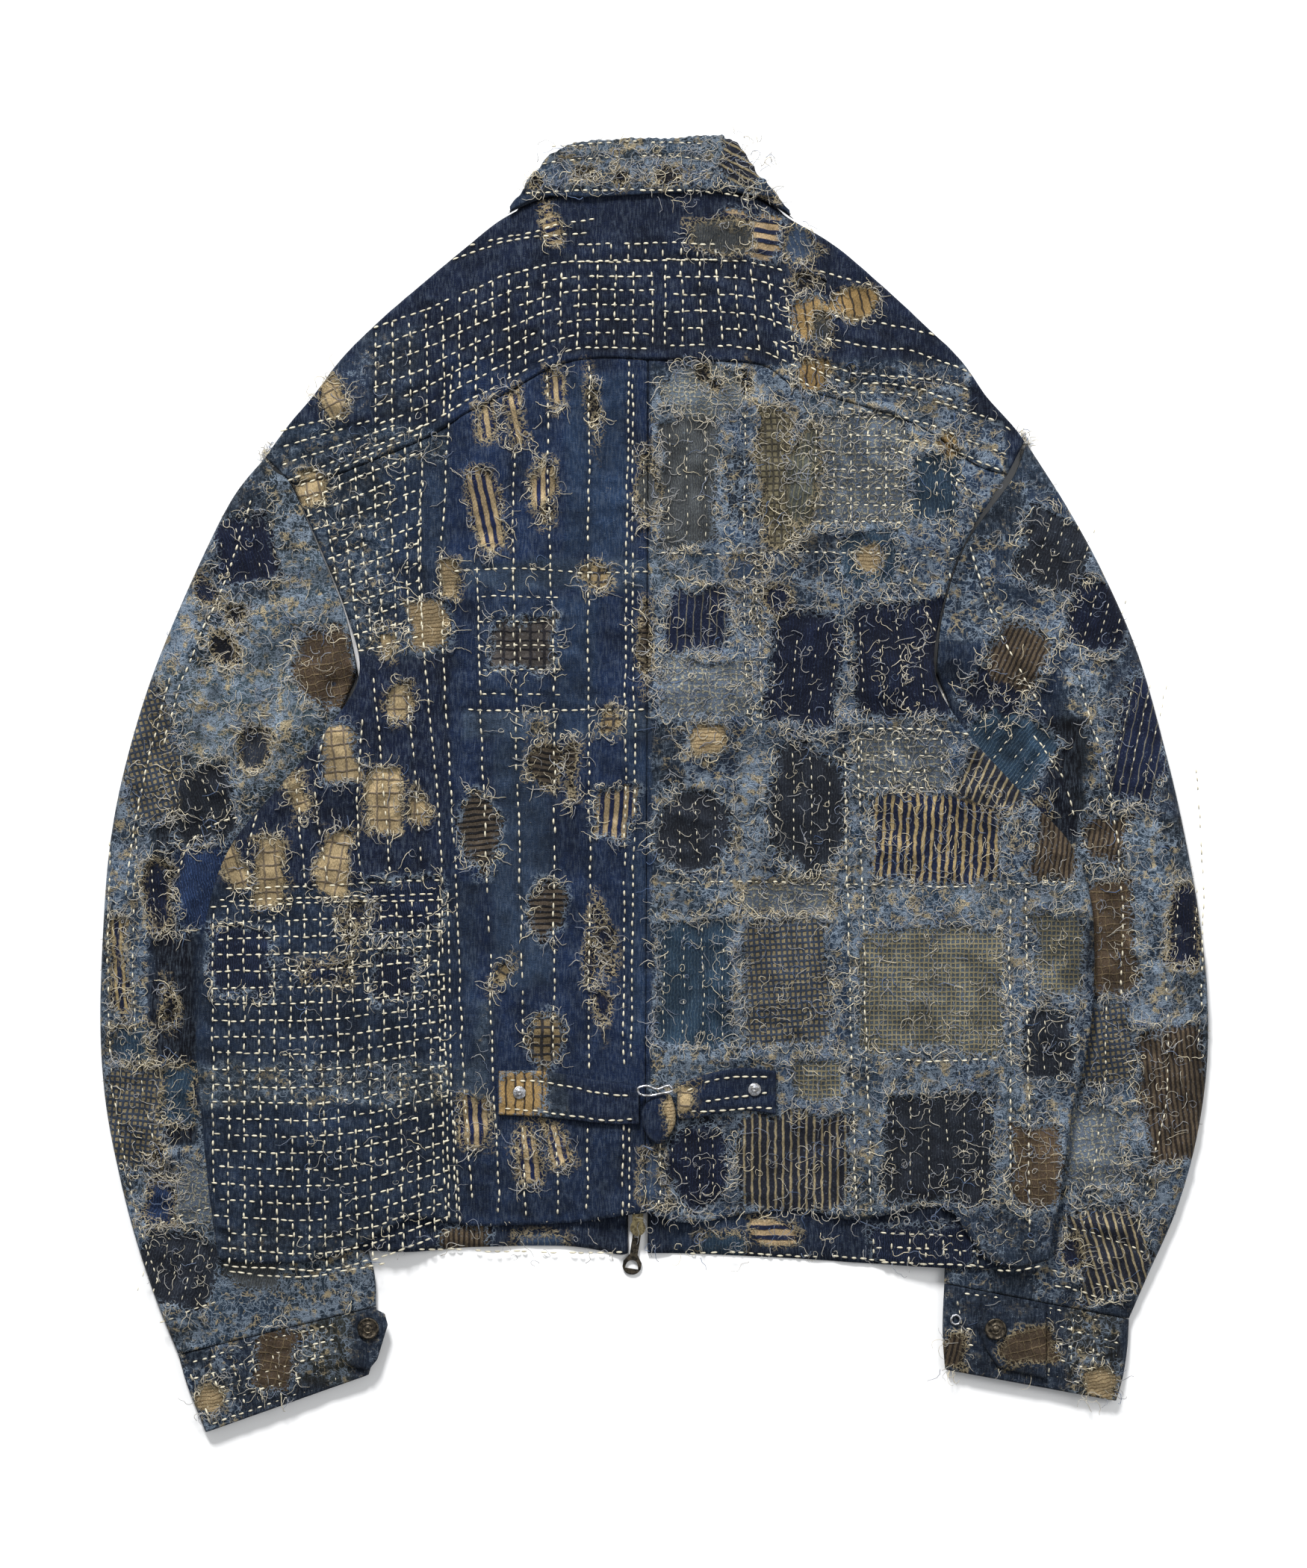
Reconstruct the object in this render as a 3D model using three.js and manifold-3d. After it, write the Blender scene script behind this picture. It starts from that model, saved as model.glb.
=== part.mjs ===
// A patched boro jacket of layered indigo cotton, laid flat on its front so that its back shows.
// Millimetres. +X is to the right of the laid jacket, +Y towards its collar, +Z up from the surface.
// The origin is on the surface, under the middle of the jacket's plan outline.
import * as THREE from "three";
import { mergeVertices } from "three/addons/utils/BufferGeometryUtils.js";
import Module from "manifold-3d";

const wasm = await Module();
wasm.setup();

// Cloth
const CLOTH = 3; // boro cloth: three layers of cotton held by running stitch
const TRIM_CLOTH = 2.4; // straps and cuff tabs
const SEAM_GAP = 0.35; // between two panels at a seam
const LAYER_GAP = 2.4; // air between a front panel and the back over it, which leaves room for the zip
const REST_GAP = 0.35; // between a piece and what it lies on
const SLEEVE_GAP = 1; // air inside a flattened sleeve

// Heights of the layers
const SLEEVE_TOP = 2 * CLOTH + SLEEVE_GAP;
const BACK_UNDERSIDE = CLOTH + LAYER_GAP;
const FRONT_OVER_SLEEVE = SLEEVE_TOP + 0.6;
const BACK_OVER_SLEEVE = FRONT_OVER_SLEEVE + 0.2;

// Where the sleeves go under the body, and how the layers' edges lie
const UNDERARM_Y = 66;
const COLLAR_SEAM_GAP = 1.3; // between the collar and the neckline
const ARMHOLE_GAP = 1.1; // between the body and a sleeve at the armhole seam
const ARMHOLE_BLEND = 0.14; // share of a sleeve's length over which it leaves the back's height
const SLEEVE_PUFF = 2.2; // how far a sleeve's upper wall stands up where it shows
const EDGE_ROUND = 5; // width of the strip in which a sleeve's folded edge rounds over
const EDGE_PULL = 0.5; // how far it rounds over, from 0 for square to 1 for sharp
const EDGE_ROLL = 12; // width of the strip in which the back comes down to the fronts
const EDGE_DIP = LAYER_GAP - REST_GAP;
const FRONT_TUCK = 3; // how far the fronts lie in from the shoulders and the collar's roll
const FRONT_HEM_AT_ZIP = -313.5;

// Zip
const ZIP_X = -11;
const ZIP_HALF_OPENING = 6.4;
const ZIP_TOP_Y = 346;
const TAPE_WIDTH = 13;
const TAPE_THICKNESS = 0.9;
const TAPE_UNDERSIDE = CLOTH + REST_GAP;
const CHAIN_WIDTH = 6;
const CHAIN_THICKNESS = 2.2;
const CHAIN_LIFT = 1.3; // how far the zip rises where it enters the slider
const SLIDER_TOP_Y = -287;
const SLIDER_LENGTH = 15;
const SLIDER_UNDERSIDE = 2.9;
const SLIDER_THICKNESS = 4.4;
const TAB_THICKNESS = 1.1;

// Hardware
const BUTTON_RADIUS = 7.25;
const RIVET_RADIUS = 4.4;

// Outline tables. Each row is a place on the outline, in plan.
// Shoulders: the silhouette from the neck points down to the tips where the sleeves start.
const SHOULDER_ROWS = [
  { y: 361, leftX: -124, rightX: 120 },
  { y: 335, leftX: -155, rightX: 151 },
  { y: 310, leftX: -184, rightX: 178 },
  { y: 285, leftX: -209, rightX: 204 },
  { y: 260, leftX: -228, rightX: 222 },
  { y: 240, leftX: -245, rightX: 240 },
];
const SHOULDER_TIPS = { leftX: -260, leftY: 219, rightX: 247.5, rightY: 229.5 };
// Neck seam, under the fall of the collar.
const NECK_SEAM_ROWS = [
  { x: -98, y: 380.5 },
  { x: -66, y: 393 },
  { x: -3, y: 398 },
  { x: 61, y: 394 },
  { x: 93, y: 377 },
];
// Seam between the yoke and the two halves of the back.
const YOKE_SEAM_ROWS = [
  { x: -242, y: 201 },
  { x: -216, y: 206 },
  { x: -190, y: 216 },
  { x: -150, y: 233 },
  { x: -125, y: 248.5 },
  { x: -98, y: 262 },
  { x: -66, y: 280 },
  { x: -37.5, y: 285 },
  { x: -4, y: 284 },
  { x: 42.5, y: 283 },
  { x: 73, y: 280 },
  { x: 94, y: 266 },
  { x: 123, y: 257.5 },
  { x: 158, y: 247.5 },
  { x: 187, y: 234 },
  { x: 214, y: 214 },
  { x: 236, y: 207 },
];
// Sides of the back: the armhole seams down to the underarms, then the folded sides.
const BODY_SIDE_ROWS = [
  { y: 201, leftX: -242, rightX: 236 },
  { y: 160, leftX: -224, rightX: 207 },
  { y: 115, leftX: -206, rightX: 192 },
  { y: 74, leftX: -197, rightX: 187.5 },
  { y: 40, leftX: -216, rightX: 205 },
  { y: 0, leftX: -249, rightX: 240 },
  { y: -38, leftX: -281, rightX: 277 },
  { y: -75, leftX: -296, rightX: 291 },
  { y: -120, leftX: -303, rightX: 294 },
  { y: -172, leftX: -306, rightX: 290 },
  { y: -225, leftX: -302, rightX: 278 },
  { y: -275, leftX: -297, rightX: 271 },
  { y: -317, leftX: -291, rightX: 264 },
];
// Sides of the fronts, which turn in under the back.
const FRONT_SIDE_ROWS = [
  { y: 205, leftX: -236, rightX: 231 },
  { y: 140, leftX: -207, rightX: 192 },
  { y: 90, leftX: -191.5, rightX: 182 },
  { y: 58, leftX: -189, rightX: 180.5 },
  { y: 28, leftX: -200, rightX: 190 },
  { y: 0, leftX: -214, rightX: 204 },
  { y: -34, leftX: -262, rightX: 252 },
  { y: -70, leftX: -287, rightX: 280 },
  { y: -120, leftX: -297, rightX: 288 },
  { y: -172, leftX: -300, rightX: 284 },
  { y: -225, leftX: -296, rightX: 272 },
  { y: -275, leftX: -291, rightX: 265 },
  { y: -313, leftX: -286, rightX: 259 },
];
// Hems: the back's, and the fronts' that show below it.
const HEM_ROWS = [
  { x: -291, backY: -317, frontY: -313 },
  { x: -262, backY: -320, frontY: -314 },
  { x: -226, backY: -318, frontY: -313 },
  { x: -200, backY: -309, frontY: -311 },
  { x: -163, backY: -291, frontY: -312.5 },
  { x: -118, backY: -295, frontY: -309.5 },
  { x: -57, backY: -293, frontY: -309 },
  { x: -24, backY: -288.5, frontY: -314.5 },
  { x: -6, backY: -286, frontY: -314 },
  { x: 24, backY: -293, frontY: -314 },
  { x: 70, backY: -286, frontY: -316 },
  { x: 107, backY: -286, frontY: -318 },
  { x: 136, backY: -291, frontY: -320 },
  { x: 191, backY: -282, frontY: -323 },
  { x: 210, backY: -302, frontY: -324 },
  { x: 225, backY: -319, frontY: -323 },
  { x: 244, backY: -322, frontY: -319 },
  { x: 264, backY: -317, frontY: -313 },
];
// Collar, from its left corner to its right one: where it rolls over, and the edge of its fall.
const COLLAR_ROWS = [
  { rollX: -96, rollY: 386, fallX: -97, fallY: 383 },
  { rollX: -79, rollY: 410, fallX: -77, fallY: 392.5 },
  { rollX: -66, rollY: 424, fallX: -62, fallY: 393 },
  { rollX: -48, rollY: 431, fallX: -44, fallY: 392.5 },
  { rollX: -15, rollY: 432.5, fallX: -15, fallY: 394 },
  { rollX: 18, rollY: 433, fallX: 17, fallY: 395.5 },
  { rollX: 47, rollY: 433, fallX: 43, fallY: 395.5 },
  { rollX: 58, rollY: 426, fallX: 58, fallY: 395 },
  { rollX: 72, rollY: 404, fallX: 72, fallY: 391 },
  { rollX: 90.5, rollY: 384, fallX: 91.5, fallY: 381 },
];

// Sleeves from armhole to cuff: the outer edge, then the inner edge that lies under the body.
const SLEEVE_LEFT_ROWS = [
  { outerX: -261, outerY: 218, innerX: -198, innerY: 74 },
  { outerX: -283, outerY: 190, innerX: -208, innerY: 50 },
  { outerX: -310, outerY: 135, innerX: -215, innerY: 20 },
  { outerX: -336, outerY: 72, innerX: -220, innerY: -20 },
  { outerX: -354, outerY: 12, innerX: -223, innerY: -65 },
  { outerX: -364, outerY: -40, innerX: -224, innerY: -105 },
  { outerX: -368.5, outerY: -95, innerX: -223, innerY: -145 },
  { outerX: -370.5, outerY: -160, innerX: -220, innerY: -185 },
  { outerX: -367, outerY: -212, innerX: -215, innerY: -220 },
  { outerX: -358, outerY: -260, innerX: -208, innerY: -255 },
  { outerX: -347, outerY: -303, innerX: -198, innerY: -290 },
  { outerX: -333, outerY: -345, innerX: -187.5, innerY: -325 },
  { outerX: -318.5, outerY: -380.5, innerX: -186, innerY: -348.5 },
];
const SLEEVE_RIGHT_ROWS = [
  { outerX: 249, outerY: 228.5, innerX: 188.5, innerY: 74 },
  { outerX: 276, outerY: 186, innerX: 198, innerY: 50 },
  { outerX: 301, outerY: 140, innerX: 205, innerY: 20 },
  { outerX: 324, outerY: 86, innerX: 210, innerY: -20 },
  { outerX: 342, outerY: 22, innerX: 214, innerY: -65 },
  { outerX: 354, outerY: -30, innerX: 215, innerY: -110 },
  { outerX: 364, outerY: -85, innerX: 214, innerY: -150 },
  { outerX: 370, outerY: -140, innerX: 211, innerY: -190 },
  { outerX: 369.5, outerY: -190, innerX: 207, innerY: -230 },
  { outerX: 362, outerY: -240, innerX: 203, innerY: -265 },
  { outerX: 349, outerY: -285, innerX: 198, innerY: -298 },
  { outerX: 331, outerY: -326, innerX: 194.5, innerY: -322 },
  { outerX: 317.5, outerY: -357, innerX: 194, innerY: -333 },
];
const CUFF_LEFT_ROWS = [
  { outerX: -318.3, outerY: -381.1, innerX: -186, innerY: -349.1 },
  { outerX: -313, outerY: -400, innerX: -184.5, innerY: -366 },
  { outerX: -306, outerY: -418, innerX: -188, innerY: -384 },
  { outerX: -300, outerY: -433, innerX: -191, innerY: -394.5 },
];
const CUFF_RIGHT_ROWS = [
  { outerX: 317.5, outerY: -357.6, innerX: 194, innerY: -333.6 },
  { outerX: 316.5, outerY: -376, innerX: 193, innerY: -354 },
  { outerX: 313.5, outerY: -396, innerX: 193, innerY: -372 },
  { outerX: 309, outerY: -412, innerX: 194.5, innerY: -391 },
];

// Folds: a soft ridge of the given height and half width along the line from start to end.
const BACK_FOLDS = [
  { startX: 124, startY: -70, endX: 72, endY: -172, halfWidth: 11, height: 6 },
  { startX: 62, startY: -92, endX: 30, endY: -165, halfWidth: 9, height: 4.5 },
  { startX: 96, startY: -100, endX: 52, endY: -178, halfWidth: 8, height: 3 },
  { startX: -205, startY: 55, endX: -262, endY: -30, halfWidth: 12, height: 4 },
  { startX: 196, startY: 52, endX: 268, endY: -38, halfWidth: 12, height: 4 },
  { startX: -176, startY: 74, endX: -214, endY: -22, halfWidth: 13, height: 4.5 },
  { startX: 168, startY: 60, endX: 214, endY: -25, halfWidth: 14, height: 4 },
  { startX: -52, startY: 262, endX: -50, endY: 150, halfWidth: 8, height: 2.5 },
  { startX: 96, startY: 244, endX: 104, endY: 170, halfWidth: 9, height: 4 },
  { startX: -142, startY: 60, endX: -136, endY: -280, halfWidth: 9, height: 2 },
  { startX: -90, startY: -120, endX: -62, endY: -182, halfWidth: 9, height: 3 },
  { startX: -255, startY: -120, endX: -250, endY: -270, halfWidth: 22, height: 3 },
  { startX: 232, startY: -90, endX: 246, endY: -240, halfWidth: 20, height: 3 },
  { startX: 150, startY: -200, endX: 120, endY: -270, halfWidth: 14, height: 2.5 },
  { startX: -11, startY: -250, endX: -11, endY: -300, halfWidth: 26, height: 2.6 },
];
const YOKE_FOLDS = [
  { startX: -215, startY: 235, endX: -100, endY: 320, halfWidth: 16, height: 2 },
  { startX: 110, startY: 318, endX: 214, endY: 245, halfWidth: 16, height: 2.2 },
];
const SLEEVE_FOLDS = [
  { startX: -250, startY: 92, endX: -330, endY: -40, halfWidth: 15, height: 5 },
  { startX: -345, startY: -30, endX: -352, endY: -190, halfWidth: 13, height: 5.5 },
  { startX: -352, startY: -190, endX: -318, endY: -290, halfWidth: 13, height: 4 },
  { startX: -300, startY: 118, endX: -322, endY: 60, halfWidth: 14, height: 3 },
  { startX: -300, startY: -330, endX: -240, endY: -338, halfWidth: 12, height: 3 },
  { startX: 244, startY: 105, endX: 318, endY: -20, halfWidth: 14, height: 4.5 },
  { startX: 334, startY: 10, endX: 352, endY: -110, halfWidth: 13, height: 5 },
  { startX: 350, startY: -120, endX: 334, endY: -230, halfWidth: 14, height: 4.5 },
  { startX: 336, startY: -235, endX: 300, endY: -318, halfWidth: 12, height: 4 },
  { startX: 290, startY: 160, endX: 312, endY: 90, halfWidth: 13, height: 3 },
];

const MATERIALS = {
  indigo: new THREE.MeshStandardMaterial({ color: 0x2b4166, roughness: 0.95, metalness: 0 }),
  navy: new THREE.MeshStandardMaterial({ color: 0x1c2a45, roughness: 0.95, metalness: 0 }),
  washed: new THREE.MeshStandardMaterial({ color: 0x536a86, roughness: 0.95, metalness: 0 }),
  tape: new THREE.MeshStandardMaterial({ color: 0x14161c, roughness: 0.9, metalness: 0 }),
  brass: new THREE.MeshStandardMaterial({ color: 0x8f8560, roughness: 0.45, metalness: 1 }),
  darkMetal: new THREE.MeshStandardMaterial({ color: 0x3c392f, roughness: 0.45, metalness: 1 }),
  steel: new THREE.MeshStandardMaterial({ color: 0xb9bac2, roughness: 0.35, metalness: 1 }),
};

const jacket = new THREE.Group();

function addPiece(name, geometry, material) {
  const piece = new THREE.Mesh(geometry, material);
  piece.name = name;
  jacket.add(piece);
  return piece;
}

const plan = (x, y) => new THREE.Vector2(x, y);
const curveThrough = (points) => new THREE.SplineCurve(points);

// One edge made of two curves that meet at its middle.
const joined = (first, second) => ({
  getPointAt: (share) => (share <= 0.5 ? first.getPointAt(2 * share) : second.getPointAt(2 * share - 1)),
});

function smoothStep(low, high, value) {
  const share = THREE.MathUtils.clamp((value - low) / (high - low), 0, 1);
  return share * share * (3 - 2 * share);
}

// The height that a table of folds adds at a point in plan.
function foldHeight(folds, x, y) {
  const point = new THREE.Vector3(x, y, 0);
  const onLine = new THREE.Vector3();
  return folds.reduce((height, fold) => {
    const line = new THREE.Line3(
      new THREE.Vector3(fold.startX, fold.startY, 0),
      new THREE.Vector3(fold.endX, fold.endY, 0),
    );
    const along = line.closestPointToPointParameter(point, true);
    line.at(along, onLine);
    const away = onLine.distanceTo(point) / fold.halfWidth;
    const fade = smoothStep(0, 0.25, along) * smoothStep(1, 0.75, along);
    return height + fold.height * Math.exp(-away * away) * Math.max(fade, 0.35);
  }, 0);
}

// The value of one column of a table at a given Y, for rows that run downwards.
function columnAt(rows, yColumn, column, y) {
  const last = rows.length - 1;
  if (y >= rows[0][yColumn]) return rows[0][column];
  if (y <= rows[last][yColumn]) return rows[last][column];
  const next = rows.findIndex((row) => row[yColumn] < y);
  const above = rows[next - 1];
  const below = rows[next];
  const share = (above[yColumn] - y) / (above[yColumn] - below[yColumn]);
  return THREE.MathUtils.lerp(above[column], below[column], share);
}

// How far a point in plan lies outside the body's sides.
function outsideBody(x, y) {
  const left = columnAt(BODY_SIDE_ROWS, "y", "leftX", y) - x;
  const right = x - columnAt(BODY_SIDE_ROWS, "y", "rightX", y);
  return Math.max(left, right);
}

// How far a point in plan lies over a sleeve, from the sleeve's inner edge.
function overSleeve(x, y) {
  if (y > UNDERARM_Y) return outsideBody(x, y);
  const left = columnAt(SLEEVE_LEFT_ROWS, "innerY", "innerX", y) - x;
  const right = x - columnAt(SLEEVE_RIGHT_ROWS, "innerY", "innerX", y);
  return Math.max(left, right);
}

// Underside of a front panel: on the surface, and up over the sleeves below the underarms.
function frontUnderside(x, y) {
  return FRONT_OVER_SLEEVE * smoothStep(-60, -14, overSleeve(x, y)) * smoothStep(74, 28, y);
}

// How far the back's underside comes down to the front panel at its folded sides and its hem.
function edgeDip(x, y) {
  const hem = HEM_ROWS.findIndex((row) => row.x > x);
  const hemY = HEM_ROWS[THREE.MathUtils.clamp(hem, 0, HEM_ROWS.length - 1)].backY;
  const side = smoothStep(-EDGE_ROLL, -1, outsideBody(x, y)) * smoothStep(20, -40, y);
  const clearOfZip = smoothStep(24, 40, Math.abs(x - ZIP_X));
  return Math.max(side, smoothStep(EDGE_ROLL, 1, y - hemY) * clearOfZip);
}

// Underside of the back: over the front panels, up over the sleeves, with its folds.
function backUnderside(x, y) {
  const rise = BACK_OVER_SLEEVE * smoothStep(-74, -14, overSleeve(x, y)) * smoothStep(112, UNDERARM_Y, y);
  return BACK_UNDERSIDE + rise + foldHeight(BACK_FOLDS, x, y) - EDGE_DIP * edgeDip(x, y);
}

function yokeUnderside(x, y) {
  return BACK_UNDERSIDE + foldHeight(YOKE_FOLDS, x, y);
}

// A Coons patch: a point of a four-sided panel from its four edge curves.
function panelPoint(edges, across, down) {
  const rows = edges.top.getPointAt(across).lerp(edges.bottom.getPointAt(across), down);
  const columns = edges.left.getPointAt(down).lerp(edges.right.getPointAt(down), across);
  const above = edges.top.getPointAt(0).lerp(edges.top.getPointAt(1), across);
  const below = edges.bottom.getPointAt(0).lerp(edges.bottom.getPointAt(1), across);
  return rows.add(columns).sub(above.lerp(below, down));
}

// The plan of a panel as a grid of points, its outermost points drawn in by half a seam's gap.
function planGrid(edges, columns, rows, drawnIn = SEAM_GAP / 2) {
  const grid = Array.from({ length: rows + 1 }, (_, row) =>
    Array.from({ length: columns + 1 }, (__, column) => panelPoint(edges, column / columns, row / rows)),
  );
  const towards = (point, inner) => point.add(inner.clone().sub(point).setLength(drawnIn));
  if (drawnIn > 0) {
    for (let column = 0; column <= columns; column++) {
      towards(grid[0][column], grid[1][column]);
      towards(grid[rows][column], grid[rows - 1][column]);
    }
    for (const line of grid) {
      towards(line[0], line[1]);
      towards(line[columns], line[columns - 1]);
    }
  }
  return grid;
}

const raised = (grid, heightAt) =>
  grid.map((row) => row.map((p) => new THREE.Vector3(p.x, p.y, heightAt(p.x, p.y))));

function geometryFrom(points, triangles) {
  const geometry = new THREE.BufferGeometry();
  const positions = points.flatMap((p) => [p.x, p.y, p.z]);
  geometry.setAttribute("position", new THREE.Float32BufferAttribute(positions, 3));
  geometry.setIndex(triangles.flat());
  geometry.computeVertexNormals();
  return geometry;
}

// A closed wall between two grids of the same size: faces over, faces under and a rim all round.
function wallBetween(under, over) {
  const rows = under.length;
  const columns = under[0].length;
  const points = [...under.flat(), ...over.flat()];
  const low = (row, column) => row * columns + column;
  const high = (row, column) => rows * columns + low(row, column);
  const triangles = [];
  const quad = (a, b, c, d) => triangles.push([a, b, c], [a, c, d]);
  for (let row = 0; row < rows - 1; row++) {
    for (let column = 0; column < columns - 1; column++) {
      quad(high(row, column), high(row + 1, column), high(row + 1, column + 1), high(row, column + 1));
      quad(low(row, column), low(row, column + 1), low(row + 1, column + 1), low(row + 1, column));
    }
    quad(low(row, 0), low(row + 1, 0), high(row + 1, 0), high(row, 0));
    const edge = columns - 1;
    quad(low(row + 1, edge), low(row, edge), high(row, edge), high(row + 1, edge));
  }
  for (let column = 0; column < columns - 1; column++) {
    quad(low(0, column + 1), low(0, column), high(0, column), high(0, column + 1));
    const edge = rows - 1;
    quad(low(edge, column), low(edge, column + 1), high(edge, column + 1), high(edge, column));
  }
  return geometryFrom(points, triangles);
}

// A cloth panel lying nearly level: its underside from heightAt, its outer face one thickness above.
function clothPanel(edges, columns, rows, heightAt, thickness = CLOTH) {
  const grid = planGrid(edges, columns, rows);
  return wallBetween(raised(grid, heightAt), raised(grid, (x, y) => heightAt(x, y) + thickness));
}

// A wall of even thickness about a grid that bends, such as a collar that folds back on itself.
function bentWall(middle, thickness) {
  const last = { row: middle.length - 1, column: middle[0].length - 1 };
  const offset = (side) =>
    middle.map((row, r) =>
      row.map((point, c) => {
        const down = middle[Math.min(r + 1, last.row)][c].clone().sub(middle[Math.max(r - 1, 0)][c]);
        const across = row[Math.min(c + 1, last.column)].clone().sub(row[Math.max(c - 1, 0)]);
        const normal = down.cross(across).normalize();
        return point.clone().addScaledVector(normal, (side * thickness) / 2);
      }),
    );
  return wallBetween(offset(-1), offset(1));
}

// A flattened tube over a panel's plan: an outer loop of points at each row, and an inner one.
function flatTube(edges, columns, rows, ceilingAt) {
  const grid = planGrid(edges, columns, rows, 0);
  const loops = (inset) =>
    grid.map((line, row) => {
      const width = line[0].distanceTo(line[columns]);
      const squeeze = 1 - (2 * inset) / width;
      const spread = (column) => {
        if (column === 0 || column === columns) return column / columns;
        const first = EDGE_ROUND / width;
        return THREE.MathUtils.mapLinear(column, 1, columns - 1, first, 1 - first);
      };
      const place = (column) => {
        const share = 0.5 + (spread(column) - 0.5) * squeeze;
        const at = share * columns;
        const low = Math.min(Math.floor(at), columns - 1);
        return line[low].clone().lerp(line[low + 1], at - low);
      };
      const middle = CLOTH + SLEEVE_GAP / 2;
      const wall = inset ? 0 : CLOTH;
      const point = (column, top) => {
        const { x, y } = place(column);
        const level = top ? ceilingAt(x, y, row / rows) + wall : CLOTH - wall;
        const pull = !inset && (column === 0 || column === columns) ? EDGE_PULL : 0;
        return new THREE.Vector3(x, y, THREE.MathUtils.lerp(level, middle, pull));
      };
      const across = Array.from({ length: columns + 1 }, (_, column) => column);
      return [...across.map((c) => point(c, true)), ...across.reverse().map((c) => point(c, false))];
    });
  const outer = loops(0);
  const inner = loops(CLOTH);
  const around = outer[0].length;
  const points = [...outer.flat(), ...inner.flat()];
  const out = (row, k) => row * around + (k % around);
  const inn = (row, k) => (rows + 1) * around + out(row, k);
  const triangles = [];
  const quad = (a, b, c, d) => triangles.push([a, b, c], [a, c, d]);
  for (let k = 0; k < around; k++) {
    for (let row = 0; row < rows; row++) {
      quad(out(row, k), out(row + 1, k), out(row + 1, k + 1), out(row, k + 1));
      quad(inn(row, k), inn(row, k + 1), inn(row + 1, k + 1), inn(row + 1, k));
    }
    quad(out(0, k), out(0, k + 1), inn(0, k + 1), inn(0, k));
    quad(out(rows, k + 1), out(rows, k), inn(rows, k), inn(rows, k + 1));
  }
  return geometryFrom(points, triangles);
}

function solidFrom(geometry) {
  const bare = geometry.clone();
  bare.deleteAttribute("normal");
  bare.deleteAttribute("uv");
  const merged = mergeVertices(bare, 1e-4);
  return new wasm.Manifold(
    new wasm.Mesh({
      numProp: 3,
      vertProperties: new Float32Array(merged.attributes.position.array),
      triVerts: new Uint32Array(merged.index.array),
    }),
  );
}

function geometryOfSolid(solid) {
  const mesh = solid.getMesh();
  const geometry = new THREE.BufferGeometry();
  geometry.setAttribute("position", new THREE.BufferAttribute(Float32Array.from(mesh.vertProperties), 3));
  geometry.setIndex(new THREE.BufferAttribute(Uint32Array.from(mesh.triVerts), 1));
  geometry.computeVertexNormals();
  return geometry;
}

// A plan outline drawn up into a plate from height 0.
function plate(outline, depth, curveSegments) {
  return new THREE.ExtrudeGeometry(outline, { depth, bevelEnabled: false, curveSegments });
}

// The one rip that goes right through the jacket, in the yoke and the front under it.
const RIP = { x: 111.5, y: 334.5, halfWidth: 3.2, halfHeight: 2.4, turn: 0.35, depth: 30 };
function ripped(geometry) {
  const outline = new THREE.Shape();
  outline.absellipse(0, 0, RIP.halfWidth, RIP.halfHeight, 0, 2 * Math.PI, false, RIP.turn);
  const cutter = plate(outline, RIP.depth, 4).translate(RIP.x, RIP.y, -RIP.depth / 2);
  return geometryOfSolid(solidFrom(geometry).subtract(solidFrom(cutter)));
}

// Body panels

const ends = (curve) => [curve.getPointAt(0), curve.getPointAt(1)];
const lineBetween = (from, to) => curveThrough([from, to]);

const neckSeam = NECK_SEAM_ROWS.map((row) => plan(row.x, row.y));
const shoulderLeft = [...SHOULDER_ROWS].reverse().map((row) => plan(row.leftX, row.y));
const shoulderRight = SHOULDER_ROWS.map((row) => plan(row.rightX, row.y));
const tipLeft = plan(SHOULDER_TIPS.leftX, SHOULDER_TIPS.leftY);
const tipRight = plan(SHOULDER_TIPS.rightX, SHOULDER_TIPS.rightY);
const shoulderLine = curveThrough([tipLeft, ...shoulderLeft, ...neckSeam, ...shoulderRight, tipRight]);

const MIDDLE_ROW = 8; // of the yoke seam, where the back's centre seam starts
const yokeSeam = YOKE_SEAM_ROWS.map((row) => plan(row.x, row.y));
const yokeSeamLeft = curveThrough(yokeSeam.slice(0, MIDDLE_ROW + 1));
const yokeSeamRight = curveThrough(yokeSeam.slice(MIDDLE_ROW));
const yokeSeamWhole = joined(yokeSeamLeft, yokeSeamRight);
const yokeEdges = {
  top: shoulderLine,
  bottom: yokeSeamWhole,
  left: lineBetween(tipLeft, yokeSeam[0]),
  right: lineBetween(tipRight, yokeSeam.at(-1)),
};
const BACK_COLUMNS = 14;
const BACK_ROWS = 25;
addPiece("yoke", ripped(clothPanel(yokeEdges, 2 * BACK_COLUMNS, 7, yokeUnderside)), MATERIALS.navy);

const hemRow = HEM_ROWS.findIndex((row) => row.x > YOKE_SEAM_ROWS[MIDDLE_ROW].x) - 1;
const backHem = HEM_ROWS.map((row) => plan(row.x, row.backY));
const backSide = (column, top, bottom) =>
  curveThrough([top, ...BODY_SIDE_ROWS.slice(1, -1).map((row) => plan(row[column], row.y)), bottom]);
const centreSeam = lineBetween(yokeSeam[MIDDLE_ROW], backHem[hemRow]);
addPiece(
  "back_left",
  clothPanel(
    {
      top: yokeSeamLeft,
      bottom: curveThrough(backHem.slice(0, hemRow + 1)),
      left: backSide("leftX", yokeSeam[0], backHem[0]),
      right: centreSeam,
    },
    BACK_COLUMNS,
    BACK_ROWS,
    backUnderside,
  ),
  MATERIALS.indigo,
);
addPiece(
  "back_right",
  clothPanel(
    {
      top: yokeSeamRight,
      bottom: curveThrough(backHem.slice(hemRow)),
      left: centreSeam,
      right: backSide("rightX", yokeSeam.at(-1), backHem.at(-1)),
    },
    BACK_COLUMNS,
    BACK_ROWS,
    backUnderside,
  ),
  MATERIALS.washed,
);

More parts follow.
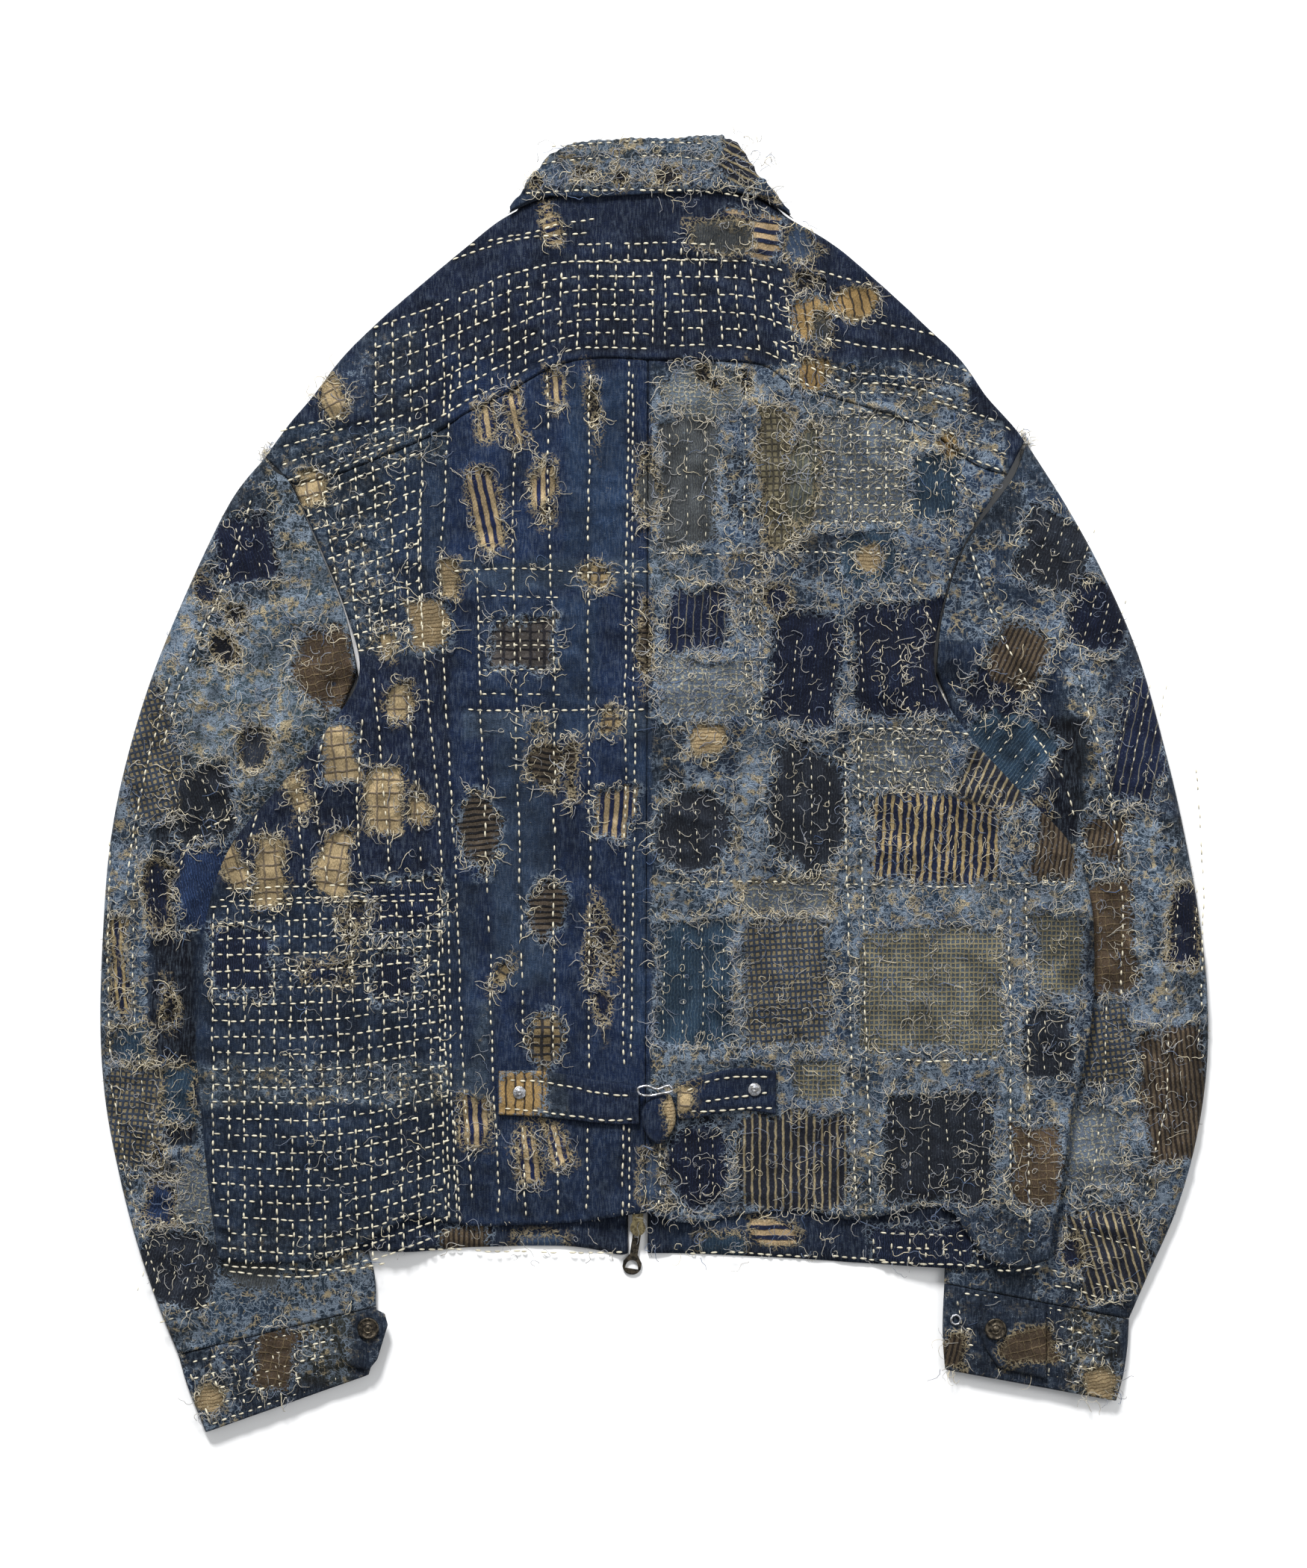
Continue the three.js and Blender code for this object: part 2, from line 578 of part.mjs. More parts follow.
// The neckline of the fronts: lower than the back's, and open at the zip.
const FRONT_NECK_ROWS = [
  { fromZip: 0, y: ZIP_TOP_Y },
  { fromZip: 26, y: 350 },
  { fromZip: 55, y: 359 },
  { fromZip: 79, y: 374 },
];
function frontEdges(side) {
  const opening = ZIP_X + side * ZIP_HALF_OPENING;
  const column = side < 0 ? "leftX" : "rightX";
  const neck = FRONT_NECK_ROWS.map((row) => plan(opening + side * row.fromZip, row.y));
  const sideLine = FRONT_SIDE_ROWS.map((row) => plan(row[column], row.y));
  const shoulderRows = SHOULDER_ROWS.map((row) => plan(row[column] - side * FRONT_TUCK, row.y - 2));
  const shoulder = [neck.at(-1), ...shoulderRows, sideLine[0]];
  const hem = HEM_ROWS.map((row) => plan(row.x, row.frontY));
  const ownHem = hem.filter((p) => side * (p.x - opening) > 0 && side * p.x < side * sideLine.at(-1).x - 4);
  const hemLine = side < 0
    ? [sideLine.at(-1), ...ownHem, plan(opening, FRONT_HEM_AT_ZIP)]
    : [plan(opening, FRONT_HEM_AT_ZIP), ...ownHem, sideLine.at(-1)];
  const zipSide = lineBetween(neck[0], plan(opening, FRONT_HEM_AT_ZIP));
  return {
    top: side < 0
      ? joined(curveThrough(shoulder.reverse()), curveThrough([...neck].reverse()))
      : joined(curveThrough(neck), curveThrough(shoulder)),
    bottom: curveThrough(hemLine),
    left: side < 0 ? curveThrough(sideLine) : zipSide,
    right: side < 0 ? zipSide : curveThrough(sideLine),
  };
}
addPiece("front_left", clothPanel(frontEdges(-1), 12, 20, frontUnderside), MATERIALS.indigo);
addPiece("front_right", ripped(clothPanel(frontEdges(1), 12, 20, frontUnderside)), MATERIALS.navy);

// Sleeves and cuffs

const CUFF_CEILING = CLOTH + SLEEVE_GAP;

// Height of the inside of a sleeve's upper wall: level under the body, full and folded outside it.
function sleeveCeiling(x, y, down) {
  const inSight = smoothStep(8, 24, outsideBody(x, y)) * smoothStep(1, 0.94, down);
  const own = CUFF_CEILING + (SLEEVE_PUFF + foldHeight(SLEEVE_FOLDS, x, y)) * inSight;
  const atArmhole = smoothStep(ARMHOLE_BLEND, 0, down) * smoothStep(UNDERARM_Y, UNDERARM_Y + 20, y);
  return THREE.MathUtils.lerp(own, backUnderside(x, y), atArmhole);
}

function sleeveEdges(rows, side) {
  const column = side < 0 ? "leftX" : "rightX";
  const outer = curveThrough(rows.map((row) => plan(row.outerX, row.outerY)));
  const inner = curveThrough(rows.map((row) => plan(row.innerX, row.innerY)));
  const seamRows = BODY_SIDE_ROWS.filter((row) => row.y > UNDERARM_Y + 8);
  const seam = seamRows.map((row) => plan(row[column] + side * ARMHOLE_GAP, row.y));
  const top = ends(outer)[0];
  const yokeEnd = top.clone().lerp(seam[0], 0.5).add(plan(side * 0.7 * ARMHOLE_GAP, -0.7 * ARMHOLE_GAP));
  const armhole = [top, yokeEnd, ...seam, ends(inner)[0]];
  const wrist = [ends(outer)[1], ends(inner)[1]];
  const [left, right] = side < 0 ? [outer, inner] : [inner, outer];
  const fromLeft = (points) => curveThrough(side < 0 ? points : [...points].reverse());
  return { top: fromLeft(armhole), bottom: fromLeft(wrist), left, right };
}
function cuffEdges(rows, side) {
  const outer = curveThrough(rows.map((row) => plan(row.outerX, row.outerY)));
  const inner = curveThrough(rows.map((row) => plan(row.innerX, row.innerY)));
  const [left, right] = side < 0 ? [outer, inner] : [inner, outer];
  return {
    top: lineBetween(ends(left)[0], ends(right)[0]),
    bottom: lineBetween(ends(left)[1], ends(right)[1]),
    left,
    right,
  };
}
const ARMS = [
  { name: "left", side: -1, sleeveRows: SLEEVE_LEFT_ROWS, cuffRows: CUFF_LEFT_ROWS },
  { name: "right", side: 1, sleeveRows: SLEEVE_RIGHT_ROWS, cuffRows: CUFF_RIGHT_ROWS },
];
for (const arm of ARMS) {
  const sleeve = flatTube(sleeveEdges(arm.sleeveRows, arm.side), 10, 22, sleeveCeiling);
  addPiece(`sleeve_${arm.name}`, sleeve, MATERIALS.washed);
  const cuff = flatTube(cuffEdges(arm.cuffRows, arm.side), 6, 4, () => CUFF_CEILING);
  addPiece(`cuff_${arm.name}`, cuff, MATERIALS.indigo);
}

// Collar: a band that rises from the neck seam, rolls over and falls back outside.

const ROLL_RADIUS = (CLOTH + 0.7) / 2;
const STAND_HEIGHT = BACK_UNDERSIDE + CLOTH / 2;
const ROLL_STEPS = 5;
const COLLAR_COLUMNS = 20;

function makeCollar() {
  const neck = curveThrough(neckSeam.map((p) => plan(p.x, p.y + COLLAR_SEAM_GAP)));
  const roll = curveThrough(COLLAR_ROWS.map((row) => plan(row.rollX, row.rollY)));
  const edge = curveThrough(COLLAR_ROWS.map((row) => plan(row.fallX, row.fallY)));
  const columns = Array.from({ length: COLLAR_COLUMNS + 1 }, (_, column) => column / COLLAR_COLUMNS);
  const onRow = (at) => columns.map(at);
  const level = (curve, share, height) => (across) => {
    const p = curve.getPointAt(across).lerp(roll.getPointAt(across), share);
    return new THREE.Vector3(p.x, p.y, height);
  };
  const turned = (angle) => (across) => {
    const p = roll.getPointAt(across);
    return new THREE.Vector3(
      p.x,
      p.y - CLOTH / 2 + ROLL_RADIUS * (Math.sin(angle) - 1),
      STAND_HEIGHT + ROLL_RADIUS * (1 - Math.cos(angle)),
    );
  };
  const fallHeight = STAND_HEIGHT + 2 * ROLL_RADIUS;
  const rows = [
    onRow(level(neck, 0, STAND_HEIGHT)),
    onRow(level(neck, 0.45, STAND_HEIGHT)),
    ...Array.from({ length: ROLL_STEPS }, (_, step) => onRow(turned((Math.PI * step) / (ROLL_STEPS - 1)))),
    onRow(level(edge, 0.45, fallHeight)),
    onRow(level(edge, 0, fallHeight)),
  ];
  return bentWall(rows, CLOTH);
}
addPiece("collar", makeCollar(), MATERIALS.washed);

// The collar's front leaves lie on the surface, under the neck.
function collarLeaf(side) {
  const opening = ZIP_X + side * ZIP_HALF_OPENING;
  const outer = COLLAR_ROWS.map((row) => plan(row.rollX - side * FRONT_TUCK, row.rollY - 3));
  const beyond = outer.filter((p) => side * (p.x - opening) > 8);
  const top = side < 0 ? [...beyond, plan(opening, 429)] : [plan(opening, 429), ...beyond];
  const neck = FRONT_NECK_ROWS.map((row) => plan(opening + side * row.fromZip, row.y + 2 * SEAM_GAP));
  const bottom = side < 0 ? neck.reverse() : neck;
  return clothPanel(
    {
      top: curveThrough(top),
      bottom: curveThrough(bottom),
      left: lineBetween(top[0], bottom[0]),
      right: lineBetween(top.at(-1), bottom.at(-1)),
    },
    8,
    4,
    () => 0,
  );
}
addPiece("collar_front_left", collarLeaf(-1), MATERIALS.washed);
addPiece("collar_front_right", collarLeaf(1), MATERIALS.washed);

// Cinch at the back waist: two straps, a wire buckle, the strap's free loop and two rivets.

const STRAP_LEFT_ROWS = [
  { x: -104, topY: -191, bottomY: -220.5 },
  { x: -75, topY: -191, bottomY: -222 },
  { x: -33, topY: -198, bottomY: -226.5 },
  { x: -10, topY: -201.5, bottomY: -227 },
];
const STRAP_RIGHT_ROWS = [
  { x: 15.2, topY: -201, bottomY: -223 },
  { x: 27, topY: -195.5, bottomY: -223 },
  { x: 56, topY: -189, bottomY: -217.5 },
  { x: 81.5, topY: -191, bottomY: -220.5 },
];
const STRAP_LIFT = REST_GAP + 0.35;

const overBack = (x, y) => backUnderside(x, y) + CLOTH + STRAP_LIFT;

function strap(rows) {
  const top = rows.map((row) => plan(row.x, row.topY));
  const bottom = rows.map((row) => plan(row.x, row.bottomY));
  const edges = {
    top: curveThrough(top),
    bottom: curveThrough(bottom),
    left: lineBetween(top[0], bottom[0]),
    right: lineBetween(top.at(-1), bottom.at(-1)),
  };
  return clothPanel(edges, 12, 3, overBack, TRIM_CLOTH);
}
addPiece("cinch_strap_left", strap(STRAP_LEFT_ROWS), MATERIALS.indigo);
addPiece("cinch_strap_right", strap(STRAP_RIGHT_ROWS), MATERIALS.indigo);

// The strap's end, doubled back through the buckle and hanging over the back as a loop.
const LOOP_ROWS = [
  { y: -207, leftX: -2, rightX: 11 },
  { y: -216, leftX: -7.5, rightX: 13.8 },
  { y: -226, leftX: -8, rightX: 14 },
  { y: -236, leftX: -4, rightX: 9 },
];
const LOOP_CROWN = 1.8;
function makeLoop() {
  const left = LOOP_ROWS.map((row) => plan(row.leftX, row.y));
  const right = LOOP_ROWS.map((row) => plan(row.rightX, row.y));
  const edges = {
    top: curveThrough([left[0], plan(4.5, -205.4), right[0]]),
    bottom: curveThrough([left.at(-1), plan(2.5, -240), right.at(-1)]),
    left: curveThrough(left),
    right: curveThrough(right),
  };
  const grid = planGrid(edges, 8, 7, 0);
  const crown = (x, y) => LOOP_CROWN * Math.exp(-(((x - 3) / 6) ** 2) - ((y + 222) / 16) ** 2);
  return wallBetween(
    raised(grid, overBack),
    raised(grid, (x, y) => overBack(x, y) + 2 * TRIM_CLOTH + crown(x, y)),
  );
}
addPiece("cinch_loop", makeLoop(), MATERIALS.indigo);

// The buckle: a round wire bent into a closed loop in plan, which joins both straps.
const BUCKLE = { wireRadius: 0.85, rings: 26, sides: 8 };
const BUCKLE_ROWS = [
  { x: -11, y: -202.5 },
  { x: -5, y: -200.8 },
  { x: 2, y: -203 },
  { x: 10, y: -200.6 },
  { x: 12, y: -204 },
  { x: 4, y: -206 },
  { x: -4, y: -207.4 },
  { x: -10, y: -206 },
];
function makeBuckle() {
  const loopTop = Math.max(...BUCKLE_ROWS.map((row) => overBack(row.x, row.y))) + 2 * TRIM_CLOTH;
  const height = loopTop + BUCKLE.wireRadius + 2 * REST_GAP;
  const path = new THREE.CatmullRomCurve3(
    BUCKLE_ROWS.map((row) => new THREE.Vector3(row.x, row.y, height)),
    true,
    "centripetal",
  );
  const points = Array.from({ length: BUCKLE.rings }, (_, ring) => {
    const centre = path.getPointAt(ring / BUCKLE.rings);
    const tangent = path.getTangentAt(ring / BUCKLE.rings);
    const outward = new THREE.Vector3(tangent.y, -tangent.x, 0).normalize();
    return Array.from({ length: BUCKLE.sides }, (__, side) => {
      const angle = (2 * Math.PI * side) / BUCKLE.sides;
      return centre
        .clone()
        .addScaledVector(outward, BUCKLE.wireRadius * Math.cos(angle))
        .setZ(height + BUCKLE.wireRadius * Math.sin(angle));
    });
  });
  const at = (ring, side) => (ring % BUCKLE.rings) * BUCKLE.sides + (side % BUCKLE.sides);
  const triangles = [];
  for (let ring = 0; ring < BUCKLE.rings; ring++) {
    for (let side = 0; side < BUCKLE.sides; side++) {
      triangles.push(
        [at(ring, side), at(ring + 1, side), at(ring + 1, side + 1)],
        [at(ring, side), at(ring + 1, side + 1), at(ring, side + 1)],
      );
    }
  }
  return geometryFrom(points.flat(), triangles);
}
addPiece("cinch_buckle", makeBuckle(), MATERIALS.steel);

// Half sections of the round hardware, from the middle of the underside out and back over the top.
const RIVET_PROFILE = [
  { r: 0, z: 0 },
  { r: RIVET_RADIUS, z: 0 },
  { r: RIVET_RADIUS, z: 0.7 },
  { r: RIVET_RADIUS - 0.5, z: 1 },
  { r: 1.9, z: 1 },
  { r: 1.7, z: 1.7 },
  { r: 0, z: 1.7 },
];
const BUTTON_PROFILE = [
  { r: 0, z: 0 },
  { r: BUTTON_RADIUS - 0.6, z: 0 },
  { r: BUTTON_RADIUS, z: 0.9 },
  { r: BUTTON_RADIUS - 0.3, z: 2 },
  { r: BUTTON_RADIUS - 0.9, z: 2.3 },
  { r: BUTTON_RADIUS - 1.5, z: 1.8 },
  { r: 3.4, z: 1.8 },
  { r: 3, z: 2.3 },
  { r: 2.5, z: 1.9 },
  { r: 1.6, z: 2.5 },
  { r: 0, z: 2.8 },
];

function addDisc(name, profile, segments, place, z, material) {
  const disc = new THREE.LatheGeometry(profile.map((row) => plan(row.r, row.z)), segments);
  addPiece(name, disc.rotateX(Math.PI / 2), material).position.set(place.x, place.y, z);
}

const RIVETS = [
  { name: "rivet_left", x: -90, y: -205.5 },
  { name: "rivet_right", x: 67, y: -203.5 },
];
const AROUND = [plan(0, 0), plan(1, 0), plan(-1, 0), plan(0, 1), plan(0, -1)];
const highestUnder = (place, radius, heightAt) =>
  Math.max(...AROUND.map((step) => heightAt(place.x + step.x * radius, place.y + step.y * radius)));
for (const rivet of RIVETS) {
  const z = highestUnder(rivet, RIVET_RADIUS, overBack) + TRIM_CLOTH + REST_GAP;
  addDisc(rivet.name, RIVET_PROFILE, 18, rivet, z, MATERIALS.steel);
}

// Cuff tabs and their buttons

const CUFF_TOP = CUFF_CEILING + CLOTH;
const TAB_UNDERSIDE = CUFF_TOP + REST_GAP;
const TAB_LEFT_ROWS = [
  { x: -214, y: -358 },
  { x: -186, y: -350.5 },
  { x: -180, y: -353.5 },
  { x: -178, y: -361 },
  { x: -185, y: -384 },
  { x: -191, y: -391.5 },
  { x: -206, y: -388 },
];
const TAB_RIGHT_ROWS = [
  { x: 230, y: -390 },
  { x: 221, y: -376 },
  { x: 216, y: -362 },
  { x: 222, y: -350.5 },
  { x: 231, y: -347.5 },
  { x: 262, y: -350.5 },
  { x: 262, y: -397 },
];
function cuffTab(rows) {
  const shape = new THREE.Shape(rows.map((row) => plan(row.x, row.y)));
  return plate(shape, TRIM_CLOTH, 1).translate(0, 0, TAB_UNDERSIDE);
}
addPiece("cuff_tab_left", cuffTab(TAB_LEFT_ROWS), MATERIALS.indigo);
addPiece("cuff_tab_right", cuffTab(TAB_RIGHT_ROWS), MATERIALS.indigo);
const BUTTON_UNDERSIDE = TAB_UNDERSIDE + TRIM_CLOTH + REST_GAP;
const BUTTONS = [
  { name: "cuff_button_left", x: -191, y: -363 },
  { name: "cuff_button_right", x: 228, y: -363.5 },
];
for (const button of BUTTONS) {
  addDisc(button.name, BUTTON_PROFILE, 20, button, BUTTON_UNDERSIDE, MATERIALS.darkMetal);
}

const EYELET = { x: 201.5, y: -357.5, ringRadius: 3.1, wireRadius: 0.8 };
const eyeletRing = new THREE.TorusGeometry(EYELET.ringRadius, EYELET.wireRadius, 8, 18);
addPiece("cuff_eyelet", eyeletRing, MATERIALS.steel).position.set(
  EYELET.x,
  EYELET.y,
  CUFF_TOP + EYELET.wireRadius + REST_GAP,
);

// Zip: two tapes, the closed chain, the lower slider with its bridge, and the pull tab on it.

const zipLift = (x, y) => CHAIN_LIFT * smoothStep(SLIDER_TOP_Y + 50, SLIDER_TOP_Y + 6, y);
const CHAIN_UNDERSIDE = TAPE_UNDERSIDE + (TAPE_THICKNESS - CHAIN_THICKNESS) / 2;

// A straight strip along the zip, from one distance beside its middle to another.
function zipStrip(fromX, toX, underside, thickness) {
  const top = [plan(ZIP_X + fromX, ZIP_TOP_Y), plan(ZIP_X + toX, ZIP_TOP_Y)];
  const bottom = top.map((p) => plan(p.x, SLIDER_TOP_Y + REST_GAP));
  const edges = {
    top: curveThrough(top),
    bottom: curveThrough(bottom),
    left: lineBetween(top[0], bottom[0]),
    right: lineBetween(top[1], bottom[1]),
  };
  const grid = planGrid(edges, 1, 40, 0);
  return wallBetween(
    raised(grid, (x, y) => underside + zipLift(x, y)),
    raised(grid, (x, y) => underside + zipLift(x, y) + thickness),
  );
}
const TAPE_INSIDE = CHAIN_WIDTH / 2 + REST_GAP;
addPiece(
  "zip_tape_left",
  zipStrip(-TAPE_INSIDE - TAPE_WIDTH, -TAPE_INSIDE, TAPE_UNDERSIDE, TAPE_THICKNESS),
  MATERIALS.tape,
);
addPiece(
  "zip_tape_right",
  zipStrip(TAPE_INSIDE, TAPE_INSIDE + TAPE_WIDTH, TAPE_UNDERSIDE, TAPE_THICKNESS),
  MATERIALS.tape,
);
addPiece(
  "zip_chain",
  zipStrip(-CHAIN_WIDTH / 2, CHAIN_WIDTH / 2, CHAIN_UNDERSIDE, CHAIN_THICKNESS),
  MATERIALS.brass,
);

// The slider in plan is a shield: a neck towards the chain and a rounded shoulder below it. Its
// bridge stands on two posts on the face side, under the body.
const BRIDGE = { width: 1.6, thickness: 0.8, floor: 0.3, start: -3, end: -13, post: 1.6, sink: 0.5 };
function makeSlider() {
  const shield = new THREE.Shape();
  shield.moveTo(-3.7, 0);
  shield.lineTo(3.7, 0);
  shield.lineTo(3.7, -5.5);
  shield.quadraticCurveTo(5.2, -7.5, 5.2, -10);
  shield.quadraticCurveTo(4.6, -13.6, 0, -SLIDER_LENGTH);
  shield.quadraticCurveTo(-4.6, -13.6, -5.2, -10);
  shield.quadraticCurveTo(-5.2, -7.5, -3.7, -5.5);
  shield.closePath();
  const body = plate(shield, SLIDER_THICKNESS, 5).translate(ZIP_X, SLIDER_TOP_Y, SLIDER_UNDERSIDE);
  const block = (fromY, toY, top) => {
    const box = new THREE.BoxGeometry(BRIDGE.width, fromY - toY, top - BRIDGE.floor);
    return solidFrom(box.translate(ZIP_X, SLIDER_TOP_Y + (fromY + toY) / 2, (top + BRIDGE.floor) / 2));
  };
  const top = SLIDER_UNDERSIDE + BRIDGE.sink;
  return geometryOfSolid(
    solidFrom(body)
      .add(block(BRIDGE.start, BRIDGE.end, BRIDGE.floor + BRIDGE.thickness))
      .add(block(BRIDGE.start, BRIDGE.start - BRIDGE.post, top))
      .add(block(BRIDGE.end + BRIDGE.post, BRIDGE.end, top)),
  );
}
addPiece("zip_slider", makeSlider(), MATERIALS.brass);

// The pull tab: a round crossbar in the slider's bridge, two rails beside the bridge's post, and a
// handle with a half-moon hole. It leans to the left and slopes down to the surface.
const TAB_PIVOT = { y: SLIDER_TOP_Y - 10.2, z: 2 };
const TAB_SLOPE = THREE.MathUtils.degToRad(2.2);
const TAB_LEAN = THREE.MathUtils.degToRad(-9);
const TAB_BAR = { radius: 0.6, length: 5, sides: 18 };
function makePullTab() {
  const outline = new THREE.Shape();
  outline.moveTo(-2.7, 0.1);
  outline.lineTo(-1.5, 0.1);
  outline.lineTo(-1.5, -6.2);
  outline.lineTo(1.5, -6.2);
  outline.lineTo(1.5, 0.1);
  outline.lineTo(2.7, 0.1);
  outline.lineTo(2.7, -17.5);
  outline.lineTo(6.2, -22.5);
  outline.lineTo(6.2, -26.5);
  outline.quadraticCurveTo(4.5, -31, 0, -31);
  outline.quadraticCurveTo(-4.5, -31, -6.2, -26.5);
  outline.lineTo(-6.2, -22.5);
  outline.lineTo(-2.7, -17.5);
  outline.closePath();
  const halfMoon = new THREE.Path();
  halfMoon.moveTo(-4.4, -27);
  halfMoon.lineTo(4.4, -27);
  halfMoon.quadraticCurveTo(4.2, -21.6, 0, -21.2);
  halfMoon.quadraticCurveTo(-4.2, -21.6, -4.4, -27);
  outline.holes.push(halfMoon);
  const handle = plate(outline, TAB_THICKNESS, 5).translate(0, 0, -TAB_THICKNESS / 2);
  const bar = new THREE.CylinderGeometry(TAB_BAR.radius, TAB_BAR.radius, TAB_BAR.length, TAB_BAR.sides);
  return geometryOfSolid(
    solidFrom(handle.rotateX(TAB_SLOPE).rotateZ(TAB_LEAN)).add(solidFrom(bar.rotateZ(Math.PI / 2))),
  );
}
addPiece("zip_pull", makePullTab(), MATERIALS.darkMetal).position.set(ZIP_X, TAB_PIVOT.y, TAB_PIVOT.z);

// The origin goes to the middle of the plan outline, on the surface.
const bounds = new THREE.Box3().setFromObject(jacket);
const middle = bounds.getCenter(new THREE.Vector3());
jacket.position.set(-middle.x, -middle.y, -bounds.min.z);

export default jacket;
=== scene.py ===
"""A patched boro jacket laid on its front: its cloth, stitches, frayed threads, metal, floor and light."""

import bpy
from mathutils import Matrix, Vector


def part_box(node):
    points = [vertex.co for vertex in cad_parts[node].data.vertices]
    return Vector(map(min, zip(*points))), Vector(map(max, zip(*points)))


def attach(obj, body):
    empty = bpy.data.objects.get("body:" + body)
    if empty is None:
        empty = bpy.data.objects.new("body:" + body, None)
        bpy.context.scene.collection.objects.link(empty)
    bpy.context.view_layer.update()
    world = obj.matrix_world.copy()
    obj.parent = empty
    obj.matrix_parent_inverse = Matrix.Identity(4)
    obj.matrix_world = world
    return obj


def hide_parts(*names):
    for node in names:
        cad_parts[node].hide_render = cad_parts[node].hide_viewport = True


bl_info = {
    "name": "Patched Boro Jacket",
    "version": (1, 0, 0),
    "blender": (4, 5, 0),
    "location": "View3D > Sidebar > Jacket",
    "description": "Makes a laid-out boro jacket of patched and stitched indigo cotton",
    "category": "Add Mesh",
}

import math

import bpy
import numpy as np
from mathutils import Vector

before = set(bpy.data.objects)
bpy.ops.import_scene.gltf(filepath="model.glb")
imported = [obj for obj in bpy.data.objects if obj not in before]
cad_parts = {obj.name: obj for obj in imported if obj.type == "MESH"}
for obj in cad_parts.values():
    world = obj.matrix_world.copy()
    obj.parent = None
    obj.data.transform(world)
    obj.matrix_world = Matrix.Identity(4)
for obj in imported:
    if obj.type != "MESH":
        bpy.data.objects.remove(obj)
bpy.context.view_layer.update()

# The pattern's tables are in millimetres. SHIFT takes them to the frame, whose origin is the middle
# of the plan; the left rivet's middle is at RIVET_PLACE in the tables.
RIVET_PLACE = (-90.0, -205.5)
_low, _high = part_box("rivet_left")
SHIFT = np.array([(_low.x + _high.x) * 500 - RIVET_PLACE[0], (_low.y + _high.y) * 500 - RIVET_PLACE[1], 0.0])

# Patches, seams and stitch lines were charted on a half-millimetre chart that runs down.
CHART_MIDDLE = np.array([876.0, 1051.0])


def chart(points):
    """Chart marks to millimetres: x is half the distance right of the middle, y half the distance above it."""
    points = np.asarray(points, float)
    return (points - CHART_MIDDLE) * np.array([0.5, -0.5])


# ---------------------------------------------------------------- sizes of the cloth, in millimetres
CLOTH = 3.0
TRIM_CLOTH = 2.4
LAYER_GAP = 2.4
REST_GAP = 0.35
SLEEVE_GAP = 1.0
BACK_UNDERSIDE = CLOTH + LAYER_GAP
FRONT_OVER_SLEEVE = 7.6
BACK_OVER_SLEEVE = 7.8
UNDERARM_Y = 66.0
ZIP_X, ZIP_HALF_OPENING, ZIP_TOP_Y = -11.0, 6.4, 346.0
CUFF_CEILING = CLOTH + SLEEVE_GAP
SLEEVE_PUFF = 2.2
EDGE_DIP = LAYER_GAP - REST_GAP
FRONT_TUCK = 3.0
FRONT_HEM_AT_ZIP = -313.5
STRAP_LIFT = REST_GAP + 0.35

# y, left x, right x
SHOULDERS = [(361, -124, 120), (335, -155, 151), (310, -184, 178), (285, -209, 204), (260, -228, 222),
             (240, -245, 240)]
TIP_LEFT, TIP_RIGHT = (-260, 219), (247.5, 229.5)
NECK_SEAM = [(-98, 380.5), (-66, 393), (-3, 398), (61, 394), (93, 377)]
YOKE_SEAM = [(-242, 201), (-216, 206), (-190, 216), (-150, 233), (-125, 248.5), (-98, 262), (-66, 280),
             (-37.5, 285), (-4, 284), (42.5, 283), (73, 280), (94, 266), (123, 257.5), (158, 247.5),
             (187, 234), (214, 214), (236, 207)]
MIDDLE_ROW = 8
BODY_SIDES = [(201, -242, 236), (160, -224, 207), (115, -206, 192), (74, -197, 187.5), (40, -216, 205),
              (0, -249, 240), (-38, -281, 277), (-75, -296, 291), (-120, -303, 294), (-172, -306, 290),
              (-225, -302, 278), (-275, -297, 271), (-317, -291, 264)]
FRONT_SIDES = [(205, -236, 231), (140, -207, 192), (90, -191.5, 182), (58, -189, 180.5), (28, -200, 190),
               (0, -214, 204), (-34, -262, 252), (-70, -287, 280), (-120, -297, 288), (-172, -300, 284),
               (-225, -296, 272), (-275, -291, 265), (-313, -286, 259)]
# x, the back's hem, the fronts' hem
HEMS = [(-291, -317, -313), (-262, -320, -314), (-226, -318, -313), (-200, -309, -311),
        (-163, -291, -312.5), (-118, -295, -309.5), (-57, -293, -309), (-24, -288.5, -314.5),
        (-6, -286, -314), (24, -293, -314), (70, -286, -316), (107, -286, -318), (136, -291, -320),
        (191, -282, -323), (210, -302, -324), (225, -319, -323), (244, -322, -319), (264, -317, -313)]
# where the collar rolls over, then the edge of its fall
COLLAR = [(-96, 386, -97, 383), (-79, 410, -77, 392.5), (-66, 424, -62, 393), (-48, 431, -44, 392.5),
          (-15, 432.5, -15, 394), (18, 433, 17, 395.5), (47, 433, 43, 395.5), (58, 426, 58, 395),
          (72, 404, 72, 391), (90.5, 384, 91.5, 381)]
# distance from the zip's opening, y
FRONT_NECK = [(0, ZIP_TOP_Y), (26, 350), (55, 359), (79, 374)]
# outer edge x, y, then inner edge x, y, from the armhole to the wrist
SLEEVE_LEFT = [(-261, 218, -198, 74), (-283, 190, -208, 50), (-310, 135, -215, 20), (-336, 72, -220, -20),
               (-354, 12, -223, -65), (-364, -40, -224, -105), (-368.5, -95, -223, -145),
               (-370.5, -160, -220, -185), (-367, -212, -215, -220), (-358, -260, -208, -255),
               (-347, -303, -198, -290), (-333, -345, -187.5, -325), (-318.5, -380.5, -186, -348.5)]
SLEEVE_RIGHT = [(249, 228.5, 188.5, 74), (276, 186, 198, 50), (301, 140, 205, 20), (324, 86, 210, -20),
                (342, 22, 214, -65), (354, -30, 215, -110), (364, -85, 214, -150), (370, -140, 211, -190),
                (369.5, -190, 207, -230), (362, -240, 203, -265), (349, -285, 198, -298),
                (331, -326, 194.5, -322), (317.5, -357, 194, -333)]
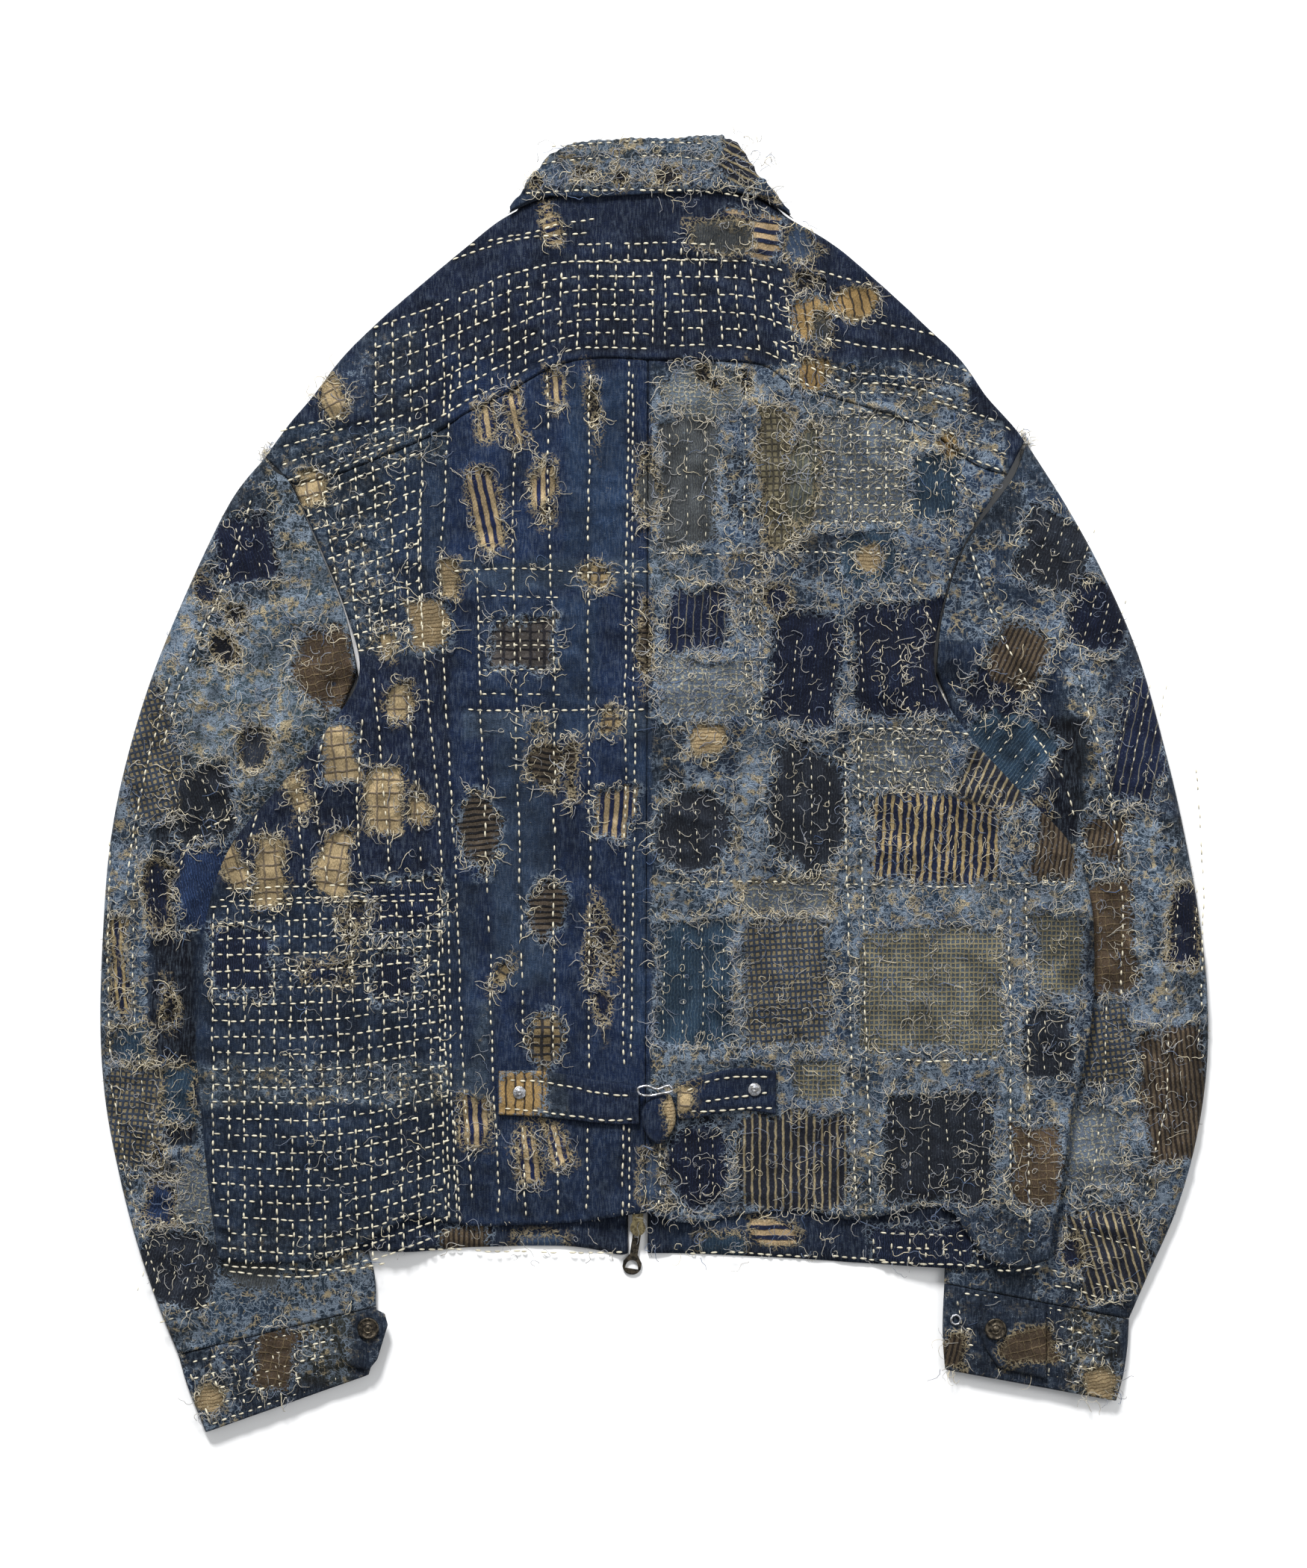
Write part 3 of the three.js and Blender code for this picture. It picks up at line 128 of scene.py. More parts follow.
CUFF_LEFT = [(-318.3, -381.1, -186, -349.1), (-313, -400, -184.5, -366), (-306, -418, -188, -384),
             (-300, -433, -191, -394.5)]
CUFF_RIGHT = [(317.5, -357.6, 194, -333.6), (316.5, -376, 193, -354), (313.5, -396, 193, -372),
              (309, -412, 194.5, -391)]
# x, top, bottom
STRAP_LEFT = [(-104, -191, -220.5), (-75, -191, -222), (-33, -198, -226.5), (-10, -201.5, -227)]
STRAP_RIGHT = [(15.2, -201, -223), (27, -195.5, -223), (56, -189, -217.5), (81.5, -191, -220.5)]
# y, left x, right x
STRAP_LOOP = [(-207, -2, 11), (-216, -7.5, 13.8), (-226, -8, 14), (-236, -4, 9)]
TAB_LEFT = [(-214, -358), (-186, -350.5), (-180, -353.5), (-178, -361), (-185, -384), (-191, -391.5),
            (-206, -388)]
TAB_RIGHT = [(230, -390), (221, -376), (216, -362), (222, -350.5), (231, -347.5), (262, -350.5), (262, -397)]
RIVETS = {"left": (-90, -205.5), "right": (67, -203.5)}
BUTTONS = {"left": (-191, -363), "right": (228, -363.5)}
RIP = {"x": 111.5, "y": 334.5, "half_width": 3.2, "half_height": 2.4, "turn": 0.35}

# Folds: start x, y, end x, y, half width, height
BACK_FOLDS = [(124, -70, 72, -172, 11, 6), (62, -92, 30, -165, 9, 4.5), (96, -100, 52, -178, 8, 3),
              (-205, 55, -262, -30, 12, 4), (196, 52, 268, -38, 12, 4), (-176, 74, -214, -22, 13, 4.5),
              (168, 60, 214, -25, 14, 4), (-52, 262, -50, 150, 8, 2.5), (96, 244, 104, 170, 9, 4),
              (-142, 60, -136, -280, 9, 2), (-90, -120, -62, -182, 9, 3), (-255, -120, -250, -270, 22, 3),
              (232, -90, 246, -240, 20, 3), (150, -200, 120, -270, 14, 2.5), (-11, -250, -11, -300, 26, 2.6)]
YOKE_FOLDS = [(-215, 235, -100, 320, 16, 2), (110, 318, 214, 245, 16, 2.2)]
SLEEVE_FOLDS = [(-250, 92, -330, -40, 15, 5), (-345, -30, -352, -190, 13, 5.5), (-352, -190, -318, -290, 13, 4),
                (-300, 118, -322, 60, 14, 3), (-300, -330, -240, -338, 12, 3), (244, 105, 318, -20, 14, 4.5),
                (334, 10, 352, -110, 13, 5), (350, -120, 334, -230, 14, 4.5), (336, -235, 300, -318, 12, 4),
                (290, 160, 312, 90, 13, 3)]
# Small creases on top of the folds: start x, y, end x, y, half width, height or depth
CREASES = {
    "body": [(148, -58, 88, -150, 4, 1.2), (84, -60, 44, -150, 4, -1.2), (110, -128, 70, -196, 3, 1.1),
             (-60, -150, -44, -196, 3, 1), (-104, -140, -92, -188, 3.5, 1.2), (-22, -150, -18, -198, 3, 0.9),
             (14, -160, 24, -196, 3, 0.9), (-212, 20, -262, -56, 5, 1.4), (-196, 30, -236, -60, 4, -1.2),
             (-172, 40, -196, -40, 4, 1.2), (206, 20, 262, -60, 5, 1.4), (186, 34, 226, -50, 4, -1.2),
             (150, 40, 190, -30, 4, 1.2), (-190, 190, -120, 150, 5, 1), (-160, 210, -110, 120, 5, 1),
             (-70, 250, -78, 150, 3, 1.2), (20, 250, 26, 180, 3, 1), (120, 240, 150, 150, 4, 1.2),
             (168, 220, 190, 140, 4, 1), (-230, -90, -205, -250, 6, 1.2), (-190, -100, -176, -280, 5, 1),
             (204, -110, 214, -260, 5, 1.2), (170, -70, 150, -180, 4, 1), (-40, 30, -36, -110, 3, 0.9),
             (40, 60, 44, -60, 4, 1), (104, 40, 100, -60, 4, 1), (-120, 330, -60, 300, 5, 0.9),
             (30, 340, 96, 318, 4, 0.9), (-180, 262, -128, 290, 5, 1), (150, 286, 190, 252, 5, 1)],
    "sleeve": [(-262, 130, -300, 60, 5, 1.6), (-282, 84, -336, -20, 4, -1.6), (-240, 60, -300, -50, 5, 1.8),
               (-252, 10, -318, -96, 5, 1.6), (-300, -60, -350, -120, 4, 1.4), (-310, -130, -352, -170, 5, 1.5),
               (-310, -200, -362, -214, 4, 1.5), (-304, -236, -350, -262, 4, 1.3), (-300, -280, -344, -292, 4, 1.4),
               (-230, -330, -318, -350, 4, 1.2), (-220, -344, -300, -366, 3, 1.2), (256, 140, 290, 70, 5, 1.6),
               (240, 90, 304, 0, 4, -1.5), (236, 60, 292, -40, 5, 1.8), (300, -20, 344, -90, 5, 1.6),
               (296, -80, 348, -140, 4, 1.5), (300, -150, 360, -170, 5, 1.5), (290, -210, 358, -214, 4, 1.5),
               (286, -250, 346, -264, 4, 1.3), (270, -290, 336, -300, 4, 1.3), (220, -320, 320, -336, 4, 1.2)],
    "front": [], "cuff": [], "collar": [(-60, 414, 40, 418, 4, -0.7), (-70, 402, 60, 404, 3, 0.5)],
}
CRUMPLE = {"body": 1.0, "sleeve": 1.15, "front": 0.5, "cuff": 0.6, "collar": 0.55}


# ---------------------------------------------------------------- curves and surfaces
def smooth_step(low, high, value):
    """0 below low, 1 above high, and share * share * (3 - 2 * share) between."""
    share = np.clip((value - low) / (high - low), 0, 1)
    return share * share * (3 - 2 * share)


def spline(points):
    """A Catmull-Rom curve through the points, with the end points repeated, at equal shares of its length."""
    points = np.asarray(points, float)
    padded = np.vstack([points[:1], points, points[-1:]])
    spans = len(points) - 1

    def raw(t):
        place = np.clip(np.asarray(t, float) * spans, 0, spans)
        first = np.minimum(place.astype(int), spans - 1)
        w = (place - first)[..., None]
        p0, p1, p2, p3 = (padded[first + k] for k in range(4))
        v0, v1 = (p2 - p0) / 2, (p3 - p1) / 2
        return ((2 * p1 - 2 * p2 + v0 + v1) * w ** 3 + (-3 * p1 + 3 * p2 - 2 * v0 - v1) * w ** 2 + v0 * w + p1)

    steps = np.linspace(0, 1, 401)
    lengths = np.r_[0, np.cumsum(np.linalg.norm(np.diff(raw(steps), axis=0), axis=1))]

    def at(share):
        return raw(np.interp(np.asarray(share, float) * lengths[-1], lengths, steps))

    at.length = lengths[-1]
    return at


def joined(first, second):
    """Two curves end to end: the first for shares up to a half, then the second."""
    def at(share):
        share = np.asarray(share, float)
        return np.where((share <= 0.5)[..., None], first(np.minimum(2 * share, 1)),
                        second(np.maximum(2 * share - 1, 0)))
    at.length = first.length + second.length
    return at


def patch_plan(edges, columns, rows, drawn_in=0.175):
    """A Coons patch: rows between the side edges plus columns between the top and bottom edges, less the
    bilinear blend of the corners. Its outermost points are drawn in by half a seam's gap."""
    top, bottom, left, right = edges
    u = np.linspace(0, 1, columns + 1)
    v = np.linspace(0, 1, rows + 1)
    across, down = u[None, :, None], v[:, None, None]
    grid = top(u)[None] * (1 - down) + bottom(u)[None] * down + left(v)[:, None] * (1 - across) + right(v)[:,
            None] * across
    a, b, c, d = (top(np.array([0.0]))[0], top(np.array([1.0]))[0], bottom(np.array([0.0]))[0],
                  bottom(np.array([1.0]))[0])
    grid = grid - ((a * (1 - across) + b * across) * (1 - down) + (c * (1 - across) + d * across) * down)
    if drawn_in:
        for edge, inner in (((0, slice(None)), (1, slice(None))), ((-1, slice(None)), (-2, slice(None))),
                            ((slice(None), 0), (slice(None), 1)), ((slice(None), -1), (slice(None), -2))):
            step = grid[inner] - grid[edge]
            grid[edge] += step * drawn_in / np.maximum(np.linalg.norm(step, axis=-1, keepdims=True), 1e-6)
    return grid


def lumps(x, y, size, seed):
    """Soft random hills from -1 to 1: random heights at the corners of a square lattice, joined by smooth steps."""
    table = np.random.default_rng(seed).random((64, 64)) * 2 - 1
    u, v = x / size + 640 + seed * 0.37, y / size + 640 + seed * 0.61
    i, j = np.floor(u).astype(int), np.floor(v).astype(int)
    fu, fv = u - i, v - j
    fu, fv = fu * fu * (3 - 2 * fu), fv * fv * (3 - 2 * fv)
    a, b = table[i % 64, j % 64], table[(i + 1) % 64, j % 64]
    c, d = table[i % 64, (j + 1) % 64], table[(i + 1) % 64, (j + 1) % 64]
    return (a * (1 - fu) + b * fu) * (1 - fv) + (c * (1 - fu) + d * fu) * fv


def fold_height(folds, x, y, floor=0.35):
    """The sum of soft ridges: height * exp(-(distance to the line / half width)^2), fading towards the ends."""
    total = np.zeros_like(x, dtype=float)
    for x0, y0, x1, y1, half, height in folds:
        dx, dy = x1 - x0, y1 - y0
        along = np.clip(((x - x0) * dx + (y - y0) * dy) / (dx * dx + dy * dy), 0, 1)
        away = np.hypot(x - x0 - along * dx, y - y0 - along * dy) / half
        fade = smooth_step(0, 0.25, along) * smooth_step(1, 0.75, along)
        total += height * np.exp(-away * away) * np.maximum(fade, floor)
    return total


def column(rows, key, value, y):
    """A table's column at y, by straight lines between rows that run down."""
    table = np.array(rows, float)[::-1]
    return np.interp(y, table[:, key], table[:, value])


def outside_body(x, y):
    """How far a point lies outside the body's sides."""
    return np.maximum(column(BODY_SIDES, 0, 1, y) - x, x - column(BODY_SIDES, 0, 2, y))


def over_sleeve(x, y):
    """How far a point lies over a sleeve, from the sleeve's inner edge or the armhole."""
    inner = np.maximum(column(SLEEVE_LEFT, 3, 2, y) - x, x - column(SLEEVE_RIGHT, 3, 2, y))
    return np.where(y > UNDERARM_Y, outside_body(x, y), inner)


def front_underside(x, y):
    """Flat on the surface, rising by FRONT_OVER_SLEEVE over the sleeves below the underarms."""
    return FRONT_OVER_SLEEVE * smooth_step(-60, -14, over_sleeve(x, y)) * smooth_step(74, 28, y)


def edge_dip(x, y):
    """From 0 to 1 where the back comes down to the fronts at its folded sides and its hem."""
    table = np.array(HEMS, float)
    hem = table[np.minimum(np.searchsorted(table[:, 0], x, side="right"), len(table) - 1), 1]
    side = smooth_step(-12, -1, outside_body(x, y)) * smooth_step(20, -40, y)
    return np.maximum(side, smooth_step(12, 1, y - hem) * smooth_step(24, 40, np.abs(x - ZIP_X)))


def back_underside(x, y):
    """One layer up, higher over the sleeves, plus the folds, less the dip at the edges."""
    rise = BACK_OVER_SLEEVE * smooth_step(-74, -14, over_sleeve(x, y)) * smooth_step(112, UNDERARM_Y, y)
    return BACK_UNDERSIDE + rise + fold_height(BACK_FOLDS, x, y) - EDGE_DIP * edge_dip(x, y)


def yoke_underside(x, y):
    """One layer up, plus the yoke's folds."""
    return BACK_UNDERSIDE + fold_height(YOKE_FOLDS, x, y)


def sleeve_share(rows, x, y):
    """How far down a sleeve a point lies: the first place where the line from the outer to the inner edge passes it."""
    steps = np.linspace(0, 1, 90)
    table = np.array(rows, float)
    outer, inner = spline(table[:, :2])(steps), spline(table[:, 2:])(steps)
    side = np.sign(table[0, 0])
    chord = inner - outer
    turn = side * (chord[:, 0] * (y.ravel()[:, None] - outer[:, 1]) - chord[:, 1]
                   * (x.ravel()[:, None] - outer[:, 0]))
    return (np.count_nonzero(turn > 0, axis=1) / len(steps)).reshape(x.shape)


def sleeve_ceiling(x, y, down):
    """The inside of a sleeve's upper wall: level under the body, full and folded outside it."""
    in_sight = smooth_step(8, 24, outside_body(x, y)) * smooth_step(1, 0.94, down)
    own = CUFF_CEILING + (SLEEVE_PUFF + fold_height(SLEEVE_FOLDS, x, y)) * in_sight
    at_armhole = smooth_step(0.14, 0, down) * smooth_step(UNDERARM_Y, UNDERARM_Y + 20, y)
    return own + (back_underside(x, y) - own) * at_armhole


# ---------------------------------------------------------------- meshes
def mesh_object(name, points, faces, smooth=True):
    """An object at the origin from points in table millimetres and a list of face arrays, each of one face size."""
    points = (np.asarray(points, float).reshape(-1, 3) + SHIFT) * 0.001
    faces = [np.asarray(f, int) for f in faces if len(f)]
    sizes = np.concatenate([np.full(len(f), f.shape[1]) for f in faces])
    corners = np.concatenate([f.ravel() for f in faces])
    mesh = bpy.data.meshes.new(name)
    mesh.vertices.add(len(points))
    mesh.vertices.foreach_set("co", points.ravel().astype(np.float32))
    mesh.loops.add(len(corners))
    mesh.loops.foreach_set("vertex_index", corners.astype(np.int32))
    mesh.polygons.add(len(sizes))
    mesh.polygons.foreach_set("loop_start", np.r_[0, np.cumsum(sizes)[:-1]].astype(np.int32))
    mesh.update(calc_edges=True)
    if smooth:
        mesh.polygons.foreach_set("use_smooth", np.ones(len(sizes), bool))
    mesh.validate()
    obj = bpy.data.objects.new(name, mesh)
    bpy.context.scene.collection.objects.link(obj)
    return obj


def grid_faces(rows, columns, flip=False, first=0):
    """Quads of a grid of rows by columns points, turned over where asked."""
    at = first + np.arange(rows * columns).reshape(rows, columns)
    quads = np.stack([at[:-1, :-1], at[1:, :-1], at[1:, 1:], at[:-1, 1:]], -1).reshape(-1, 4)
    return quads[:, ::-1] if flip else quads


def strip_faces(a, b, closed=False):
    """Quads between two lines of point numbers."""
    if closed:
        a, b = np.r_[a, a[:1]], np.r_[b, b[:1]]
    return np.stack([a[:-1], b[:-1], b[1:], a[1:]], -1)


def shell(name, under, over):
    """A closed sheet between two grids of points of the same size: faces over, faces under and a rim all round."""
    rows, columns = under.shape[:2]
    count = rows * columns
    at = np.arange(count).reshape(rows, columns)
    rim = np.r_[at[0, :-1], at[:-1, -1], at[-1, :0:-1], at[:0:-1, 0]]
    faces = np.vstack([grid_faces(rows, columns, first=count), grid_faces(rows, columns, flip=True),
                       strip_faces(rim, rim + count, closed=True)])
    return mesh_object(name, np.vstack([under.reshape(-1, 3), over.reshape(-1, 3)]), [faces])


def lifted(plan, z):
    """Plan points with a height each."""
    return np.concatenate([plan, z[..., None]], -1)


def plan_area(plan):
    """Area of a plan grid, in square millimetres: the sum of its quads' cross products over two."""
    a, b = plan[1:, 1:] - plan[:-1, :-1], plan[:-1, 1:] - plan[1:, :-1]
    return float(np.abs(a[..., 0] * b[..., 1] - a[..., 1] * b[..., 0]).sum() / 2)


def rim_distance(plan):
    """Each grid point's distance to the nearest side of its grid, measured along its own row and column."""
    def along(axis):
        steps = np.linalg.norm(np.diff(plan, axis=axis), axis=-1)
        pad = [(0, 0), (0, 0)]
        pad[axis] = (1, 0)
        run = np.pad(np.cumsum(steps, axis=axis), pad)
        return np.minimum(run, np.take(run, [-1], axis=axis) - run)
    return np.minimum(along(0), along(1))


def rounded_edge(distance, width=2.2, drop=1.4):
    """How far an outer face drops at its edge: drop * (1 - sqrt(1 - (1 - distance / width)^2)) inside the width."""
    inner = 1 - np.clip(distance / width, 0, 1)
    return drop * (1 - np.sqrt(np.maximum(1 - inner * inner, 0)))


# ---------------------------------------------------------------- the patchwork, charted
def rgb(red, green, blue):
    """A colour of the chart, 0 to 255 as seen, to the linear values that shaders take."""
    seen = np.array([red, green, blue]) / 255
    return np.where(seen <= 0.04045, seen / 12.92, ((seen + 0.055) / 1.055) ** 2.4)


# ground, lines on it, distance between lines across and down in mm, width share, how broken they are
FABRICS = {
    "cream_stripe": ((206, 184, 146), (38, 52, 94), 6.2, 0, 0.46, 0.2),
    "cream_plaid": ((210, 188, 148), (148, 134, 118), 8.0, 9.0, 0.14, 0.3),
    "cream": ((206, 184, 146), (176, 152, 116), 0, 2.4, 0.3, 0.7),
    "ochre": ((190, 160, 110), (74, 68, 66), 6.0, 0, 0.2, 0.5),
    "peach_stripe": ((214, 188, 150), (44, 54, 84), 0, 7.0, 0.45, 0.2),
    "plaid": ((168, 148, 112), (74, 72, 74), 6.5, 6.0, 0.3, 0.3),
    "grey": ((88, 92, 96), (116, 120, 120), 1.7, 0, 0.35, 0.6),
    "grey_brown": ((108, 102, 98), (56, 54, 60), 9.0, 6.0, 0.22, 0.5),
    "brown_rib": ((112, 100, 86), (44, 42, 46), 0, 4.0, 0.42, 0.25),
    "brown_net": ((104, 88, 72), (146, 128, 100), 5.0, 5.5, 0.12, 0.6),
    "olive_check": ((146, 138, 112), (96, 92, 82), 4.2, 4.4, 0.3, 0.2),
    "tan_check": ((152, 140, 112), (70, 80, 96), 3.6, 4.0, 0.4, 0.25),
    "fine_check": ((92, 102, 112), (158, 150, 124), 3.0, 3.2, 0.34, 0.25),
    "leaf": ((104, 108, 104), (150, 148, 124), 3.2, 0, 0.3, 0.3),
    "navy": ((22, 32, 58), (44, 56, 86), 2.0, 0, 0.3, 0.6),
    "navy_pin": ((28, 40, 70), (150, 146, 132), 5.2, 0, 0.12, 0.3),
    "charcoal": ((44, 50, 62), (66, 72, 82), 1.9, 0, 0.35, 0.6),
    "teal": ((52, 76, 98), (82, 104, 122), 2.3, 0, 0.35, 0.6),
    "indigo": ((38, 56, 88), (70, 94, 138), 1.8, 0, 0.3, 0.7),
    "faded": ((78, 98, 126), (150, 158, 166), 4.0, 0, 0.22, 0.8),
    "cord": ((112, 98, 80), (58, 50, 46), 3.4, 0, 0.42, 0.15),
    "bold_stripe": ((30, 40, 70), (190, 170, 128), 5.4, 0, 0.4, 0.45),
    "thin_stripe": ((48, 52, 66), (182, 168, 136), 5.2, 0, 0.3, 0.25),
    "denim": ((30, 42, 68), (60, 74, 104), 1.6, 0, 0.35, 0.6),
    # hole: near-black, the dark cloth beneath with painted shade in the hole
    "hole": ((13, 17, 30), (30, 36, 56), 0, 2.2, 0.2, 0.8),
    "white": ((118, 130, 142), (200, 194, 172), 3.6, 3.0, 0.34, 0.9),
    "ikat": ((112, 124, 140), (190, 186, 166), 4.6, 4.0, 0.34, 0.9),
}

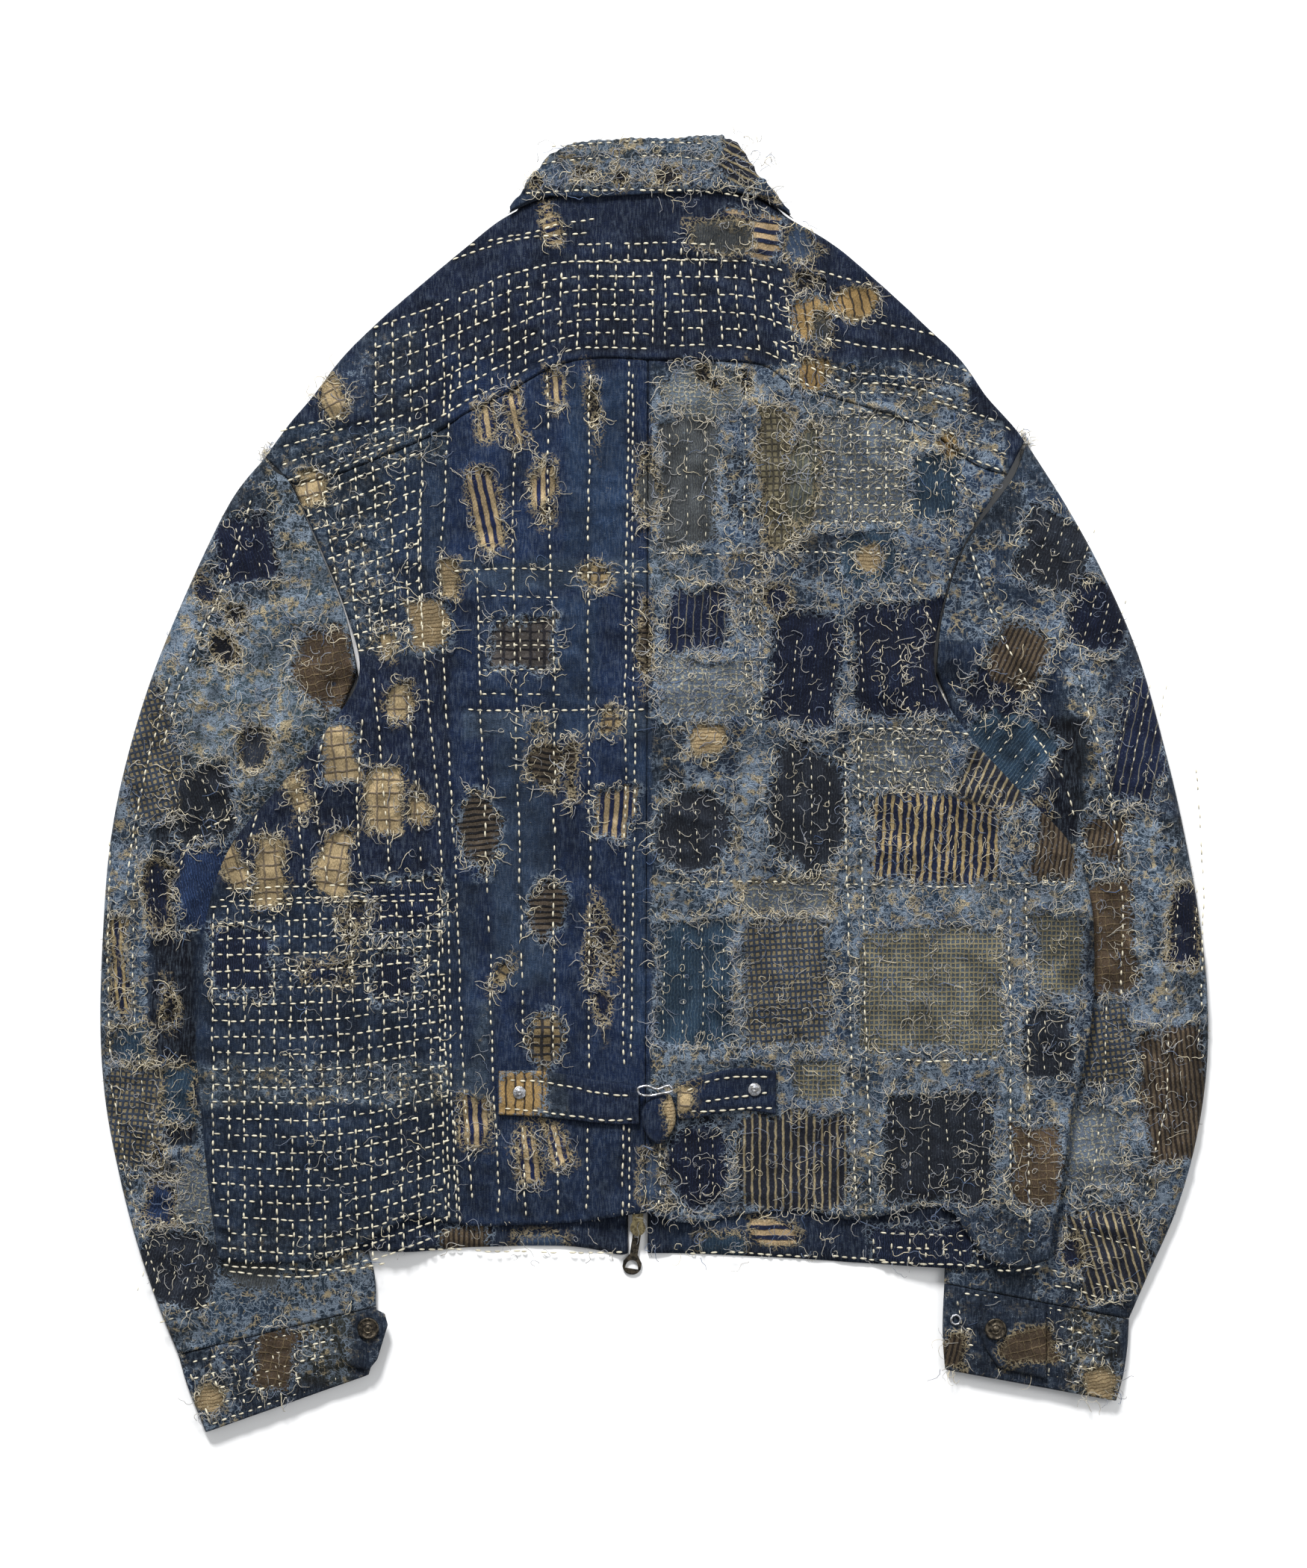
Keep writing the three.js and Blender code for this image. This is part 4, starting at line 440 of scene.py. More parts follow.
# group, fabric, left, right, top, bottom on the chart, turn in degrees, shape, row spacing of its stitches
PATCHES = [
    # collar and the ends below it
    ("collar", "hole", 709, 730, 236, 260, 0, "oval", 0), ("collar", "hole", 761, 801, 226, 246, 4, "oval", 0),
    ("collar", "hole", 824, 843, 229, 252, 0, "oval", 0), ("collar", "hole", 876, 910, 226, 252, 0, "oval", 0),
    ("collar", "thin_stripe", 956, 1020, 186, 250, 62, "rect", 0),
    ("collar", "navy", 1000, 1040, 262, 280, 20, "rect", 0),
    ("body", "cream_stripe", 697, 772, 281, 300, -76, "rect", 0),
    ("body", "peach_stripe", 958, 1048, 284, 346, -8, "rect", 0),
    ("body", "grey", 918, 1006, 300, 338, 0, "rect", 0), ("body", "faded", 1050, 1090, 300, 350, 20, "rect", 0),
    # yoke
    ("body", "ochre", 1057, 1112, 394, 458, 8, "oval", 0), ("body", "ochre", 1114, 1180, 388, 428, 12, "oval", 0),
    ("body", "ochre", 1062, 1110, 484, 526, 0, "oval", 0), ("body", "ochre", 1250, 1286, 580, 612, 20, "oval", 0),
    ("body", "hole", 1064, 1094, 366, 388, 0, "oval", 0), ("body", "cream_plaid", 424, 466, 506, 560, 24, "oval", 0),
    ("body", "cream_plaid", 400, 440, 630, 676, 10, "oval", 0), ("body", "grey", 1085, 1110, 420, 460, 0, "oval", 0),
    # worn tuft below the yoke at the middle
    ("body", "white", 884, 1000, 486, 560, 0, "oval", 0), ("body", "hole", 930, 950, 488, 512, 10, "oval", 0),
    ("body", "hole", 948, 968, 506, 528, -20, "oval", 0), ("body", "hole", 994, 1004, 500, 524, 0, "oval", 0),
    # left of the middle
    ("body", "cream_stripe", 641, 664, 538, 590, 8, "rect", 0),
    ("body", "cream_stripe", 676, 704, 520, 602, 12, "rect", 0),
    ("body", "cream_stripe", 630, 672, 630, 742, 12, "rect", 0),
    ("body", "cream_stripe", 732, 757, 490, 546, 4, "rect", 0),
    ("body", "cream_stripe", 710, 745, 620, 690, 0, "oval", 0), ("body", "plaid", 774, 818, 757, 790, 0, "oval", 0),
    ("body", "hole", 787, 801, 512, 574, 6, "oval", 0), ("body", "grey_brown", 657, 746, 828, 900, 0, "rect", 26),
    ("body", "brown_rib", 854, 870, 815, 904, 0, "oval", 0),
    ("body", "brown_rib", 612, 668, 1060, 1162, 6, "oval", 0),
    ("body", "brown_rib", 706, 754, 986, 1054, -8, "oval", 0),
    ("body", "brown_rib", 754, 776, 988, 1076, 0, "rect", 0),
    ("body", "plaid", 798, 832, 950, 988, 0, "rect", 0), ("body", "brown_rib", 708, 760, 1178, 1256, 0, "oval", 0),
    ("body", "grey", 704, 733, 958, 990, 0, "rect", 0), ("body", "cream_stripe", 799, 850, 1054, 1126, -4, "rect", 0),
    ("body", "navy", 794, 818, 1222, 1290, 8, "oval", 0), ("body", "navy", 780, 800, 1254, 1318, 0, "oval", 0),
    ("body", "navy", 798, 816, 1316, 1372, 4, "oval", 0), ("body", "plaid", 707, 758, 1358, 1428, 0, "oval", 0),
    ("body", "plaid", 662, 682, 1286, 1330, -30, "oval", 0),
    ("body", "cream_stripe", 619, 656, 1466, 1538, 4, "rect", 0),
    ("body", "cream_stripe", 692, 717, 1500, 1586, 6, "rect", 0),
    ("body", "cream_stripe", 734, 760, 1498, 1562, 14, "rect", 0),
    # left side flap
    ("body", "cream_plaid", 430, 482, 964, 1048, 6, "rect", 0),
    ("body", "cream_plaid", 492, 536, 1030, 1112, 0, "rect", 0),
    ("body", "cream_plaid", 517, 557, 914, 968, 0, "oval", 0),
    ("body", "cream_plaid", 388, 414, 1036, 1096, 16, "rect", 0),
    ("body", "cream_plaid", 428, 470, 1110, 1202, -10, "rect", 0),
    ("body", "cream_plaid", 344, 384, 1122, 1212, 4, "rect", 0),
    ("body", "cream_plaid", 297, 326, 1119, 1194, 18, "rect", 0),
    ("body", "cream", 548, 602, 802, 875, 10, "rect", 0),
    ("body", "cream", 590, 615, 750, 802, 0, "rect", 0), ("body", "cream_plaid", 510, 524, 830, 880, 8, "oval", 0),
    ("body", "cream_plaid", 556, 572, 1060, 1100, 0, "oval", 0),
    # left hem panel
    ("body", "denim", 285, 366, 1240, 1332, 0, "rect", 0), ("body", "denim", 494, 592, 1178, 1250, 6, "rect", 0),
    ("body", "denim", 500, 560, 1270, 1342, 0, "rect", 0), ("body", "denim", 452, 500, 1206, 1244, 30, "oval", 0),
    ("body", "denim", 400, 470, 1288, 1318, 0, "rect", 0), ("body", "hole", 462, 478, 1232, 1268, 20, "oval", 0),
    # right back, first row
    ("body", "grey", 884, 958, 560, 732, 0, "rect", 24), ("body", "grey", 851, 884, 602, 704, 0, "oval", 22),
    ("body", "olive_check", 1018, 1060, 545, 742, 2, "rect", 0),
    ("body", "leaf", 1050, 1098, 568, 726, -8, "oval", 0),
    ("body", "ikat", 1084, 1214, 556, 700, 0, "rect", 0), ("body", "teal", 1219, 1285, 604, 696, 4, "rect", 22),
    ("body", "teal", 1127, 1203, 710, 784, 0, "rect", 0), ("body", "cream", 1148, 1180, 730, 766, 0, "oval", 0),
    ("body", "faded", 980, 1020, 744, 784, 0, "rect", 0),
    # second row
    ("body", "navy_pin", 893, 975, 786, 874, -3, "rect", 0), ("body", "navy", 1018, 1062, 782, 818, 0, "rect", 0),
    ("body", "navy", 1024, 1130, 820, 976, -6, "rect", 26), ("body", "navy", 1140, 1280, 806, 960, 4, "rect", 26),
    ("body", "denim", 1214, 1290, 860, 952, 0, "rect", 0), ("body", "cream", 918, 968, 968, 1010, 0, "rect", 0),
    ("body", "ikat", 884, 1006, 884, 962, 0, "rect", 0), ("body", "teal", 1008, 1024, 786, 850, 0, "rect", 0),
    # third row
    ("body", "charcoal", 874, 986, 1058, 1172, 2, "oval", 24),
    ("body", "charcoal", 1026, 1135, 988, 1168, 0, "oval", 24),
    ("body", "bold_stripe", 1166, 1338, 1060, 1180, -3, "rect", 0),
    ("body", "thin_stripe", 1280, 1370, 1014, 1090, -24, "rect", 0),
    ("body", "ikat", 1146, 1270, 984, 1056, 0, "rect", 0), ("body", "cord", 1382, 1452, 1080, 1182, -8, "rect", 0),
    # fourth row
    ("body", "teal", 876, 980, 1234, 1398, 0, "rect", 26), ("body", "tan_check", 994, 1112, 1230, 1400, 4, "rect", 0),
    ("body", "fine_check", 1148, 1342, 1240, 1408, 0, "rect", 0),
    ("body", "charcoal", 1364, 1438, 1350, 1446, 0, "rect", 22),
    ("body", "fine_check", 1382, 1448, 1220, 1330, 0, "rect", 0),
    ("body", "ikat", 990, 1110, 1180, 1226, 0, "rect", 0),
    # fifth row
    ("body", "navy", 892, 976, 1500, 1620, 0, "oval", 18),
    ("body", "thin_stripe", 988, 1140, 1490, 1622, 0, "rect", 0),
    ("body", "charcoal", 1182, 1326, 1464, 1612, 0, "rect", 24),
    ("body", "brown_net", 1350, 1418, 1503, 1618, 0, "rect", 0),
    ("body", "faded", 860, 890, 1540, 1612, 0, "rect", 0),
    ("body", "fine_check", 1064, 1130, 1416, 1470, 0, "rect", 0),
    # left sleeve
    ("sleeve", "navy", 290, 370, 692, 784, 12, "rect", 22), ("sleeve", "hole", 282, 318, 842, 900, 30, "oval", 0),
    ("sleeve", "hole", 300, 330, 812, 838, 20, "oval", 0), ("sleeve", "brown_net", 392, 478, 840, 952, 12, "oval", 0),
    ("sleeve", "tan_check", 158, 238, 900, 1100, 14, "rect", 0),
    ("sleeve", "charcoal", 318, 367, 972, 1032, -10, "oval", 0),
    ("sleeve", "charcoal", 232, 316, 1026, 1130, 14, "rect", 20),
    ("sleeve", "indigo", 234, 314, 1132, 1244, 10, "rect", 0),
    ("sleeve", "bold_stripe", 150, 174, 1230, 1372, 4, "rect", 0),
    ("sleeve", "navy", 196, 232, 1150, 1246, 6, "rect", 24),
    ("sleeve", "tan_check", 138, 228, 1424, 1566, -6, "rect", 0),
    ("sleeve", "charcoal", 186, 292, 1648, 1750, -16, "rect", 20),
    ("sleeve", "teal", 150, 200, 1372, 1420, 0, "rect", 0), ("sleeve", "hole", 220, 236, 1322, 1372, 4, "oval", 0),
    ("sleeve", "teal", 214, 262, 1420, 1500, -8, "rect", 0), ("sleeve", "ikat", 236, 330, 1560, 1640, -12, "rect", 0),
    ("sleeve", "indigo", 196, 240, 1580, 1640, -14, "rect", 0),
    ("sleeve", "hole", 206, 222, 1530, 1560, 0, "oval", 0),
    ("sleeve", "grey", 300, 380, 1660, 1720, -14, "rect", 0), ("sleeve", "denim", 262, 290, 764, 812, 24, "rect", 0),
    # right sleeve
    ("sleeve", "charcoal", 1362, 1462, 690, 790, -18, "rect", 20),
    ("sleeve", "navy", 1428, 1510, 780, 874, -16, "rect", 20),
    ("sleeve", "cord", 1318, 1398, 832, 934, -24, "rect", 0),
    ("sleeve", "teal", 1284, 1400, 950, 1060, -38, "rect", 22),
    ("sleeve", "navy", 1290, 1370, 900, 960, -30, "rect", 0),
    ("sleeve", "navy_pin", 1490, 1566, 902, 1076, -12, "rect", 22),
    ("sleeve", "navy", 1562, 1606, 1182, 1290, -4, "rect", 24),
    ("sleeve", "cord", 1524, 1616, 1372, 1562, 6, "rect", 0),
    ("sleeve", "brown_net", 1452, 1520, 1180, 1330, 4, "rect", 0),
    ("sleeve", "thin_stripe", 1434, 1536, 1610, 1734, 16, "rect", 0),
    ("sleeve", "navy", 1380, 1404, 1066, 1104, -20, "oval", 0),
    ("sleeve", "charcoal", 1376, 1440, 1352, 1444, 0, "rect", 20),
    ("sleeve", "brown_net", 1356, 1412, 1500, 1612, 6, "rect", 0),
    ("sleeve", "cord", 1450, 1510, 1090, 1160, -10, "rect", 0),
    ("sleeve", "tan_check", 1440, 1520, 1340, 1450, 8, "rect", 0),
    ("sleeve", "ikat", 1420, 1500, 1480, 1590, 10, "rect", 0),
    ("sleeve", "navy", 1420, 1446, 1660, 1700, 14, "rect", 0),
    # fronts' hem strip and the cuffs
    ("front", "cord", 590, 660, 1640, 1690, 0, "rect", 0),
    ("front", "peach_stripe", 1010, 1064, 1636, 1664, 0, "rect", 0),
    ("front", "denim", 1164, 1310, 1640, 1700, 0, "rect", 0), ("front", "faded", 690, 760, 1650, 1690, 0, "rect", 0),
    ("front", "teal", 930, 1000, 1650, 1690, 0, "rect", 0),
    ("cuff", "hole", 456, 473, 1730, 1743, 0, "oval", 0), ("cuff", "brown_net", 340, 400, 1776, 1862, -12, "rect", 0),
    ("cuff", "cream", 262, 300, 1850, 1890, 10, "oval", 0), ("cuff", "cord", 1262, 1292, 1783, 1836, -12, "rect", 0),
    ("cuff", "cream", 1448, 1492, 1830, 1870, 12, "rect", 0),
    ("cuff", "brown_net", 1340, 1410, 1776, 1822, 14, "rect", 0),
    # cinch
    ("strap", "ochre", 667, 726, 1431, 1496, 0, "rect", 0),
    ("strap", "cream_plaid", 901, 934, 1448, 1494, -6, "rect", 0),
    ("strap", "cream", 891, 906, 1463, 1532, 0, "rect", 0),
]

# Where the dye and the wear change, and painted shade on the sleeves beside the body: group, left, right, top, bottom
# on the chart, softness in mm, colour, wear
ZONES = [
    ("body", 0, 1750, 0, 2100, 1, (46, 66, 104), 0.5),
    ("body", 300, 1380, 250, 640, 10, (36, 52, 92), 0.2),
    ("body", 350, 620, 570, 900, 12, (62, 84, 116), 0.58), ("body", 520, 640, 620, 840, 8, (56, 78, 118), 0.4),
    ("body", 440, 560, 480, 560, 8, (54, 72, 108), 0.5), ("body", 480, 560, 440, 500, 8, (60, 76, 108), 0.5),
    ("body", 600, 872, 478, 1640, 5, (42, 66, 116), 0.14), ("body", 640, 740, 760, 940, 8, (52, 76, 122), 0.3),
    ("body", 760, 840, 500, 740, 8, (60, 88, 136), 0.24), ("body", 620, 872, 952, 990, 4, (92, 114, 152), 0.45),
    ("body", 620, 872, 752, 790, 5, (82, 104, 142), 0.42), ("body", 660, 740, 990, 1320, 12, (74, 98, 140), 0.26),
    ("body", 740, 800, 800, 980, 8, (58, 84, 130), 0.2), ("body", 840, 872, 990, 1400, 5, (58, 84, 130), 0.3),
    ("body", 590, 660, 1340, 1480, 10, (84, 104, 136), 0.5), ("body", 600, 872, 1480, 1640, 8, (42, 64, 108), 0.26),
    ("body", 260, 600, 880, 1200, 8, (34, 50, 90), 0.3), ("body", 380, 560, 900, 1010, 8, (34, 50, 92), 0.2),
    ("body", 250, 612, 1186, 1720, 5, (52, 72, 108), 0.42), ("body", 260, 600, 1420, 1480, 8, (84, 100, 124), 0.62),
    ("body", 600, 640, 1180, 1420, 5, (54, 76, 118), 0.3), ("body", 260, 560, 1640, 1720, 8, (60, 78, 108), 0.5),
    ("body", 872, 1300, 486, 990, 4, (74, 94, 124), 0.78), ("body", 872, 1470, 980, 1700, 5, (72, 92, 122), 0.76),
    ("body", 956, 1022, 500, 980, 6, (86, 106, 136), 0.92), ("body", 1280, 1350, 560, 820, 6, (70, 90, 122), 0.7),
    ("body", 1138, 1168, 980, 1640, 4, (98, 116, 138), 0.95),
    ("body", 1344, 1380, 1180, 1640, 4, (92, 110, 134), 0.92),
    ("body", 872, 1460, 1176, 1232, 4, (98, 114, 134), 0.94), ("body", 986, 1026, 990, 1400, 4, (92, 110, 136), 0.92),
    ("body", 872, 1350, 1404, 1460, 5, (88, 104, 128), 0.88),
    ("body", 1160, 1200, 1460, 1640, 5, (84, 104, 130), 0.86),
    ("body", 1080, 1240, 540, 710, 6, (110, 128, 148), 0.9), ("body", 872, 960, 740, 790, 5, (96, 112, 132), 0.9),
    ("body", 1160, 1280, 986, 1060, 6, (86, 108, 140), 0.84), ("body", 872, 1000, 880, 980, 5, (80, 100, 132), 0.86),
    ("body", 985, 1000, 1600, 1640, 4, (70, 90, 120), 0.6), ("body", 1000, 1470, 1626, 1700, 5, (52, 70, 100), 0.55),
    ("sleeve", 0, 1750, 0, 2100, 1, (88, 104, 126), 0.86),
    ("sleeve", 100, 480, 600, 1000, 14, (104, 120, 136), 0.92),
    ("sleeve", 250, 360, 620, 800, 10, (60, 78, 106), 0.6),
    ("sleeve", 130, 200, 1130, 1420, 8, (86, 106, 134), 0.82),
    ("sleeve", 100, 330, 1490, 1640, 10, (84, 102, 128), 0.86),
    ("sleeve", 196, 300, 1240, 1480, 10, (52, 70, 104), 0.5),
    ("sleeve", 240, 330, 1120, 1250, 8, (44, 68, 112), 0.28),
    ("sleeve", 230, 520, 1640, 1830, 10, (78, 94, 114), 0.8),
    ("sleeve", 250, 420, 880, 1060, 10, (112, 122, 126), 0.95),
    ("sleeve", 1260, 1480, 600, 900, 10, (66, 86, 118), 0.66),
    ("sleeve", 1300, 1400, 560, 700, 8, (70, 88, 118), 0.66),
    ("sleeve", 1250, 1420, 860, 1080, 10, (44, 64, 102), 0.4),
    ("sleeve", 1480, 1620, 820, 1100, 10, (52, 68, 98), 0.55),
    ("sleeve", 1440, 1640, 1100, 1200, 10, (84, 100, 122), 0.8),
    ("sleeve", 1380, 1480, 1300, 1660, 10, (60, 74, 98), 0.66),
    ("sleeve", 1480, 1620, 1280, 1380, 8, (90, 104, 122), 0.88),
    ("sleeve", 1260, 1520, 1640, 1790, 10, (62, 80, 110), 0.62),
    # Painted shade: these three sleeve zones are near-black, with little wear, where the sleeves lie beside and under
    # the body's sides.
    ("sleeve", 204, 262, 1010, 1530, 7, (14, 22, 44), 0.22), ("sleeve", 1398, 1450, 960, 1130, 8, (14, 22, 44), 0.25),
    ("sleeve", 1386, 1420, 1120, 1600, 8, (22, 32, 56), 0.4),
    ("cuff", 0, 1750, 0, 2100, 1, (50, 66, 96), 0.5), ("cuff", 240, 320, 1780, 1920, 8, (64, 82, 110), 0.66),
    ("cuff", 400, 470, 1740, 1850, 8, (92, 88, 78), 0.66), ("cuff", 1430, 1500, 1750, 1880, 8, (86, 84, 84), 0.66),
    ("collar", 0, 1750, 0, 2100, 1, (62, 82, 118), 0.46), ("collar", 600, 1100, 150, 232, 6, (98, 112, 128), 0.86),
    ("collar", 600, 1100, 256, 292, 3, (52, 74, 114), 0.4), ("collar", 700, 960, 222, 256, 5, (84, 100, 126), 0.72),
    ("front", 0, 1750, 0, 2100, 1, (40, 56, 92), 0.36), ("front", 900, 1000, 1630, 1710, 6, (56, 78, 118), 0.3),
    ("strap", 0, 1750, 0, 2100, 1, (40, 60, 104), 0.26), ("strap", 600, 760, 1420, 1500, 5, (66, 82, 110), 0.5),
    ("leaf", 0, 1750, 0, 2100, 1, (40, 52, 84), 0.3),
]
LINING = ((58, 66, 84), 0.3)
# The old repairs in the worn parts: where the cloth is itself pieced from scraps of about this size, and how strongly
PIECING = {"body": (37.0, 44.0), "sleeve": (34.0, 40.0), "cuff": (22.0, 26.0), "collar": (30.0, 16.0)}
DYE_TONE, FABRIC_TONE = np.array([0.48, 0.5, 0.46]), 0.86
UNDER_WEAR = np.array([0.6, 0.74, 0.92])


def patch_depth(row, x, y):
    """How far inside a patch a point lies, negative outside, in mm, and its own turned coordinates. A rectangle's
    depth is the distance to its nearest side; an oval's is (1 - its scaled radius) times its smaller half."""
    _, _, left, right, top, bottom, turn, shape, _ = row
    (x0, y0), (x1, y1) = chart([(left, bottom), (right, top)])
    half_x, half_y = (x1 - x0) / 2, (y1 - y0) / 2
    angle = math.radians(turn)
    dx, dy = x - (x0 + x1) / 2, y - (y0 + y1) / 2
    across = dx * math.cos(angle) + dy * math.sin(angle)
    up = dy * math.cos(angle) - dx * math.sin(angle)
    if shape == "oval":
        depth = (1 - np.hypot(across / half_x, up / half_y)) * min(half_x, half_y)
    else:
        side_x, side_y = half_x - np.abs(across), half_y - np.abs(up)
        corner = -np.hypot(np.minimum(side_x, 0), np.minimum(side_y, 0))
        depth = np.where((side_x < 0) | (side_y < 0), corner, np.minimum(side_x, side_y))
        depth = depth + 1.2 * np.clip(1 - np.hypot(side_x - 3, side_y - 3) / 6, 0, 1) * -1.5
    return depth, across, up


def ragged(x, y, seed):
    """How a torn edge wanders, in mm: wide and narrow lumps added."""
    return 3.2 * lumps(x, y, 15.0, seed) + 2.2 * lumps(x, y, 7.0, seed + 1) + 0.9 * lumps(x, y, 4.2, seed + 2)


def dye_wear_and_shade(group, x, y):
    """Colour and wear at a point, the colour with the painted shade of the dark sleeve zones: each zone of the table in
    turn, laid over the last with a soft border.
    """
    dye = np.zeros(x.shape + (3,))
    wear = np.zeros(x.shape)
    wander = 2.4 * lumps(x, y, 17.0, 31) + 1.2 * lumps(x, y, 6.0, 32)
    for name, left, right, top, bottom, soft, colour, worn in ZONES:
        if name != group:
            continue
        (x0, y0), (x1, y1) = chart([(left, bottom), (right, top)])
        inside = np.minimum(np.minimum(x - x0, x1 - x), np.minimum(y - y0, y1 - y)) + wander
        share = smooth_step(-soft / 2, soft / 2, inside)
        dye += (rgb(*colour) * DYE_TONE - dye) * share[..., None]
        wear += (worn - wear) * share
    if group in PIECING:
        tone, border = pieced(group, x, y)
        worn_here = smooth_step(0.45, 0.75, wear)
        dye = dye * (1 + (tone * UNDER_WEAR - 1) * worn_here[..., None])
        wear = np.clip(wear + worn_here * (0.24 * border - 0.2 * (tone.mean(-1) < 0.8)), 0, 1.1)
    return dye, wear


def pieced(group, x, y):
    """Scraps in rows: each cell of a wandering lattice has its own tone, and its border is a frayed seam. Gives the
    tone of each colour channel and how near the border is, from 0 to 1."""
    wide, tall = PIECING[group]
    u = (x + 5 * lumps(x, y, 31.0, 71) + 2.2 * lumps(x, y, 8.0, 72)) / wide + 40
    v = (y + 5 * lumps(x, y, 29.0, 73) + 2.2 * lumps(x, y, 8.0, 74)) / tall + 40
    row = np.floor(v).astype(int)
    u = u + 0.37 * (row % 3)
    cell = np.floor(u).astype(int)
    table = np.random.default_rng(77).random((64, 64, 2))
    pick = table[cell % 64, row % 64]
    light = 0.4 + 1.3 * pick[..., 0]
    warm = 1 + 0.28 * (pick[..., 1] - 0.45)
    tone = np.stack([light * warm, light, light * (2 - warm) * 0.98], -1)
    near = np.minimum(np.minimum(u - cell, 1 - u + cell) * wide, np.minimum(v - row, 1 - v + row) * tall)
    return tone, np.exp(-(near / 2.6) ** 2)


def patch_layers(group, x, y):
    """For two layers: depth inside the patch that shows, its own coordinates and the fabric's numbers. Patches of the
    table go to the layers in turn, the large ones below; at each point the deepest patch of a layer is the one used."""
    own = [row for row in PATCHES if row[0] == group]
    size = [min(row[3] - row[2], row[5] - row[4]) for row in own]
    layers = []
    for layer in (0, 1):
        depth = np.full(x.shape, -20.0)
        local = np.zeros(x.shape + (3,))
        rule = np.zeros(x.shape + (3,))
        ground = np.zeros(x.shape + (3,)) + 0.1
        line = np.zeros(x.shape + (3,)) + 0.1
        for number, row in enumerate(own):
            if (size[number] < 50) != bool(layer):
                continue
            here, across, up = patch_depth(row, x, y)
            here = here + ragged(x, y, 40 + number % 5) * (0.6 if row[1] == "hole" else 1.0)
            nearer = here > depth
            colour, marks, gap_x, gap_y, share, broken = FABRICS[row[1]]
            depth = np.where(nearer, here, depth)
            pick = nearer[..., None]
            local = np.where(pick, np.stack([across, up, np.full(x.shape, share)], -1), local)
            rule = np.where(pick, np.array([1 / gap_x if gap_x else 0, 1 / gap_y if gap_y else 0, broken]), rule)
            ground = np.where(pick, rgb(*colour) ** 1.12 * FABRIC_TONE, ground)
            line = np.where(pick, rgb(*marks) ** 1.12 * FABRIC_TONE, line)
        layers.append((depth, local, rule, ground, line))
    return layers


